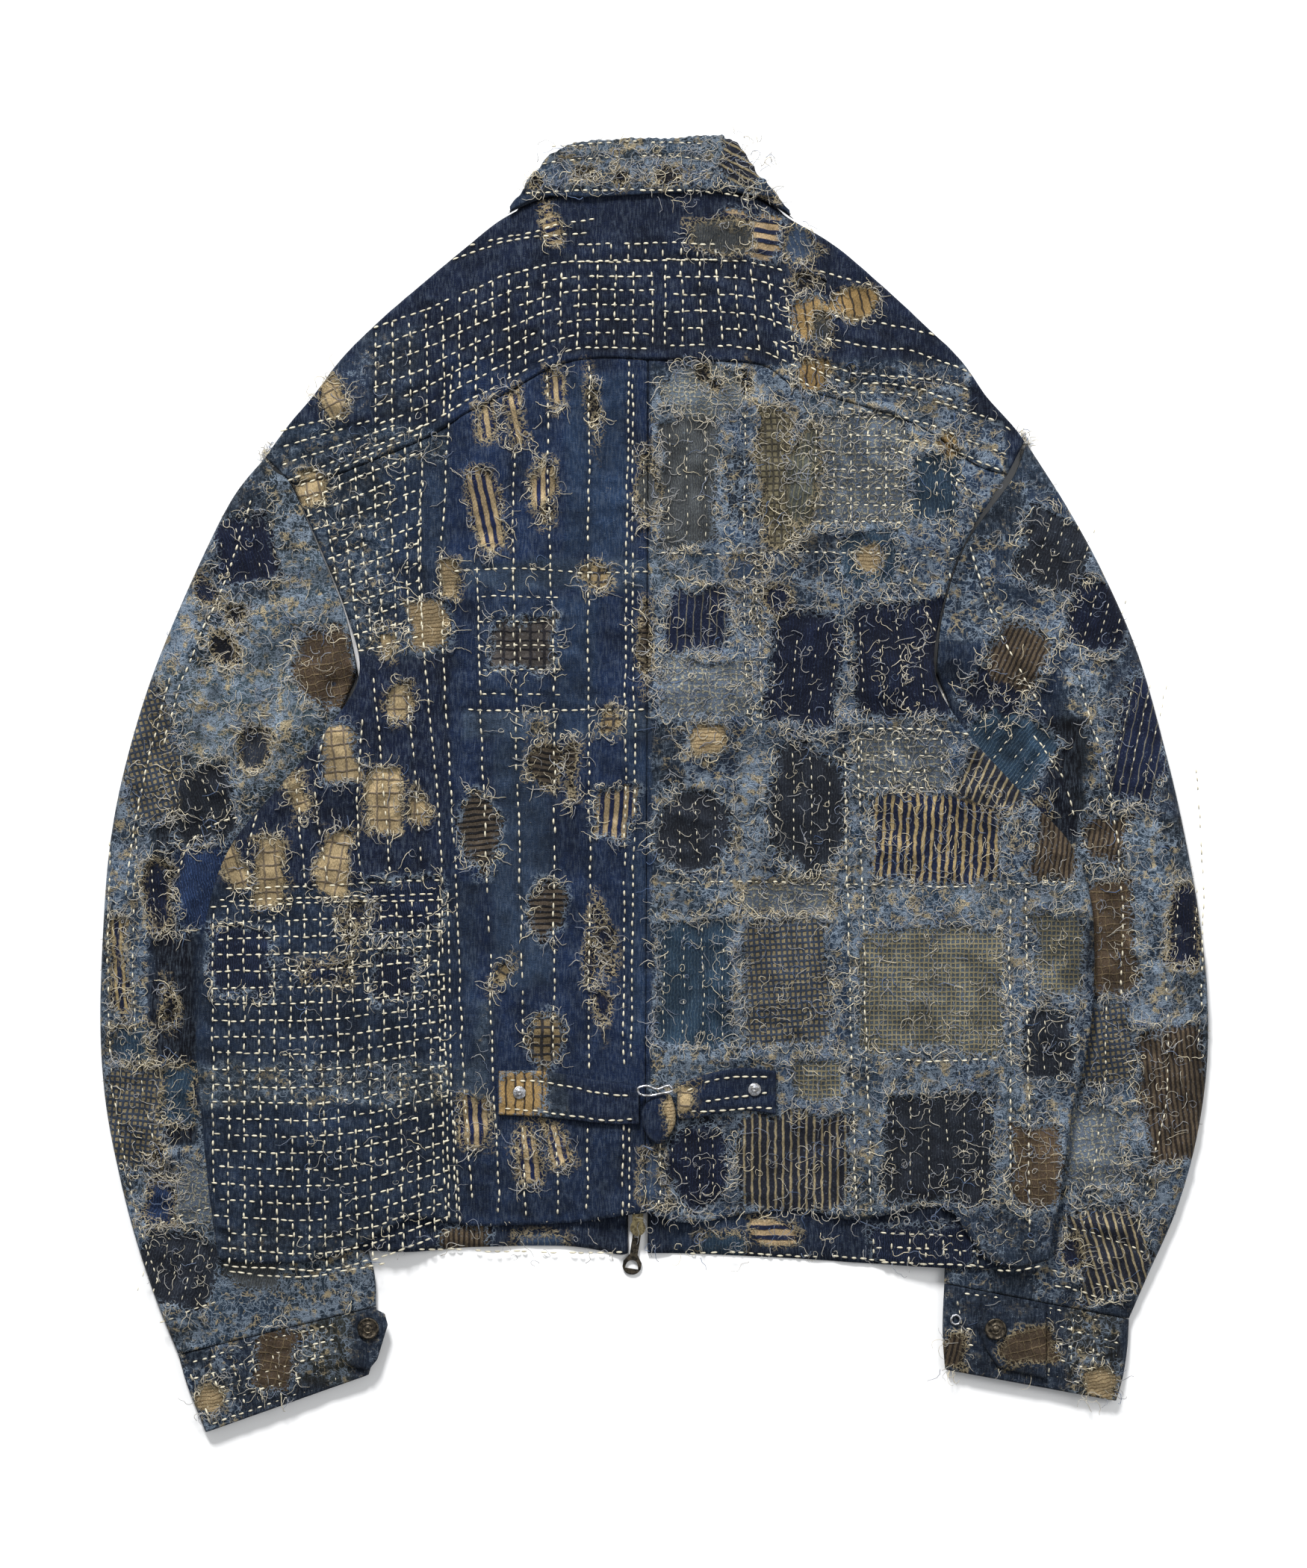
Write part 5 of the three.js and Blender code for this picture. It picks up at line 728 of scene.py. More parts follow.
# ---------------------------------------------------------------- stitch lines, on the chart
# group, kind, points; kinds: b bold running stitch, f fine dashes, s small stitches
LINES = [
    ("body", "b", [(629, 331), (700, 315), (759, 300), (818, 292), (877, 290), (988, 290)]),
    ("body", "b", [(600, 352), (660, 330), (720, 318), (790, 312)]),
    ("body", "b", [(374, 579), (459, 557)]), ("body", "b", [(376, 600), (459, 576), (520, 556)]),
    ("body", "b", [(378, 624), (470, 592), (540, 566)]), ("body", "b", [(378, 648), (485, 605), (574, 568)]),
    ("body", "b", [(1088, 363), (1177, 387)]), ("body", "b", [(1107, 424), (1188, 435), (1240, 446), (1258, 457)]),
    ("body", "b", [(1092, 450), (1151, 464), (1221, 472), (1299, 501)]),
    ("body", "b", [(1033, 457), (1110, 492), (1184, 505), (1258, 511), (1307, 529)]),
    ("body", "b", [(1048, 494), (1107, 524), (1203, 529), (1258, 542), (1329, 564), (1358, 581)]),
    ("body", "b", [(1114, 546), (1203, 559), (1258, 575), (1314, 598), (1355, 614)]),
    ("body", "b", [(1060, 480), (1130, 512), (1210, 518), (1300, 545)]),
    ("body", "b", [(1180, 586), (1260, 600), (1340, 632)]),
    ("body", "b", [(606, 480), (592, 760), (600, 984), (612, 1200), (620, 1420), (634, 1628)]),
    ("body", "b", [(640, 760), (645, 984), (654, 1200), (660, 1420), (669, 1628)]),
    ("body", "b", [(690, 600), (687, 760), (692, 984), (697, 1200), (701, 1400)]),
    ("body", "b", [(732, 500), (738, 760), (742, 984), (742, 1200), (740, 1430)]),
    ("body", "b", [(790, 480), (788, 760), (788, 984), (790, 1200), (786, 1628)]),
    ("body", "b", [(842, 480), (838, 760), (838, 984), (836, 1200), (833, 1628)]),
    ("body", "b", [(700, 1500), (704, 1628)]), ("body", "b", [(744, 1500), (748, 1628)]),
    ("body", "b", [(608, 765), (700, 762), (790, 768), (870, 765)]),
    ("body", "b", [(620, 950), (740, 952), (870, 950)]),
    ("body", "b", [(600, 1190), (604, 1400), (612, 1640)]), ("body", "b", [(588, 1190), (590, 1400), (598, 1640)]),
    ("body", "b", [(566, 640), (562, 760), (570, 900), (586, 1060), (592, 1190)]),
    ("body", "b", [(545, 900), (556, 1040), (566, 1190)]), ("body", "b", [(500, 900), (510, 1000), (524, 1180)]),
    ("body", "b", [(420, 960), (400, 1060), (412, 1190)]), ("body", "b", [(486, 960), (480, 1080), (486, 1186)]),
    ("body", "b", [(380, 1010), (340, 1110), (334, 1186)]),
    ("body", "b", [(456, 900), (440, 960), (424, 1060), (440, 1180)]),
    ("body", "b", [(300, 1190), (420, 1186), (600, 1178)]), ("body", "b", [(290, 1206), (420, 1202), (590, 1196)]),
    ("body", "b", [(848, 500), (846, 760), (850, 1000), (846, 1300), (842, 1620)]),
    ("body", "s", [(876, 740), (960, 742), (1130, 740), (1290, 748)]),
    ("body", "s", [(1000, 500), (996, 700), (1000, 980)]),
    ("body", "b", [(1130, 982), (1134, 1180), (1140, 1400), (1146, 1630)]),
    ("body", "b", [(1148, 982), (1154, 1180), (1160, 1400), (1166, 1630)]),
    ("body", "b", [(1352, 1180), (1350, 1300), (1352, 1450), (1350, 1640)]),
    ("body", "b", [(1372, 1180), (1372, 1300), (1376, 1460), (1376, 1660)]),
    ("body", "s", [(880, 1182), (1000, 1180), (1200, 1186), (1350, 1184), (1450, 1180)]),
    ("body", "b", [(1150, 976), (1220, 976), (1300, 984)]), ("body", "b", [(1290, 1690), (1350, 1700), (1400, 1692)]),
    ("body", "b", [(1190, 600), (1280, 640), (1310, 700)]),
    ("body", "s", [(1210, 760), (1250, 840), (1300, 930), (1330, 990)]),
    ("body", "s", [(1280, 640), (1270, 760), (1290, 860)]), ("body", "s", [(1010, 745), (1016, 860), (1020, 980)]),
    ("body", "b", [(1190, 1416), (1260, 1420), (1340, 1414)]), ("body", "b", [(880, 1480), (884, 1560), (880, 1620)]),
    ("body", "b", [(300, 1700), (400, 1708), (520, 1690)]), ("body", "b", [(610, 1500), (616, 1640)]),
    ("sleeve", "b", [(340, 660), (310, 760), (250, 900), (220, 1000)]),
    ("sleeve", "b", [(230, 900), (190, 1060), (170, 1200)]),
    ("sleeve", "b", [(330, 1090), (262, 1120), (236, 1180)]),
    ("sleeve", "s", [(150, 1120), (146, 1300), (150, 1440)]),
    ("sleeve", "s", [(184, 1120), (180, 1300), (190, 1440), (214, 1560)]),
    ("sleeve", "s", [(150, 1450), (176, 1590), (214, 1720)]),
    ("sleeve", "s", [(200, 1640), (300, 1612), (400, 1600)]),
    ("sleeve", "s", [(216, 1770), (330, 1730), (450, 1716)]),
    ("sleeve", "b", [(1290, 700), (1330, 830), (1400, 960)]),
    ("sleeve", "b", [(1380, 980), (1420, 1040), (1440, 1100)]),
    ("sleeve", "b", [(1440, 900), (1480, 1040), (1500, 1180), (1500, 1340)]),
    ("sleeve", "s", [(1600, 1020), (1610, 1200), (1604, 1400)]),
    ("sleeve", "s", [(1480, 1340), (1476, 1480), (1450, 1640)]),
    ("sleeve", "s", [(1560, 1300), (1558, 1480), (1520, 1640)]),
    ("sleeve", "s", [(1380, 1640), (1460, 1650), (1540, 1680)]),
    ("sleeve", "s", [(1390, 1470), (1380, 1560), (1376, 1640)]),
    ("sleeve", "b", [(1278, 1700), (1380, 1712), (1510, 1750)]),
    ("sleeve", "b", [(1278, 1680), (1370, 1690), (1500, 1728)]),
    ("front", "b", [(560, 1672), (700, 1676), (850, 1676)]),
    ("front", "b", [(900, 1676), (1060, 1680), (1200, 1688)]),
    ("collar", "b", [(694, 262), (780, 258), (876, 257), (960, 260), (1010, 272)]),
    ("collar", "s", [(716, 224), (800, 214), (900, 212), (950, 218)]),
    ("collar", "s", [(740, 200), (840, 192), (940, 194)]),
    ("strap", "b", [(674, 1446), (730, 1448), (800, 1462), (850, 1466)]),
    ("strap", "b", [(674, 1484), (730, 1488), (800, 1498), (850, 1498)]),
    ("strap", "b", [(912, 1462), (960, 1444), (1034, 1440)]),
    ("strap", "b", [(912, 1488), (960, 1486), (1034, 1482)]),
    ("strap", "b", [(936, 1474), (1034, 1462)]),
]

# Rows and columns between two lines: group, kind, upper line, lower line, rows, columns
GRIDS = [
    ("body", "b", [(500, 442), (570, 416), (633, 390), (692, 366), (762, 353), (877, 352)],
     [(500, 600), (576, 568), (626, 538), (680, 511), (744, 476), (801, 466), (877, 468)], 7, 17),
    ("body", "b", [(770, 330), (877, 327), (960, 327)], [(770, 352), (877, 350), (960, 350)], 2, 9),
    ("body", "b", [(888, 349), (1000, 352), (1050, 366)], [(888, 464), (1000, 466), (1066, 492)], 6, 8),
    ("body", "b", [(384, 660), (470, 622), (566, 580)], [(430, 880), (500, 868), (566, 850)], 12, 9),
    ("body", "b", [(284, 1214), (450, 1208), (596, 1204)], [(284, 1690), (450, 1696), (606, 1646)], 23, 16),
    ("body", "s", [(1090, 560), (1210, 560)], [(1090, 700), (1210, 700)], 7, 6),
    ("body", "s", [(1150, 990), (1260, 990)], [(1156, 1056), (1260, 1056)], 4, 6),
    ("body", "s", [(640, 800), (760, 800)], [(640, 930), (760, 930)], 5, 0),
    ("cuff", "b", [(250, 1826), (370, 1790), (452, 1772)], [(282, 1906), (380, 1872), (452, 1850)], 5, 8),
    ("cuff", "b", [(1278, 1730), (1380, 1744), (1500, 1776)], [(1290, 1822), (1380, 1834), (1488, 1862)], 5, 8),
    ("front", "b", [(1168, 1650), (1310, 1654)], [(1168, 1690), (1310, 1694)], 3, 7),
]
STITCH_LENGTH, STITCH_WIDTH = 0.004, 0.00124  # metres, of the kind "b" below
STITCH_KINDS = {"b": (4.0, 2.3, 0.62), "s": (3.3, 2.7, 0.5), "f": (3.0, 3.2, 0.36)}  # length, gap, radius


def stitch_paths():
    """Every stitch line as (group, kind, points in mm): the lines, the grids' rows and columns, and patches' rows."""
    paths = [(group, kind, chart(points)) for group, kind, points in LINES]
    for group, kind, upper, lower, rows, columns in GRIDS:
        top, bottom = spline(chart(upper)), spline(chart(lower))
        steps = np.linspace(0, 1, 24)
        for share in np.linspace(0, 1, rows):
            paths.append((group, kind, top(steps) * (1 - share) + bottom(steps) * share))
        for share in np.linspace(0.01, 0.99, columns) if columns else []:
            ends = top(np.array([share])), bottom(np.array([share]))
            paths.append((group, kind, ends[0] + (ends[1] - ends[0]) * steps[:, None]))
    for group, _, left, right, upper, lower, turn, shape, spacing in PATCHES:
        if not spacing:
            continue
        middle, half = chart([((left + right) / 2, (upper + lower) / 2)])[0], (lower - upper) / 4 * 0.9
        angle = math.radians(turn)
        for place in np.arange(left + spacing / 2, right, spacing):
            offset = (place - (left + right) / 2) / 2
            reach = half * (math.sqrt(max(1 - (2 * offset * 2 / (right - left)) ** 2, 0.05)) if shape == "oval"
                            else 1)
            ends = np.array([(offset, reach), (offset, -reach)])
            turned = ends @ np.array([(math.cos(angle), math.sin(angle)), (-math.sin(angle), math.cos(angle))])
            paths.append((group, "f", middle + turned))
    return paths


PATHS = stitch_paths()


def along_path(points, step, seed):
    """Points about every step mm along a path through the given ones, wandering sideways a little."""
    curve = spline(points) if len(points) > 2 else spline([points[0], (points[0] + points[1]) / 2, points[1]])
    shares = np.linspace(0, 1, max(int(curve.length / step), 2) + 1)
    place = curve(shares)
    place[:, 0] += 0.7 * lumps(place[:, 0], place[:, 1], 15.0, 50 + seed % 7)
    place[:, 1] += 0.7 * lumps(place[:, 0], place[:, 1], 15.0, 60 + seed % 7)
    return place


QUILT_SIZE = 900  # cells of one millimetre


def quilt_field(group):
    """A raster, one cell a millimetre, of exp(-(distance to the nearest stitch line / 2.4)^2)."""
    field = np.zeros((QUILT_SIZE, QUILT_SIZE))
    lines = [along_path(points, 0.8, number) for number, (name, _, points) in enumerate(PATHS) if name == group]
    if not lines:
        return field
    place = np.vstack(lines) + QUILT_SIZE / 2
    cell = np.round(place).astype(int)
    for dx in range(-4, 5):
        for dy in range(-4, 5):
            at = np.clip(cell + (dx, dy), 0, QUILT_SIZE - 1)
            away = np.hypot(*(at - place).T) / 2.4
            np.maximum.at(field, (at[:, 1], at[:, 0]), np.exp(-away * away))
    return field


QUILT = {group: quilt_field(group) for group in ("body", "sleeve", "cuff", "front", "collar", "strap")}


def quilting(group, x, y):
    """The raster read between its cells."""
    u, v = np.clip(x + QUILT_SIZE / 2, 0, QUILT_SIZE - 2), np.clip(y + QUILT_SIZE / 2, 0, QUILT_SIZE - 2)
    i, j = u.astype(int), v.astype(int)
    fu, fv = u - i, v - j
    field = QUILT[group]
    return ((field[j, i] * (1 - fu) + field[j, i + 1] * fu) * (1 - fv)
            + (field[j + 1, i] * (1 - fu) + field[j + 1, i + 1] * fu) * fv)


# ---------------------------------------------------------------- the cloth's relief
def seam_grooves(x, y):
    """A narrow trough along the yoke seam, -0.5 * exp(-(distance / 1.4)^2), with a soft lap beside it."""
    seam = np.array(YOKE_SEAM)
    away = y - np.interp(x, seam[:, 0], seam[:, 1])
    return 0.7 * np.exp(-((away - 3) / 3) ** 2) - 0.5 * np.exp(-(away / 1.4) ** 2)


def relief(group, x, y):
    """How far the outer face stands above the solid's: crumple + creases - quilting - torn places, kept low under
    what lies on it."""
    amount = CRUMPLE.get(group, 0.4)
    crumple = 1.0 * lumps(x, y, 27.0, 1) + 1.0 * lumps(x, y, 13.0, 2) + 0.75 * lumps(x, y, 6.5, 3)
    ridges = 2.0 * (0.4 - np.abs(lumps(x, y, 21.0, 4))) + 1.3 * (0.4 - np.abs(lumps(x + y * 0.4, y, 10.0, 5)))
    height = amount * (crumple + ridges) + fold_height(CREASES.get(group, []), x, y, 0.1)
    if group in QUILT:
        height = height - 1.9 * quilting(group, x, y) * (0.75 + 0.35 * lumps(x, y, 11.0, 6))
    for depth, *_ in patch_layers(group, x, y) if group in ("body", "sleeve", "collar", "cuff") else []:
        height = height - 1.0 * smooth_step(-0.8, 1.6, depth) + 0.8 * np.exp(-((depth + 1.6) / 1.6) ** 2)
    if group == "body":
        height = height + seam_grooves(x, y)
        near_strap = (smooth_step(-114, -106, x) * smooth_step(92, 84, x) * smooth_step(-236, -230, y)
                      * smooth_step(-182, -188, y))
        near_loop = smooth_step(-16, -11, x) * smooth_step(22, 17, x) * smooth_step(-250, -243, y) * smooth_step(-190,
                -200, y)
        lying = np.maximum(np.maximum(near_strap, near_loop), smooth_step(366, 378, y) * (np.abs(x) < 120))
        height = height * (1 - lying) + (0.2 * height - 0.3) * lying
        height = height + 0.5 * smooth_step(9, 3, y - np.interp(x, np.array(HEMS)[:, 0], np.array(HEMS)[:, 1]))
    if group == "sleeve":
        height = height * np.where(y < 84, smooth_step(0, 14, outside_body(x, y)), 1)
    if group == "front":
        height = height * smooth_step(-284, -296, y)
    return np.clip(height, -2.1, 6)


def yoke_side(x, y):
    """True on the yoke, above its seam."""
    seam = np.array(YOKE_SEAM)
    return y > np.interp(x, seam[:, 0], seam[:, 1])


def over_back(x, y):
    """What the cinch lies at: the back's outer face plus a little air."""
    return back_underside(x, y) + CLOTH + STRAP_LIFT


def outer_face(group, x, y):
    """Height of the cloth's outer face, relief and all, at points in plan."""
    if group == "body":
        base = np.where(yoke_side(x, y), yoke_underside(x, y), back_underside(x, y)) + CLOTH
    elif group == "sleeve":
        left = x < 0
        share = np.where(left, sleeve_share(SLEEVE_LEFT, x, y), sleeve_share(SLEEVE_RIGHT, x, y))
        base = sleeve_ceiling(x, y, share) + CLOTH
    elif group == "cuff":
        base = np.full(x.shape, CUFF_CEILING + CLOTH)
    elif group == "collar":
        base = np.full(x.shape, 12.1)
    elif group == "strap":
        base = over_back(x, y) + TRIM_CLOTH
        return base
    else:
        base = front_underside(x, y) + CLOTH
    return base + relief(group, x, y)


# ---------------------------------------------------------------- materials
class Wiring:
    """Adds nodes to a shader tree and joins them; a value may be a socket or a plain number or colour."""

    def __init__(self, tree):
        """Keeps the tree that the nodes go to."""
        self.tree = tree

    def add(self, kind, **settings):
        """A new node with its settings."""
        node = self.tree.nodes.new(kind)
        for key, value in settings.items():
            setattr(node, key, value)
        return node

    def put(self, socket, value):
        """Joins a socket to an input, or sets the input to a constant."""
        if isinstance(value, bpy.types.NodeSocket):
            self.tree.links.new(value, socket)
        else:
            socket.default_value = value

    def math(self, operation, first, second=0.5, clamp=False):
        """One sum of two numbers."""
        node = self.add("ShaderNodeMath", operation=operation, use_clamp=clamp)
        self.put(node.inputs[0], first)
        self.put(node.inputs[1], second)
        return node.outputs[0]

    def vector(self, operation, first, second):
        """One sum of two vectors, or a vector and a scale."""
        node = self.add("ShaderNodeVectorMath", operation=operation)
        self.put(node.inputs[0], first)
        self.put(node.inputs["Scale"] if operation == "SCALE" else node.inputs[1], second)
        return node.outputs[0]

    def noise(self, place, scale, detail=2.0, roughness=0.55):
        """Noise from 0 to 1, in cells of 1 / scale mm."""
        node = self.add("ShaderNodeTexNoise")
        self.put(node.inputs["Vector"], place)
        self.put(node.inputs["Scale"], scale)
        self.put(node.inputs["Detail"], detail)
        self.put(node.inputs["Roughness"], roughness)
        return node.outputs["Fac"]

    def mask(self, value, low, high):
        """0 below low, 1 above high, and a smooth step between."""
        node = self.add("ShaderNodeMapRange", interpolation_type="SMOOTHSTEP")
        self.put(node.inputs["Value"], value)
        self.put(node.inputs["From Min"], low)
        self.put(node.inputs["From Max"], high)
        return node.outputs["Result"]

    def mix(self, share, first, second, kind="MIX"):
        """The first colour turned into the second by a share."""
        node = self.add("ShaderNodeMix", data_type="RGBA", blend_type=kind)
        self.put(node.inputs[0], share)
        self.put(node.inputs[6], first)
        self.put(node.inputs[7], second)
        return node.outputs[2]

    def shade(self, colour, amount):
        """The colour times one number."""
        return self.vector("SCALE", colour, amount)

    def group(self, tree, **values):
        """A node group with its inputs filled."""
        node = self.add("ShaderNodeGroup", node_tree=tree)
        for key, value in values.items():
            self.put(node.inputs[key.replace("_", " ")], value)
        return node

    def attribute(self, name, output):
        """One of the mesh's own attributes."""
        return self.add("ShaderNodeAttribute", attribute_name=name).outputs[output]

    def place(self):
        """Object coordinates in millimetres."""
        return self.vector("SCALE", self.add("ShaderNodeTexCoord").outputs["Object"], 1000.0)


def node_group(name, inputs, outputs, build):
    """A shader node group with named sockets, wired by build(wiring, its inputs)."""
    tree = bpy.data.node_groups.new(name, "ShaderNodeTree")
    kinds = {"v": "NodeSocketVector", "c": "NodeSocketColor", "f": "NodeSocketFloat"}
    for way, sockets in (("INPUT", inputs), ("OUTPUT", outputs)):
        for label, kind in sockets.items():
            tree.interface.new_socket(label, in_out=way, socket_type=kinds[kind])
    wiring = Wiring(tree)
    begin, end = wiring.add("NodeGroupInput"), wiring.add("NodeGroupOutput")
    for label, value in build(wiring, {key: begin.outputs[key] for key in inputs}).items():
        wiring.put(end.inputs[label], value)
    return tree


def looped(w, place, scale, width):
    """Looped threads: the contour lines of a soft noise, where it is within a width of its middle value."""
    away = w.math("ABSOLUTE", w.math("SUBTRACT", w.noise(place, scale, 1.0, 0.4), 0.5))
    return w.math("SUBTRACT", 1.0, w.mask(away, w.math("MULTIPLY", width, 0.45), width))


def worn_weave(w, given):
    """Threads of dye worn through to pale and cream: mottle = blotches + thread streaks + grain, and what is above
    a limit that falls with the wear is bare."""
    place = given["Place"]
    large = w.noise(place, 0.05, 3.0)
    blotch = w.noise(place, 0.3, 4.0, 0.64)
    warp = w.noise(w.vector("MULTIPLY", place, (1.15, 0.14, 0.6)), 1.0, 2.0)
    weft = w.noise(w.vector("MULTIPLY", place, (0.14, 1.15, 0.6)), 1.0, 2.0)
    grain = w.noise(place, 2.1, 2.0)
    threads = w.math("MAXIMUM", warp, weft)
    mottle = w.math("ADD", w.math("MULTIPLY", blotch, 0.5), w.math("MULTIPLY", threads, 0.62))
    mottle = w.math("ADD", mottle, w.math("MULTIPLY", w.math("SUBTRACT", grain, 0.5), 0.42))
    mottle = w.math("ADD", mottle, w.math("MULTIPLY", w.math("SUBTRACT", large, 0.5), 0.55))
    limit = w.math("SUBTRACT", 0.91, w.math("MULTIPLY", given["Wear"], 0.32))
    bare = w.mask(mottle, limit, w.math("ADD", limit, 0.06))
    loops = w.math("MAXIMUM", looped(w, place, 0.15, 0.03),
                   looped(w, w.vector("ADD", place, (90.0, 17.0, 0.0)), 0.24, 0.034))
    loops = w.math("MULTIPLY", loops, w.mask(w.math("ADD", given["Wear"], w.math("MULTIPLY", blotch, 0.5)), 0.72,
                                             0.98))
    tone = w.math("ADD", w.math("MULTIPLY", large, 0.7), w.math("MULTIPLY", blotch, 0.75))
    dyed = w.shade(given["Dye"], w.math("ADD", w.math("MULTIPLY", tone, 1.25), 0.1))
    brushed = w.math("MULTIPLY", w.mask(w.math("ADD", warp, w.math("MULTIPLY", blotch, 0.4)), 0.62, 0.9), 0.4)
    dyed = w.mix(brushed, dyed, w.mix(0.45, given["Dye"], given["Pale"]))
    warm = w.mask(w.noise(w.vector("ADD", place, (310.0, 45.0, 0.0)), 0.13, 3.0), 0.5, 0.62)
    colour = w.mix(w.math("MULTIPLY", bare, 0.92), dyed, w.mix(warm, given["Pale"], given["Cream"]))
    colour = w.shade(colour, w.math("ADD", w.math("MULTIPLY", grain, 0.9), 0.5))
    gap = w.math("MULTIPLY", w.mask(w.noise(place, 0.5, 3.0, 0.6), 0.56, 0.68), given["Wear"])
    colour = w.shade(colour, w.math("SUBTRACT", 1.0, w.math("MULTIPLY", gap, 0.75)))
    colour = w.mix(w.math("MULTIPLY", loops, 0.85), colour, w.mix(warm, given["Pale"], given["Cream"]))
    cells = w.vector("ADD", w.vector("MULTIPLY", place, (0.44, 0.3, 0.0)), w.math("MULTIPLY", large, 5.0))
    chance = w.add("ShaderNodeTexWhiteNoise", noise_dimensions="3D")
    w.put(chance.inputs["Vector"], w.vector("FLOOR", cells, (0.0, 0.0, 0.0)))
    dashes = w.math("MULTIPLY", w.mask(chance.outputs["Value"], 0.56, 0.7),
                    w.mask(w.noise(w.vector("ADD", place, (50.0, 200.0, 0.0)), 0.09, 3.0), 0.44, 0.58))
    dashes = w.math("MULTIPLY", w.math("MULTIPLY", dashes, w.mask(given["Wear"], 0.4, 0.8)),
                    w.mask(blotch, 0.34, 0.52))
    colour = w.mix(w.math("MULTIPLY", dashes, 0.78), colour, w.mix(warm, given["Pale"], given["Cream"]))
    height = w.math("ADD", w.math("MULTIPLY", mottle, 1.0),
                    w.math("ADD", w.math("MULTIPLY", grain, 0.5), w.math("MULTIPLY", dashes, 0.35)))
    height = w.math("SUBTRACT", w.math("ADD", height, w.math("MULTIPLY", loops, 0.5)), w.math("MULTIPLY", gap, 0.4))
    return {"Color": colour, "Height": height}


def torn_patch(w, given):
    """A patch seen through a torn edge: inside its depth, its own ground and lines; just outside, pale threads."""
    place = given["Place"]
    torn = w.noise(place, 0.36, 5.0, 0.7)
    depth = w.math("ADD", given["Depth"], w.math("MULTIPLY", w.math("SUBTRACT", torn, 0.5), 9.0))
    inside = w.mask(depth, -0.3, 0.3)
    hair = w.math("MAXIMUM", looped(w, place, 0.2, 0.045),
                  looped(w, w.vector("ADD", place, (33.0, 71.0, 0.0)), 0.33, 0.05))
    fringe = w.math("MULTIPLY", w.mask(depth, -4.4, -0.8), w.math("MULTIPLY", hair, 0.8))
    across = w.math("MULTIPLY", w.math("SUBTRACT", 1.0, w.mask(depth, 0.6, 5.0)), hair)
    local, rule = w.add("ShaderNodeSeparateXYZ"), w.add("ShaderNodeSeparateXYZ")
    w.put(local.inputs[0], given["Local"])
    w.put(rule.inputs[0], given["Rule"])
    share, broken = local.outputs["Z"], rule.outputs["Z"]
    bend = w.math("MULTIPLY", w.math("SUBTRACT", w.noise(place, 0.12, 2.0), 0.5),
                  w.math("ADD", w.math("MULTIPLY", broken, 5.0), 1.2))

    def lines(along, often):
        phase = w.math("FRACT", w.math("MULTIPLY", w.math("ADD", along, bend), often))
        band = w.math("MULTIPLY", w.math("ABSOLUTE", w.math("SUBTRACT", phase, 0.5)), 2.0)
        on = w.math("SUBTRACT", 1.0, w.mask(band, w.math("SUBTRACT", share, 0.12), w.math("ADD", share, 0.12)))
        return w.math("MULTIPLY", on, w.math("GREATER_THAN", often, 0.001))

    pattern = w.math("ADD", lines(local.outputs["X"], rule.outputs["X"]),
                     lines(local.outputs["Y"], rule.outputs["Y"]), clamp=True)
    fine = w.noise(place, 0.62, 3.0, 0.6)
    gaps = w.mask(fine, w.math("SUBTRACT", w.math("MULTIPLY", broken, 0.55), 0.08),
                  w.math("ADD", w.math("MULTIPLY", broken, 0.55), 0.08))
    pattern = w.math("MULTIPLY", pattern, gaps)
    weave = w.noise(w.vector("MULTIPLY", place, (1.7, 0.5, 0.6)), 1.0, 2.0)
    tone = w.math("ADD", w.math("MULTIPLY", w.noise(place, 0.09, 3.0), 0.9), w.math("MULTIPLY", weave, 1.1))
    cloth = w.shade(w.mix(pattern, given["Ground"], given["Line"]), tone)
    cloth = w.mix(w.math("MULTIPLY", w.mask(fine, 0.6, 0.74), 0.35), cloth, given["Fringe"])
    in_shade = w.math("SUBTRACT", 1.0, w.mask(depth, 0.1, 2.6))
    cloth = w.shade(cloth, w.math("SUBTRACT", 1.0, w.math("MULTIPLY", in_shade, 0.72)))
    cloth = w.mix(w.math("MULTIPLY", across, 0.8), cloth, given["Fringe"])
    under = w.mix(w.math("MULTIPLY", fringe, 0.85), given["Under"], given["Fringe"])
    raised = w.math("ADD", given["Under Height"], w.math("MULTIPLY", fringe, 0.7))
    sunk = w.math("ADD", w.math("ADD", w.math("MULTIPLY", pattern, 0.3), w.math("MULTIPLY", weave, 0.5)),
                  w.math("MULTIPLY", across, 0.5))
    height = w.math("ADD", w.math("MULTIPLY", raised, w.math("SUBTRACT", 1.0, inside)),
                    w.math("MULTIPLY", sunk, inside))
    return {"Color": w.mix(inside, under, cloth), "Height": height}


def new_material(name, roughness=0.9, metallic=0.0):
    """A material with a Principled shader; returns it, its wiring and the shader."""
    material = bpy.data.materials.new(name)
    material.use_nodes = True
    shader = material.node_tree.nodes["Principled BSDF"]
    shader.inputs["Roughness"].default_value = roughness
    shader.inputs["Metallic"].default_value = metallic
    return material, Wiring(material.node_tree), shader


def bump(w, shader, height, distance, strength=1.0):
    """Bumps the shader by a height, over a distance in metres."""
    node = w.add("ShaderNodeBump")
    node.inputs["Strength"].default_value = strength
    node.inputs["Distance"].default_value = distance
    w.put(node.inputs["Height"], height)
    w.put(shader.inputs["Normal"], node.outputs["Normal"])


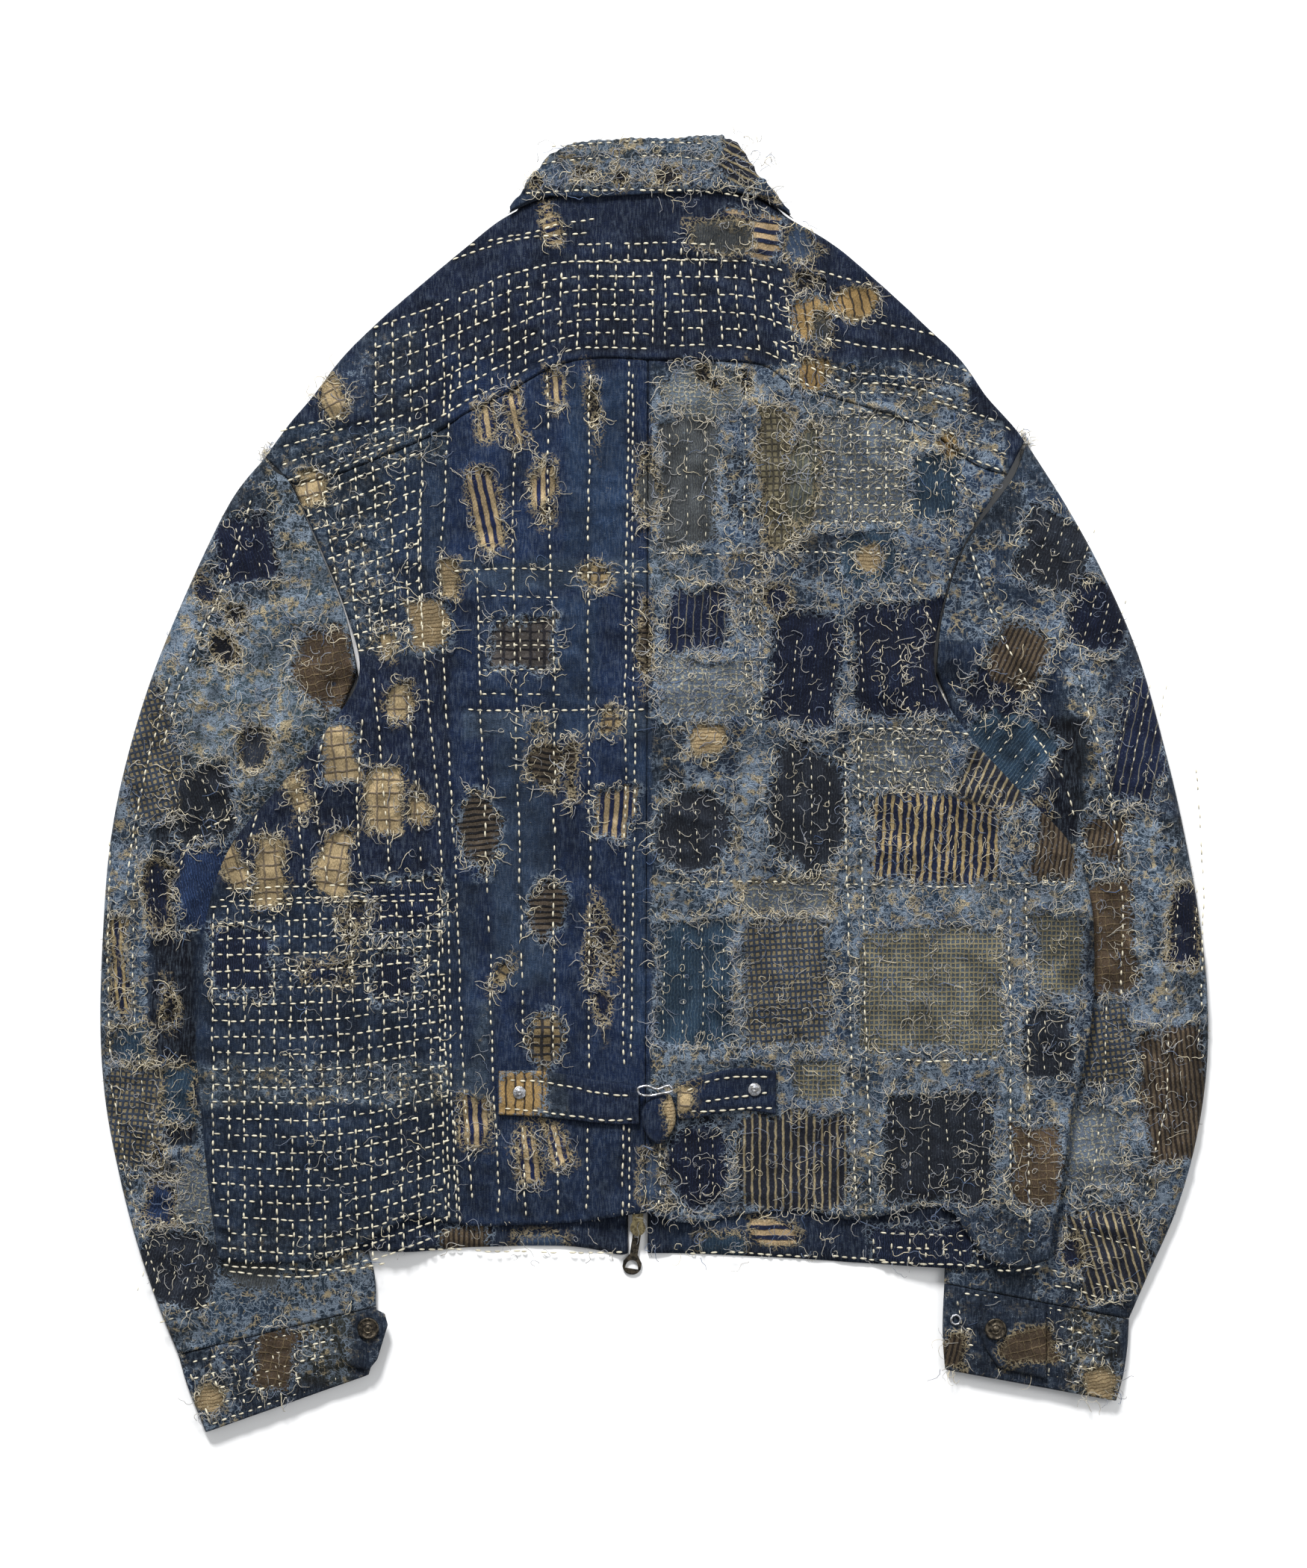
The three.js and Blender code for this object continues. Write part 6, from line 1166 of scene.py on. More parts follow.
def boro_cotton(colours):
    """Patched cotton: the worn weave, then two layers of torn patches from the pieces' own attributes, then darkened by
    the painted relief shade.
    """
    weave = node_group("Worn Weave", {"Place": "v", "Dye": "c", "Wear": "f", "Pale": "c", "Cream": "c"},
                       {"Color": "c", "Height": "f"}, worn_weave)
    torn = node_group("Torn Patch", {"Place": "v", "Under": "c", "Under Height": "f", "Depth": "f", "Local": "v",
                                     "Rule": "v", "Ground": "c", "Line": "c", "Fringe": "c"},
                      {"Color": "c", "Height": "f"}, torn_patch)
    material, w, shader = new_material("Boro Cotton")
    place = w.place()
    pale, cream = tuple(colours.pale) + (1,), tuple(colours.cream) + (1,)
    last = w.group(weave, Place=place, Dye=w.attribute("dye", "Color"), Wear=w.attribute("wear", "Fac"), Pale=pale,
                   Cream=cream)
    for layer in ("low", "high"):
        last = w.group(torn, Place=place, Under=last.outputs["Color"], Under_Height=last.outputs["Height"],
                       Depth=w.attribute(layer + "_depth", "Fac"), Local=w.attribute(layer + "_local", "Vector"),
                       Rule=w.attribute(layer + "_rule", "Vector"), Ground=w.attribute(layer + "_ground", "Color"),
                       Line=w.attribute(layer + "_line", "Color"), Fringe=cream if layer == "high" else pale)
    # The base colour times the painted relief shade: darker where the cloth lies low, lighter on its rises.
    w.put(shader.inputs["Base Color"], w.shade(last.outputs["Color"], w.attribute("relief_shade", "Fac")))
    rough = w.math("ADD", w.math("MULTIPLY", last.outputs["Height"], 0.12), 0.8, clamp=True)
    w.put(shader.inputs["Roughness"], rough)
    shader.inputs["Specular IOR Level"].default_value = 0.2
    bump(w, shader, last.outputs["Height"], 0.0024)
    return material


def thread_cotton(name, dark, light):
    """Twisted cotton: a shade for each strand from dark to light, with fine turns along it."""
    material, w, shader = new_material(name, 0.85)
    place = w.place()
    twist = w.noise(place, 1.6, 2.0)
    share = w.math("ADD", w.attribute("shade", "Fac"), w.math("MULTIPLY", w.math("SUBTRACT", twist, 0.5), 0.5),
                   clamp=True)
    colour = w.mix(share, tuple(dark) + (1,), tuple(light) + (1,))
    w.put(shader.inputs["Base Color"], w.shade(colour, w.math("ADD", w.math("MULTIPLY", twist, 0.4), 0.8)))
    w.put(shader.inputs["Roughness"], w.math("ADD", w.math("MULTIPLY", twist, 0.2), 0.74))
    shader.inputs["Specular IOR Level"].default_value = 0.25
    bump(w, shader, twist, 0.0003)
    return material


def worn_metal(name, colour, tarnish, roughness):
    """Metal with tarnish in blotches, fine scratches and small dents."""
    material, w, shader = new_material(name, roughness, 1.0)
    place = w.place()
    blotch = w.noise(place, 0.45, 4.0, 0.6)
    scratch = w.noise(w.vector("MULTIPLY", place, (0.5, 3.0, 1.0)), 1.0, 3.0, 0.7)
    share = w.mask(w.math("ADD", blotch, w.math("MULTIPLY", scratch, 0.3)), 0.52, 0.76)
    w.put(shader.inputs["Base Color"], w.mix(share, tuple(rgb(*colour)) + (1,), tuple(rgb(*tarnish)) + (1,)))
    w.put(shader.inputs["Roughness"], w.math("ADD", w.math("MULTIPLY", share, 0.25), roughness))
    bump(w, shader, w.math("ADD", w.math("MULTIPLY", blotch, 0.6), scratch), 0.0002)
    return material


def zip_tape_cloth():
    """Woven tape: fine ribs across a dark cotton, with dust."""
    material, w, shader = new_material("Zip Tape", 0.9)
    place = w.place()
    rib = w.add("ShaderNodeTexWave", wave_type="BANDS", bands_direction="Y")
    w.put(rib.inputs["Vector"], place)
    rib.inputs["Scale"].default_value = 0.32
    rib.inputs["Distortion"].default_value = 0.6
    dust = w.noise(place, 0.5, 3.0)
    w.put(shader.inputs["Base Color"], w.mix(w.mask(dust, 0.45, 0.75), tuple(rgb(20, 22, 30)) + (1,),
                                             tuple(rgb(58, 60, 66)) + (1,)))
    w.put(shader.inputs["Roughness"], w.math("ADD", w.math("MULTIPLY", dust, 0.2), 0.75))
    bump(w, shader, w.math("ADD", rib.outputs["Fac"], w.math("MULTIPLY", dust, 0.3)), 0.0003)
    return material


def chain_metal():
    """The closed chain: teeth as bands across it in worn brass."""
    material, w, shader = new_material("Zip Chain Brass", 0.4, 1.0)
    place = w.place()
    teeth = w.add("ShaderNodeTexWave", wave_type="BANDS", bands_direction="Y", wave_profile="SIN")
    w.put(teeth.inputs["Vector"], place)
    teeth.inputs["Scale"].default_value = 0.13
    rub = w.noise(place, 0.8, 3.0)
    tone = w.mask(teeth.outputs["Fac"], 0.25, 0.6)
    w.put(shader.inputs["Base Color"], w.mix(tone, tuple(rgb(40, 36, 28)) + (1,), tuple(rgb(150, 132, 86)) + (1,)))
    w.put(shader.inputs["Roughness"], w.math("ADD", w.math("MULTIPLY", rub, 0.3), 0.25))
    bump(w, shader, tone, 0.0008)
    return material


# ---------------------------------------------------------------- dressing a piece
def write_attribute(mesh, name, kind, values):
    """Writes one value for each vertex into a named attribute."""
    field = {"FLOAT": "value", "FLOAT_VECTOR": "vector", "FLOAT_COLOR": "color"}[kind]
    if kind == "FLOAT_COLOR":
        values = np.concatenate([values, np.ones((len(values), 1))], 1)
    mesh.attributes.new(name, kind, "POINT").data.foreach_set(field, np.asarray(values, np.float32).ravel())


def dress(obj, group, plan, shown, material, body="jacket"):
    """Gives a cloth piece its attributes from its plan: colour, wear, two layers of patches and a painted shade from
    its relief where it is shown, and the plain lining colour under a flat painted shade elsewhere."""
    x, y = plan[:, 0], plan[:, 1]
    count = len(x)
    dye = np.tile(rgb(*LINING[0]), (count, 1))
    wear = np.full(count, LINING[1])
    dye[shown], wear[shown] = dye_wear_and_shade(group, x[shown], y[shown])
    # Painted shade from the relief: darker where the cloth lies low and lighter on its rises, with a slow random tone
    # of 0.1; faces not shown get a flat 0.6.
    relief_shade = np.full(count, 0.6)
    relief_shade[shown] = np.clip(0.74 + 0.15 * relief(group, x[shown], y[shown]) + 0.1
                            * lumps(x[shown], y[shown], 60.0, 90), 0.4, 1.12)
    mesh = obj.data
    write_attribute(mesh, "relief_shade", "FLOAT", relief_shade)
    # The dye also holds the painted shade of the dark sleeve zones.
    write_attribute(mesh, "dye", "FLOAT_COLOR", dye)
    write_attribute(mesh, "wear", "FLOAT", wear)
    for layer, fields in zip(("low", "high"), patch_layers(group, x[shown], y[shown])):
        for label, kind, values in zip(("_depth", "_local", "_rule", "_ground", "_line"),
                                       ("FLOAT", "FLOAT_VECTOR", "FLOAT_VECTOR", "FLOAT_COLOR", "FLOAT_COLOR"),
                                       fields):
            whole = np.full((count,) + values.shape[1:], -20.0 if label == "_depth" else 0.1)
            whole[shown] = values
            write_attribute(mesh, layer + label, kind, whole)
    mesh.materials.append(material)
    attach(obj, body)


def carry_finish(node, material):
    """A CAD node that stays takes its material."""
    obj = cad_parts[node]
    obj.data.materials.clear()
    obj.data.materials.append(material)


# ---------------------------------------------------------------- cloth pieces
MADE = {}  # pieces and materials by name, for the operators that come later


def line_between(first, second):
    """A straight edge from one point to another, as a function of a share from 0 to 1."""
    return spline([first, second])


def body_panel(name, node, edges, columns, rows, underside, group, rip=False):
    """A shell over a panel's plan: the solid's underside, and its outer face plus the relief, rounded at the rim."""
    plan = patch_plan(edges, columns, rows)
    x, y = plan[..., 0], plan[..., 1]
    base = underside(x, y)
    top = base + CLOTH + relief(group, x, y) - rounded_edge(rim_distance(plan))
    under, over = lifted(plan, base), lifted(plan, np.maximum(top, base + 0.5))
    obj = ripped_shell(name, under, over) if rip else shell(name, under, over)
    count = x.size
    points = np.vstack([plan.reshape(-1, 2)] * 2)
    shown = np.arange(2 * count) >= count
    dress(obj, group, points, shown, MADE["cotton"])
    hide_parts(node)
    MADE[name] = obj
    return obj


def ripped_shell(name, under, over):
    """A shell with the rip cut through: quads whose middle is in a turned ellipse go, and the hole gets a wall."""
    rows, columns = under.shape[:2]
    middle = (under[:-1, :-1] + under[1:, 1:]) / 2
    dx, dy = middle[..., 0] - RIP["x"], middle[..., 1] - RIP["y"]
    turn = RIP["turn"]
    a, b = dx * math.cos(turn) + dy * math.sin(turn), dy * math.cos(turn) - dx * math.sin(turn)
    gone = np.hypot(a / (RIP["half_width"] + 0.8), b / (RIP["half_height"] + 0.8)) < 1
    count = rows * columns
    at = np.arange(count).reshape(rows, columns)
    rim = np.r_[at[0, :-1], at[:-1, -1], at[-1, :0:-1], at[:0:-1, 0]]
    keep = ~gone.ravel()
    walls = []
    for sides, forward in ((np.s_[:-1, :], True), (np.s_[1:, :], False)):
        edge = gone & ~np.roll(gone, 1 if forward else -1, axis=0)
        line = at[sides]
        a, b = line[:, :-1][edge], line[:, 1:][edge]
        walls.append(np.stack([a, b, b + count, a + count] if forward else [b, a, a + count, b + count], -1))
    for sides, forward in ((np.s_[:, :-1], True), (np.s_[:, 1:], False)):
        edge = gone & ~np.roll(gone, 1 if forward else -1, axis=1)
        line = at[sides]
        a, b = line[:-1][edge], line[1:][edge]
        walls.append(np.stack([b, a, a + count, b + count] if forward else [a, b, b + count, a + count], -1))
    faces = np.vstack([grid_faces(rows, columns, first=count)[keep], grid_faces(rows, columns, flip=True)[keep],
                       strip_faces(rim, rim + count, closed=True)] + walls)
    return mesh_object(name, np.vstack([under.reshape(-1, 3), over.reshape(-1, 3)]), [faces])


def flat_tube(name, edges, columns, rows, ceiling, top_relief, inner_rows=24):
    """A flattened tube over a plan: at each row an outer loop, whose faces round into each other at the folds as
    the quarter of a circle, and an inner loop one cloth's thickness inside; rings close its two ends."""
    def loops(plan, inset):
        width = np.linalg.norm(plan[:, -1] - plan[:, 0], axis=-1)[:, None]
        share = np.linspace(0, 1, columns + 1)
        share = share * 0.7 + 0.3 * (0.5 - 0.5 * np.cos(np.pi * share))
        share = 0.5 + (share[None] - 0.5) * (1 - 2 * inset / width)
        place = share * (plan.shape[1] - 1)
        low = np.clip(place.astype(int), 0, plan.shape[1] - 2)
        part = (place - low)[..., None]
        line = np.arange(len(plan))[:, None]
        spot = plan[line, low] * (1 - part) + plan[line, low + 1] * part
        across = share * width
        edge = np.minimum(across, width - across) - inset
        turn = np.sqrt(np.maximum(1 - (1 - np.clip(edge / 6, 0, 1)) ** 2, 0))
        down = np.broadcast_to(np.linspace(0, 1, len(plan))[:, None], share.shape)
        x, y = spot[..., 0], spot[..., 1]
        middle = CLOTH + SLEEVE_GAP / 2
        wall = 0 if inset else CLOTH
        high = ceiling(x, y, down) + wall + (0 if inset else top_relief(x, y) * turn)
        top = lifted(spot, middle + (high - middle) * turn)
        bottom = lifted(spot, middle + (CLOTH - wall - middle) * turn)
        return np.concatenate([top, bottom[:, -2:0:-1]], 1)

    outer_plan = patch_plan(edges, columns, rows, 0)
    outer = loops(outer_plan, 0)
    inner = loops(patch_plan(edges, columns, inner_rows, 0), CLOTH)
    around = outer.shape[1]
    numbers = np.arange(outer.shape[0] * around).reshape(-1, around)
    inside = numbers.size + np.arange(inner.shape[0] * around).reshape(-1, around)
    wrapped = np.concatenate([numbers, numbers[:, :1]], 1)
    wrapped_in = np.concatenate([inside, inside[:, :1]], 1)
    quads = lambda g: np.stack([g[:-1, :-1], g[1:, :-1], g[1:, 1:], g[:-1, 1:]], -1).reshape(-1, 4)
    faces = np.vstack([quads(wrapped), quads(wrapped_in)[:, ::-1],
                       np.stack([wrapped[0, :-1], wrapped[0, 1:], wrapped_in[0, 1:], wrapped_in[0, :-1]], -1),
                       np.stack([wrapped[-1, 1:], wrapped[-1, :-1], wrapped_in[-1, :-1], wrapped_in[-1, 1:]], -1)])
    points = np.vstack([outer.reshape(-1, 3), inner.reshape(-1, 3)])
    obj = mesh_object(name, points, [faces])
    shown = np.arange(len(points)) < outer.shape[0] * around
    return obj, points[:, :2], shown, plan_area(outer_plan)


def yoke_edges():
    """The yoke's four edges: neck and shoulders above, seam below, and its two sides."""
    left = [(row[1], row[0]) for row in SHOULDERS][::-1]
    right = [(row[2], row[0]) for row in SHOULDERS]
    top = spline([TIP_LEFT, *left, *NECK_SEAM, *right, TIP_RIGHT])
    bottom = joined(spline(YOKE_SEAM[:MIDDLE_ROW + 1]), spline(YOKE_SEAM[MIDDLE_ROW:]))
    return top, bottom, line_between(TIP_LEFT, YOKE_SEAM[0]), line_between(TIP_RIGHT, YOKE_SEAM[-1])


def back_edges(side):
    """One back half's four edges: yoke seam, hem, left and right."""
    hem = [(row[0], row[1]) for row in HEMS]
    middle = next(k for k, row in enumerate(HEMS) if row[0] > YOKE_SEAM[MIDDLE_ROW][0]) - 1
    centre = line_between(YOKE_SEAM[MIDDLE_ROW], hem[middle])
    index = 1 if side < 0 else 2
    top, bottom = (YOKE_SEAM[0], hem[0]) if side < 0 else (YOKE_SEAM[-1], hem[-1])
    outer = spline([top, *[(row[index], row[0]) for row in BODY_SIDES[1:-1]], bottom])
    if side < 0:
        return spline(YOKE_SEAM[:MIDDLE_ROW + 1]), spline(hem[:middle + 1]), outer, centre
    return spline(YOKE_SEAM[MIDDLE_ROW:]), spline(hem[middle:]), centre, outer


def front_edges(side):
    """One front's four edges: neck with shoulder, hem, left and right."""
    opening = ZIP_X + side * ZIP_HALF_OPENING
    index = 1 if side < 0 else 2
    neck = [(opening + side * away, y) for away, y in FRONT_NECK]
    side_line = [(row[index], row[0]) for row in FRONT_SIDES]
    shoulder = [neck[-1], *[(row[index] - side * FRONT_TUCK, row[0] - 2) for row in SHOULDERS], side_line[0]]
    last = side * side_line[-1][0] - 4
    own = [(row[0], row[2]) for row in HEMS if side * (row[0] - opening) > 0 and side * row[0] < last]
    corner = (opening, FRONT_HEM_AT_ZIP)
    zip_side = line_between(neck[0], corner)
    if side < 0:
        return (joined(spline(shoulder[::-1]), spline(neck[::-1])), spline([side_line[-1], *own, corner]),
                spline(side_line), zip_side)
    return joined(spline(neck), spline(shoulder)), spline([corner, *own, side_line[-1]]), zip_side, spline(side_line)


def arm_edges(rows, side, armhole=None):
    """A sleeve's or cuff's edges, from its table of outer and inner points."""
    outer, inner = spline([row[:2] for row in rows]), spline([row[2:] for row in rows])
    top = armhole if armhole is not None else [rows[0][:2], rows[0][2:]]
    bottom = [rows[-1][:2], rows[-1][2:]]
    order = 1 if side < 0 else -1
    left, right = (outer, inner) if side < 0 else (inner, outer)
    return spline(top[::order]), spline(bottom[::order]), left, right


def armhole_line(rows, side):
    """The line where a sleeve goes under the body."""
    index = 1 if side < 0 else 2
    seam = [(row[index] + side * 1.1, row[0]) for row in BODY_SIDES if row[0] > UNDERARM_Y + 8]
    start = np.array(rows[0][:2], float)
    between = (start + np.array(seam[0])) / 2 + np.array([side * 0.77, -0.77])
    return [tuple(start), tuple(between), *seam, rows[0][2:]]


def make_body():
    """The yoke and the two halves of the back over the two fronts."""
    body_panel("Yoke", "yoke", yoke_edges(), 280, 60, yoke_underside, "body",
               rip=True)
    for side, label, slot in ((-1, "Left", "indigo_cloth"), (1, "Right", "washed_cloth")):
        body_panel("Back_" + label, "back_" + label.lower(), back_edges(side), 132, 262, back_underside, "body")


def make_fronts():
    """The fronts, which lie on the surface and show at the hem."""
    for side, label, slot in ((-1, "Left", "indigo_cloth"), (1, "Right", "navy_cloth")):
        body_panel("Front_" + label, "front_" + label.lower(), front_edges(side), 96, 190, front_underside, "front",
                   rip=side > 0)


def make_arms():
    """Sleeves and cuffs: flattened tubes."""
    arms = ((-1, "Left", SLEEVE_LEFT, CUFF_LEFT), (1, "Right", SLEEVE_RIGHT, CUFF_RIGHT))
    for side, label, sleeve_rows, cuff_rows in arms:
        edges = arm_edges(sleeve_rows, side, armhole_line(sleeve_rows, side))
        obj, plan, shown, area = flat_tube("Sleeve_" + label, edges, 78, 236, sleeve_ceiling, lambda x,
                                           y: relief("sleeve", x, y))
        dress(obj, "sleeve", plan, shown, MADE["cotton"])
        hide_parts("sleeve_" + label.lower())
        MADE[obj.name] = obj
        flat = lambda x, y, down: np.full(x.shape, CUFF_CEILING)
        obj, plan, shown, area = flat_tube("Cuff_" + label, arm_edges(cuff_rows, side), 80, 36, flat, lambda x,
                                           y: relief("cuff", x, y) * 0.5 * tab_clear(x, y), 6)
        dress(obj, "cuff", plan, shown, MADE["cotton"])
        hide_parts("cuff_" + label.lower())
        MADE[obj.name] = obj


def tab_clear(x, y):
    """0 under the cuff tabs and their buttons, 1 well away from them."""
    left = np.hypot((x + 196) / 26, (y + 370) / 28)
    right = np.hypot((x - 236) / 34, (y + 372) / 32)
    return smooth_step(0.85, 1.15, np.minimum(left, right))


def make_collar():
    """The collar's stand, roll and fall as one band: up the neck, half a circle over the roll, then down."""
    share = np.linspace(0, 1, 181)
    neck = spline([(x, y + 1.3) for x, y in NECK_SEAM])(share)
    roll = spline([row[:2] for row in COLLAR])(share) - (0, 3.35)
    edge = spline([row[2:] for row in COLLAR])(share)
    radius, stand = 1.85, BACK_UNDERSIDE + CLOTH / 2
    rows = [lifted(neck * (1 - s) + roll * s, np.full(181, stand)) for s in np.linspace(0, 1, 12)]
    for angle in np.linspace(0, math.pi, 13)[1:-1]:
        rows.append(lifted(roll + (0, radius * math.sin(angle)),
                           np.full(181, stand + radius * (1 - math.cos(angle)))))
    rows += [lifted(roll * (1 - s) + edge * s, np.full(181, stand + 2 * radius)) for s in np.linspace(0, 1, 34)]
    middle = np.array(rows)
    down, across = np.gradient(middle, axis=0), np.gradient(middle, axis=1)
    normal = np.cross(down, across)
    normal /= np.linalg.norm(normal, axis=-1, keepdims=True)
    over_side = middle + normal * CLOTH / 2
    x, y = over_side[..., 0], over_side[..., 1]
    rise = relief("collar", x, y) - rounded_edge(rim_distance(middle[..., :2]), 2, 1.2)
    ribs = 0.35 * np.sin(x * 1.15 + lumps(x, y, 12, 90)) * smooth_step(402, 412, y)
    facing = (np.arange(len(rows)) > 12)[:, None]
    over_side = over_side + normal * np.where(facing, rise + ribs, 0)[..., None]
    obj = shell("Collar", middle - normal * CLOTH / 2, over_side)
    count = x.size
    plan = np.vstack([np.stack([x, y], -1).reshape(-1, 2)] * 2)
    dress(obj, "collar", plan, np.arange(2 * count) >= count, MADE["cotton"])
    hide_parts("collar")
    MADE["Collar"] = obj
    for side, label in ((-1, "Left"), (1, "Right")):
        opening = ZIP_X + side * ZIP_HALF_OPENING
        outer = [(row[0] - side * FRONT_TUCK, row[1] - 3) for row in COLLAR]
        beyond = [p for p in outer if side * (p[0] - opening) > 8]
        top = [*beyond, (opening, 429)] if side < 0 else [(opening, 429), *beyond]
        low = [(opening + side * away, yy + 0.7) for away, yy in FRONT_NECK]
        low = low[::-1] if side < 0 else low
        edges = spline(top), spline(low), line_between(top[0], low[0]), line_between(top[-1], low[-1])
        plan = patch_plan(edges, 44, 36)
        flat = np.zeros(plan.shape[:2])
        obj = shell("Collar_Front_" + label, lifted(plan, flat),
                    lifted(plan, flat + CLOTH - rounded_edge(rim_distance(plan))))
        both = np.vstack([plan.reshape(-1, 2)] * 2)
        dress(obj, "leaf", both, np.arange(len(both)) >= len(both) // 2, MADE["cotton"])
        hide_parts("collar_front_" + label.lower())


def make_cinch():
    """Two straps and the loop of the strap's end, over the back's waist."""
    for label, rows in (("Left", STRAP_LEFT), ("Right", STRAP_RIGHT)):
        top, low = [(row[0], row[1]) for row in rows], [(row[0], row[2]) for row in rows]
        plan = patch_plan((spline(top), spline(low), line_between(top[0], low[0]), line_between(top[-1], low[-1])),
                          110, 40)
        x, y = plan[..., 0], plan[..., 1]
        base = over_back(x, y)
        swell = 0.5 * lumps(x, y, 9, 70) - 0.8 * quilting("strap", x, y) + 0.5
        rivet = RIVETS[label.lower()]
        swell *= smooth_step(4.6, 8, np.hypot(x - rivet[0], y - rivet[1]))
        face = base + TRIM_CLOTH + swell - rounded_edge(rim_distance(plan), 2, 1.2)
        obj = shell("Cinch_Strap_" + label, lifted(plan, base), lifted(plan, face))
        both = np.vstack([plan.reshape(-1, 2)] * 2)
        dress(obj, "strap", both, np.arange(len(both)) >= len(both) // 2, MADE["cotton"])
        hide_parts("cinch_strap_" + label.lower())
    left, right = [(row[1], row[0]) for row in STRAP_LOOP], [(row[2], row[0]) for row in STRAP_LOOP]
    edges = (spline([left[0], (4.5, -205.4), right[0]]), spline([left[-1], (2.5, -240), right[-1]]), spline(left),
             spline(right))
    plan = patch_plan(edges, 44, 60, 0)
    x, y = plan[..., 0], plan[..., 1]
    base = over_back(x, y)
    crown = 1.8 * np.exp(-(((x - 3) / 6) ** 2) - ((y + 222) / 16) ** 2) - 0.8 * np.exp(
            -((x - 8 - 0.1 * (y + 220)) / 1.3) ** 2)
    face = base + 2 * TRIM_CLOTH + crown * smooth_step(-206, -211, y) - rounded_edge(rim_distance(plan), 5, 3.4)
    obj = shell("Cinch_Loop", lifted(plan, base), lifted(plan, face))
    both = np.vstack([plan.reshape(-1, 2)] * 2)
    dress(obj, "strap", both, np.arange(len(both)) >= len(both) // 2, MADE["cotton"])
    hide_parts("cinch_loop")


def make_tabs():
    """Cuff tabs: a disc of rings drawn in from the outline towards its middle, under and over."""
    for label, outline in (("Left", TAB_LEFT), ("Right", TAB_RIGHT)):
        corners = np.array(outline, float)
        ring = np.vstack([corners, corners[:1]])
        run = np.r_[0, np.cumsum(np.linalg.norm(np.diff(ring, axis=0), axis=1))]
        steps = np.linspace(0, run[-1], 121)[:-1]
        edge = np.stack([np.interp(steps, run, ring[:, k]) for k in (0, 1)], -1)
        middle = edge.mean(0)
        shares = np.linspace(0, 1, 16)[1:]
        plan = middle + (edge - middle) * shares[:, None, None]
        x, y = plan[..., 0], plan[..., 1]
        away = (1 - shares)[:, None] * np.linalg.norm(edge - middle, axis=-1)
        button = BUTTONS[label.lower()]
        swell = (0.5 + 0.4 * lumps(x, y, 8, 75)) * smooth_step(7.6, 11, np.hypot(x - button[0], y - button[1]))
        low = CUFF_CEILING + CLOTH + REST_GAP
        face = low + TRIM_CLOTH + swell * smooth_step(0, 3, away) - rounded_edge(away, 2, 1.3)
        size = x.size
        points = np.vstack([lifted(plan, np.full(x.shape, low)).reshape(-1, 3), lifted(plan, face).reshape(-1, 3),
                            [(*middle, low), (*middle, low + TRIM_CLOTH)]])
        at = np.arange(size).reshape(x.shape)
        wrap = np.concatenate([at, at[:, :1]], 1)
        turn = np.sign((edge[0, 0] - middle[0]) * (edge[1, 1] - middle[1]) - (edge[0, 1] - middle[1])
                       * (edge[1, 0] - middle[0]))
        quads = np.stack([wrap[:-1, :-1], wrap[1:, :-1], wrap[1:, 1:], wrap[:-1, 1:]], -1).reshape(-1, 4)
        caps = np.stack([np.full(len(edge), 2 * size + 1), wrap[0, :-1] + size, wrap[0, 1:] + size], -1)
        lows = np.stack([np.full(len(edge), 2 * size), wrap[0, 1:], wrap[0, :-1]], -1)
        rim = np.stack([wrap[-1, :-1], wrap[-1, 1:], wrap[-1, 1:] + size, wrap[-1, :-1] + size], -1)
        faces = [np.vstack([quads + size, quads[:, ::-1], rim]), np.vstack([caps, lows])]
        if turn < 0:
            faces = [f[:, ::-1] for f in faces]
        obj = mesh_object("Cuff_Tab_" + label, points, faces)
        dress(obj, "cuff", points[:, :2], points[:, 2] > low + 0.2, MADE["cotton"])
        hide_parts("cuff_tab_" + label.lower())


# ---------------------------------------------------------------- stitches and frayed threads
def strands(name, lines, radius, sides, material, shades, body="jacket"):
    """Closed tubes along many short lines of the same number of points: a ring of points about each, square to the
    line and flattened a little, with a face at each end. lines is (strand, point, xyz); radius is one a point."""
    count, rings = lines.shape[:2]
    tangent = np.gradient(lines, axis=1)
    tangent /= np.maximum(np.linalg.norm(tangent, axis=-1, keepdims=True), 1e-9)
    sideways = np.cross(tangent, (0, 0, 1.0))
    sideways /= np.maximum(np.linalg.norm(sideways, axis=-1, keepdims=True), 1e-9)
    upward = np.cross(sideways, tangent)
    angle = np.arange(sides) * 2 * math.pi / sides
    around = (sideways[:, :, None] * np.cos(angle)[:, None] + upward[:, :, None] * np.sin(angle)[:, None] * 0.85)
    points = lines[:, :, None] + around * np.asarray(radius)[..., None, None]
    at = np.arange(rings * sides).reshape(rings, sides)
    wrap = np.concatenate([at, at[:, :1]], 1)
    quads = np.stack([wrap[:-1, :-1], wrap[:-1, 1:], wrap[1:, 1:], wrap[1:, :-1]], -1).reshape(-1, 4)
    first = np.arange(count)[:, None, None] * rings * sides
    faces = [(quads + first).reshape(-1, 4), (at[0][None, None, ::-1] + first).reshape(-1, sides),
             (at[-1][None, None] + first).reshape(-1, sides)]
    if sides == 4:
        faces = [np.vstack(faces)]
    obj = mesh_object(name, points.reshape(-1, 3), faces)
    write_attribute(obj.data, "shade", "FLOAT", np.repeat(shades, rings * sides))
    obj.data.materials.append(material)
    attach(obj, body)
    return obj


def covered(group, x, y):
    """True where the cloth of a group is hidden by what lies on it."""
    if group == "sleeve":
        return outside_body(x, y) < 2.5
    if group == "front":
        table = np.array(HEMS)
        return y > np.interp(x, table[:, 0], table[:, 1]) - 1.5
    if group == "body":
        strap = ((x > -105) & (x < 83) & (y > -228) & (y < -189)) | ((x > -9) & (x < 15) & (y > -241) & (y < -200))
        return strap | (outside_body(x, y) > -1.5) & (y < 201) | ((y > 379) & (np.abs(x) < 100))
    return np.zeros(x.shape, bool)


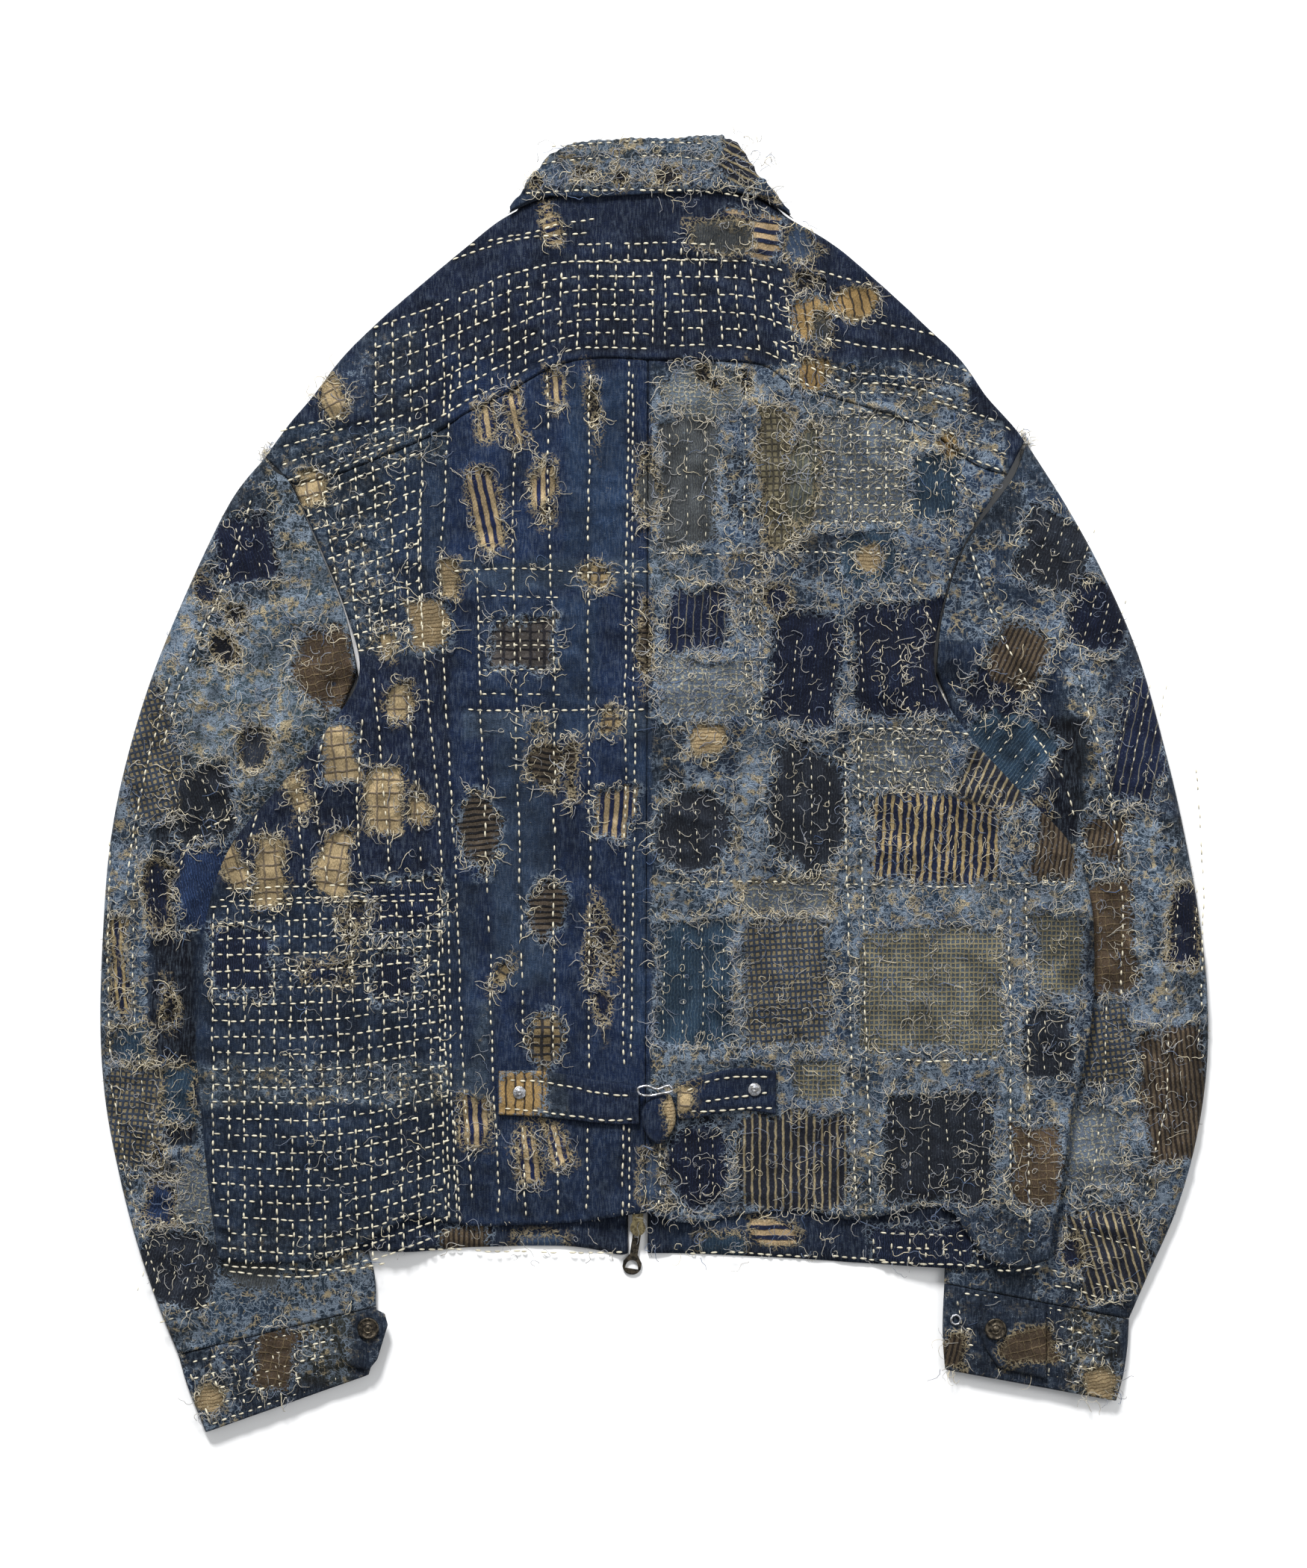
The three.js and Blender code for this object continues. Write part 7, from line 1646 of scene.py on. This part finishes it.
def make_stitches(sizes):
    """Running stitch: each line cut into dashes of a length and a gap that vary, each dash an arched strand."""
    rng = np.random.default_rng(11)
    for group in ("body", "sleeve", "cuff", "front", "collar", "strap"):
        ends, thick = [], []
        for number, (name, kind, points) in enumerate(PATHS):
            if name != group:
                continue
            line = along_path(points, 0.8, number)
            run = np.r_[0, np.cumsum(np.linalg.norm(np.diff(line, axis=0), axis=1))]
            length, gap, radius = STITCH_KINDS[kind]
            stretch = sizes.stitch_length / STITCH_LENGTH
            length, gap = length * stretch, gap * stretch
            pitch = length + gap
            starts = np.arange(rng.uniform(0, pitch), run[-1] - length, pitch)
            starts = starts + rng.uniform(-0.5, 0.5, len(starts))
            own = length * rng.uniform(0.78, 1.16, len(starts))
            keep = rng.random(len(starts)) > (0.06 if kind == "b" else 0.16)
            starts, own = starts[keep], own[keep]
            spots = starts[:, None] + own[:, None] * np.linspace(0, 1, 5)
            place = np.stack([np.interp(spots, run, line[:, k]) for k in (0, 1)], -1)
            place += rng.normal(0, 0.22, (len(starts), 1, 2))
            ends.append(place)
            thick.append(np.full(len(starts), radius * sizes.stitch_thickness / STITCH_WIDTH)
                         * rng.uniform(0.82, 1.15, len(starts)))
        place, thick = np.vstack(ends), np.concatenate(thick)
        x, y = place[..., 0], place[..., 1]
        seen = ~covered(group, x[:, 2], y[:, 2])
        place, thick = place[seen], thick[seen]
        x, y = place[..., 0], place[..., 1]
        arch = np.array([-0.35, 0.35, 0.6, 0.35, -0.35])
        z = outer_face(group, x, y)
        z = np.maximum(z, (z[:, :1] + z[:, -1:]) / 2) + arch * thick[:, None] / 0.7
        radius = thick[:, None] * np.array([0.5, 0.95, 1.05, 0.95, 0.5])
        shades = np.clip(rng.normal(0.72, 0.2, len(place)), 0.1, 1)
        strands("Stitches_" + group.capitalize(), lifted(place, z), radius, 4, MADE["stitch"], shades)


def edge_starts(group, rng, spacing):
    """Places round the group's patches where threads come loose, with the way that each points: outward or along."""
    spots, ways = [], []
    for row in PATCHES:
        if row[0] != group or row[1] == "peach_stripe":
            continue
        _, _, left, right, top, bottom, turn, shape, _ = row
        (x0, y0), (x1, y1) = chart([(left, bottom), (right, top)])
        half = np.array([(x1 - x0) / 2, (y1 - y0) / 2])
        count = max(int(2 * (half.sum() * 2) / spacing), 4)
        angle = rng.uniform(0, 2 * math.pi, count)
        ring = np.stack([np.cos(angle), np.sin(angle)], -1)
        if shape == "rect":
            ring /= np.maximum(np.abs(ring).max(-1, keepdims=True), 1e-6)
        place = ring * half
        way = np.arctan2(place[:, 1], place[:, 0]) + rng.normal(0, 1.0, count)
        turned = math.radians(turn)
        place = place @ np.array([(math.cos(turned), math.sin(turned)), (-math.sin(turned), math.cos(turned))])
        spots.append(place + ((x0 + x1) / 2, (y0 + y1) / 2) + rng.normal(0, 0.9, (count, 2)))
        ways.append(way + turned)
    return np.vstack(spots), np.concatenate(ways)


def loose_threads(name, group, starts, ways, rng, steps, stride, radius, shade):
    """Curly threads: from each start, steps whose direction turns by a random amount that itself drifts, lying on the
    cloth and lifting a little in the middle."""
    count = len(starts)
    drift = rng.normal(0, 0.34, (count, 1)) + rng.normal(0, 0.42, (count, steps))
    angle = ways[:, None] + np.cumsum(drift, axis=1)
    move = rng.uniform(0.7, 1.2, (count, 1)) * stride
    path = np.stack([np.cos(angle) * move, np.sin(angle) * move], -1)
    path = np.concatenate([np.zeros((count, 1, 2)), np.cumsum(path, axis=1)], 1) + starts[:, None]
    x, y = path[..., 0], path[..., 1]
    seen = ~covered(group, x, y).any(1)
    if group == "sleeve":
        seen &= (np.abs(x) < np.where(x < 0, -column(SLEEVE_LEFT, 1, 0, y), column(SLEEVE_RIGHT, 1, 0, y)) - 1).all(1)
    path = path[seen]
    x, y = path[..., 0], path[..., 1]
    share = np.linspace(0, 1, steps + 1)
    lift = rng.uniform(0.2, 1.5, (len(path), 1)) * np.sin(share * math.pi)
    z = np.maximum(outer_face(group, x, y), 0.4) + radius * 0.8 + lift
    thin = radius * rng.uniform(0.6, 1.25, (len(path), 1)) * (1 - 0.45 * share)
    shades = np.clip(rng.normal(shade, 0.24, len(path)), 0, 1)
    return strands(name, lifted(path, z), thin, 3, MADE["thread"], shades)


def make_threads(sizes):
    """Frayed threads at the patches' torn edges, tangled in the worn parts, and past the worn outlines."""
    rng = np.random.default_rng(23)
    for group, spacing in (("body", 3.4), ("sleeve", 2.6), ("cuff", 3.4), ("collar", 3.6)):
        starts, ways = edge_starts(group, rng, spacing / sizes.fray)
        loose_threads("Frayed_Edges_" + group.capitalize(), group, starts, ways, rng, 8, 1.45, 0.31, 0.6)
    boxes = {"body": (-240, 275, -320, 280, 8000), "sleeve": (-368, 368, -340, 210, 8000),
             "cuff": (-316, 312, -428, -335, 700),
             "collar": (-80, 80, 384, 428, 420)}
    for group, (x0, x1, y0, y1, tries) in boxes.items():
        spots = rng.uniform((x0, y0), (x1, y1), (int(tries * sizes.fray), 2))
        _, wear = dye_wear_and_shade(group, spots[:, 0], spots[:, 1])
        inside = np.ones(len(spots), bool)
        if group == "sleeve":
            share = np.where(spots[:, 0] < 0, sleeve_share(SLEEVE_LEFT, spots[:, 0], spots[:, 1]),
                             sleeve_share(SLEEVE_RIGHT, spots[:, 0], spots[:, 1]))
            inside = np.abs(spots[:, 0]) < np.where(spots[:, 0] < 0, np.abs(column(SLEEVE_LEFT, 1, 0, spots[:, 1])),
                                                    column(SLEEVE_RIGHT, 1, 0, spots[:, 1])) - 6
            inside &= (share > 0.01) & (share < 0.985)
        if group == "body":
            inside = outside_body(spots[:, 0], spots[:, 1]) < -4
        if group == "cuff":
            inside = np.zeros(len(spots), bool)
            for rows in (CUFF_LEFT, CUFF_RIGHT):
                part = sleeve_share(rows, spots[:, 0], spots[:, 1])
                low, high = sorted((rows[1][0], rows[1][2]))
                inside |= (part > 0.06) & (part < 0.94) & (spots[:, 0] > low + 6) & (spots[:, 0] < high - 6)
        keep = inside & (rng.random(len(spots)) < np.clip(wear * 1.25 - 0.35, 0, 1))
        spots = spots[keep]
        loose_threads("Tangled_Threads_" + group.capitalize(), group, spots, rng.uniform(0, 6.28, len(spots)), rng, 9,
                      1.5, 0.26, 0.45)
    outlines = []
    for rows, side in ((SLEEVE_LEFT, -1), (SLEEVE_RIGHT, 1)):
        share = np.r_[rng.uniform(0.02, 1, 60), rng.normal(0.5, 0.012, 14),
                      rng.normal(0.68, 0.012, 14)] if side > 0 else rng.uniform(0.02, 1, 70)
        place = spline([row[:2] for row in rows])(share) - (side * 3.5, 0)
        outlines.append(("sleeve", place, (math.pi if side < 0 else 0) + rng.normal(0, 1.1, len(share))))
    hem = np.array([(row[0], row[1]) for row in HEMS], float)
    share = rng.uniform(0.02, 0.98, 260)
    outlines.append(("body", spline(hem)(share) + (0, 4.0), -math.pi / 2 + rng.normal(0, 0.8, 260)))
    for x, y in ((-258.5, 219.5), (246.5, 229.5)):
        outlines.append(("armhole", rng.normal(0, 1, (90, 2)) * (2.6, 3.6) + (x, y), rng.uniform(0, 2 * math.pi, 90)))
    for number, (group, place, way) in enumerate(outlines):
        radius, steps = 0.34, 6
        count = len(place)
        angle = way[:, None] + np.cumsum(rng.normal(0, 0.5, (count, steps)), axis=1)
        stride = rng.uniform(0.35, 1.0, (count, 1))
        path = np.concatenate([np.zeros((count, 1, 2)),
                               np.cumsum(np.stack([np.cos(angle) * stride, np.sin(angle) * stride], -1), axis=1)],
                               1) + place[:, None]
        height = 4.0 if group == "sleeve" else rng.uniform(1.0, 6.5,
                                                           (count, 1)) if group == "armhole" else outer_face("body",
                                                                   place[:, 0], place[:, 1])[:, None] - 0.6
        z = np.broadcast_to(height, path.shape[:2]) + np.linspace(0, 1, steps + 1) * rng.uniform(-2.2, 1.0,
                (count, 1))
        thin = radius * (1 - 0.4 * np.linspace(0, 1, steps + 1)) * np.ones((count, 1))
        strands(f"Loose_Ends_{number + 1}", lifted(path, np.maximum(z, 0.4)), thin, 3, MADE["thread"],
                np.clip(rng.normal(0.5, 0.25, count), 0, 1))


# ---------------------------------------------------------------- metal
def turned_piece(name, profile, place, low, steps=56):
    """A piece of revolution: radius and height pairs from the middle of the underside to the middle of the top, turned
    about the upright line through place."""
    profile = np.array(profile, float)
    inner = profile[1:-1]
    angle = np.arange(steps) * 2 * math.pi / steps
    ring = np.stack([np.cos(angle), np.sin(angle)], -1)
    points = np.concatenate([inner[:, None, :1] * ring[None],
                             np.broadcast_to(inner[:, None, 1:], (len(inner), steps, 1))], -1).reshape(-1, 3)
    points = np.vstack([points, (0, 0, profile[0, 1]), (0, 0, profile[-1, 1])]) + (place[0], place[1], low)
    at = np.arange(len(inner) * steps).reshape(len(inner), steps)
    wrap = np.concatenate([at, at[:, :1]], 1)
    quads = np.stack([wrap[:-1, :-1], wrap[:-1, 1:], wrap[1:, 1:], wrap[1:, :-1]], -1).reshape(-1, 4)
    bottom = np.stack([np.full(steps, len(points) - 2), wrap[0, 1:], wrap[0, :-1]], -1)
    top = np.stack([np.full(steps, len(points) - 1), wrap[-1, :-1], wrap[-1, 1:]], -1)
    return mesh_object(name, points, [quads, np.vstack([bottom, top])])


def make_metal():
    """Rivets and buttons turned anew; the rest of the metal keeps its solid and takes a finish."""
    rivet = [(0, 0), (4.2, 0), (4.4, 0.15), (4.4, 0.6), (4.25, 0.85), (3.9, 0.98), (2.2, 0.98), (2.0, 1.05),
             (1.9, 1.5),
             (1.6, 1.68), (0.9, 1.7), (0.7, 1.55), (0, 1.5)]
    button = [(0, 0), (6.6, 0), (7.1, 0.4), (7.25, 1.0), (7.1, 1.7), (6.8, 2.1), (6.4, 2.28), (6.05, 2.15),
              (5.7, 1.8),
              (3.6, 1.75), (3.3, 2.0), (3.0, 2.25), (2.7, 2.1), (2.45, 1.9), (2.0, 2.1), (1.5, 2.5), (0.8, 2.75),
              (0, 2.8)]
    for kind, places, profile, finish, slot in (("rivet", RIVETS, rivet, "steel", "steel"),
                                                ("cuff_button", BUTTONS, button, "dark", "dark_metal")):
        for label, place in places.items():
            node = f"{kind}_{label}"
            obj = turned_piece(node.title(), profile, place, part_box(node)[0].z * 1000)
            obj.data.materials.append(MADE[finish])
            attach(obj, "jacket")
            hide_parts(node)
    for node in ("cinch_buckle", "cuff_eyelet"):
        carry_finish(node, MADE["steel"])
    carry_finish("zip_slider", MADE["brass"])
    carry_finish("zip_pull", MADE["dark"])
    carry_finish("zip_chain", MADE["chain"])
    for node in ("zip_tape_left", "zip_tape_right"):
        carry_finish(node, MADE["tape"])


# ---------------------------------------------------------------- floor, light and camera
FLOOR_REACH, FLOOR_Z = 6000, -0.4  # millimetres
CAMERA_HEIGHT, VIEW_HEIGHT, SENSOR = 4.0, 1.05, 36.0  # metres, metres, millimetres
# name, place in metres, width in metres, share of the key lamp's strength
LAMPS = (("Key_Lamp", (-1.1, 3.8, 2.7), 1.2, 1.0), ("Side_Lamp", (3.0, 0.6, 2.6), 2.0, 0.16))


def make_stage(light):
    """A pale floor that meets the jacket, a large lamp above the collar's side, a soft all-round light, and a
    camera straight above that takes in 875 by 1050 mm from 4 m."""
    scene = bpy.context.scene
    corners = [(x * FLOOR_REACH, y * FLOOR_REACH, FLOOR_Z) for x, y in ((-1, -1), (1, -1), (1, 1), (-1, 1))]
    floor = mesh_object("Floor", corners, [[(0, 1, 2, 3)]], smooth=False)
    material, w, shader = new_material("Floor Paper", 0.9)
    grain = w.noise(w.place(), 0.05, 2.0)
    w.put(shader.inputs["Base Color"], w.mix(grain, (0.93, 0.93, 0.93, 1), (0.95, 0.95, 0.95, 1)))
    shader.inputs["Specular IOR Level"].default_value = 0.0
    floor.data.materials.append(material)
    world = bpy.data.worlds.new("Studio")
    scene.world = world
    world.use_nodes = True
    world.node_tree.nodes["Background"].inputs["Color"].default_value = (0.96, 0.98, 1.0, 1)
    world.node_tree.nodes["Background"].inputs["Strength"].default_value = light.fill
    for name, place, size, share in LAMPS:
        lamp = bpy.data.lights.new(name, "AREA")
        lamp.shape, lamp.size, lamp.energy = "DISK", size, light.key * share
        obj = bpy.data.objects.new(name, lamp)
        obj.location = place
        obj.rotation_euler = (-Vector(place)).to_track_quat("-Z", "Y").to_euler()
        scene.collection.objects.link(obj)
    camera = bpy.data.cameras.new("Camera")
    camera.sensor_width, camera.lens = SENSOR, SENSOR * CAMERA_HEIGHT / VIEW_HEIGHT
    camera.clip_end = 50
    view = bpy.data.objects.new("Camera", camera)
    view.location = (-0.0005, 0.0003, CAMERA_HEIGHT)
    scene.collection.objects.link(view)
    scene.camera = view
    scene.view_settings.view_transform = "Standard"


# ---------------------------------------------------------------- the add-on
class JacketSizes(bpy.types.PropertyGroup):
    """Sizes that a user would change."""
    stitch_length: bpy.props.FloatProperty(name="Stitch length", description="Length of the boldest running stitch",
                                           default=STITCH_LENGTH, min=0.001, max=0.012, subtype="DISTANCE",
                                           unit="LENGTH")
    stitch_thickness: bpy.props.FloatProperty(name="Stitch thickness",
                                              description="Width of the boldest stitching cotton",
                                              default=STITCH_WIDTH, min=0.0003, max=0.004, subtype="DISTANCE",
                                              unit="LENGTH")
    fray: bpy.props.FloatProperty(name="Fray", description="How many loose threads there are", default=1.0, min=0,
                                  max=2, subtype="FACTOR")


class JacketColours(bpy.types.PropertyGroup):
    """Colours that a user would change."""
    pale: bpy.props.FloatVectorProperty(name="Bare thread", description="Colour of cotton whose dye is worn off",
                                        subtype="COLOR", size=3, default=tuple(rgb(150, 166, 184)))
    cream: bpy.props.FloatVectorProperty(name="Cream thread", description="Colour of undyed cotton", subtype="COLOR",
                                         size=3, default=tuple(rgb(200, 184, 150)))
    stitch: bpy.props.FloatVectorProperty(name="Stitching", description="Colour of the running stitch",
                                          subtype="COLOR", size=3, default=tuple(rgb(226, 218, 194)))


class JacketLight(bpy.types.PropertyGroup):
    """The studio's light."""
    key: bpy.props.FloatProperty(name="Key lamp", description="Strength of the key lamp, in watts", default=345.0,
                                 min=0, subtype="POWER", unit="POWER")
    fill: bpy.props.FloatProperty(name="Fill", description="Strength of the all-round light", default=0.4, min=0,
                                  max=4, subtype="FACTOR")


def make_finishes(colours):
    """Makes every material once."""
    stitch = tuple(colours.stitch)
    MADE.update(cotton=boro_cotton(colours),
                stitch=thread_cotton("Stitching Cotton", np.array(stitch) * 0.4, stitch),
                thread=thread_cotton("Frayed Cotton", rgb(76, 98, 134), rgb(214, 202, 172)),
                steel=worn_metal("Nickel", (188, 190, 196), (120, 118, 116), 0.28),
                dark=worn_metal("Dark Bronze", (92, 84, 72), (40, 38, 36), 0.36),
                brass=worn_metal("Aged Brass", (150, 138, 104), (88, 80, 62), 0.34), chain=chain_metal(),
                tape=zip_tape_cloth())


class JACKET_OT_finishes(bpy.types.Operator):
    """Makes the cotton, thread and metal materials."""
    bl_idname = "jacket.finishes"
    bl_label = "Finishes"

    def execute(self, context):
        make_finishes(context.scene.jacket_colours)
        return {"FINISHED"}


class JACKET_OT_fronts(bpy.types.Operator):
    """Lays the two fronts."""
    bl_idname = "jacket.fronts"
    bl_label = "Fronts"

    def execute(self, context):
        make_fronts()
        return {"FINISHED"}


class JACKET_OT_arms(bpy.types.Operator):
    """Lays the sleeves and cuffs."""
    bl_idname = "jacket.arms"
    bl_label = "Arms"

    def execute(self, context):
        make_arms()
        return {"FINISHED"}


class JACKET_OT_body(bpy.types.Operator):
    """Lays the yoke and the two halves of the back."""
    bl_idname = "jacket.body"
    bl_label = "Body"

    def execute(self, context):
        make_body()
        return {"FINISHED"}


class JACKET_OT_collar(bpy.types.Operator):
    """Folds the collar over."""
    bl_idname = "jacket.collar"
    bl_label = "Collar"

    def execute(self, context):
        make_collar()
        return {"FINISHED"}


class JACKET_OT_cinch(bpy.types.Operator):
    """Lays the waist straps and their loop."""
    bl_idname = "jacket.cinch"
    bl_label = "Cinch"

    def execute(self, context):
        make_cinch()
        return {"FINISHED"}


class JACKET_OT_cuff_tabs(bpy.types.Operator):
    """Lays the cuff tabs."""
    bl_idname = "jacket.cuff_tabs"
    bl_label = "Cuff tabs"

    def execute(self, context):
        make_tabs()
        return {"FINISHED"}


class JACKET_OT_stitches(bpy.types.Operator):
    """Sews the running stitches."""
    bl_idname = "jacket.stitches"
    bl_label = "Stitches"

    def execute(self, context):
        make_stitches(context.scene.jacket_sizes)
        return {"FINISHED"}


class JACKET_OT_threads(bpy.types.Operator):
    """Frays the torn edges."""
    bl_idname = "jacket.threads"
    bl_label = "Threads"

    def execute(self, context):
        make_threads(context.scene.jacket_sizes)
        return {"FINISHED"}


class JACKET_OT_metal(bpy.types.Operator):
    """Turns the rivets and buttons, and finishes the other metal."""
    bl_idname = "jacket.metal"
    bl_label = "Metal"

    def execute(self, context):
        make_metal()
        return {"FINISHED"}


class JACKET_OT_stage(bpy.types.Operator):
    """Sets the floor, the lamps and the camera."""
    bl_idname = "jacket.stage"
    bl_label = "Stage"

    def execute(self, context):
        make_stage(context.scene.jacket_light)
        return {"FINISHED"}


OPERATORS = (JACKET_OT_finishes, JACKET_OT_fronts, JACKET_OT_arms, JACKET_OT_body,
             JACKET_OT_collar, JACKET_OT_cinch, JACKET_OT_cuff_tabs, JACKET_OT_stitches,
             JACKET_OT_threads, JACKET_OT_metal, JACKET_OT_stage)


class JACKET_PT_panel(bpy.types.Panel):
    """Lists the jacket's operators and its sizes, colours and light."""
    bl_idname = "JACKET_PT_panel"
    bl_label = "Patched Jacket"
    bl_space_type = "VIEW_3D"
    bl_region_type = "UI"
    bl_category = "Jacket"

    def draw(self, context):
        for settings in (context.scene.jacket_sizes, context.scene.jacket_colours, context.scene.jacket_light):
            for key in settings.__annotations__:
                self.layout.prop(settings, key)
        for operator in OPERATORS:
            self.layout.operator(operator.bl_idname)


GROUPS = {"jacket_sizes": JacketSizes, "jacket_colours": JacketColours, "jacket_light": JacketLight}


def register():
    """Registers the property groups, the operators and the panel."""
    for group in GROUPS.values():
        bpy.utils.register_class(group)
    for operator in OPERATORS:
        bpy.utils.register_class(operator)
    bpy.utils.register_class(JACKET_PT_panel)
    for key, group in GROUPS.items():
        setattr(bpy.types.Scene, key, bpy.props.PointerProperty(type=group))


def unregister():
    """Takes them away again, the last first."""
    for key in GROUPS:
        delattr(bpy.types.Scene, key)
    bpy.utils.unregister_class(JACKET_PT_panel)
    for operator in reversed(OPERATORS):
        bpy.utils.unregister_class(operator)
    for group in reversed(list(GROUPS.values())):
        bpy.utils.unregister_class(group)


def main():
    """Registers the add-on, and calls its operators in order."""
    register()
    bpy.ops.jacket.finishes()
    bpy.ops.jacket.fronts()
    bpy.ops.jacket.arms()
    bpy.ops.jacket.body()
    bpy.ops.jacket.collar()
    bpy.ops.jacket.cinch()
    bpy.ops.jacket.cuff_tabs()
    bpy.ops.jacket.stitches()
    bpy.ops.jacket.threads()
    bpy.ops.jacket.metal()
    bpy.ops.jacket.stage()


if __name__ == "__main__":
    main()
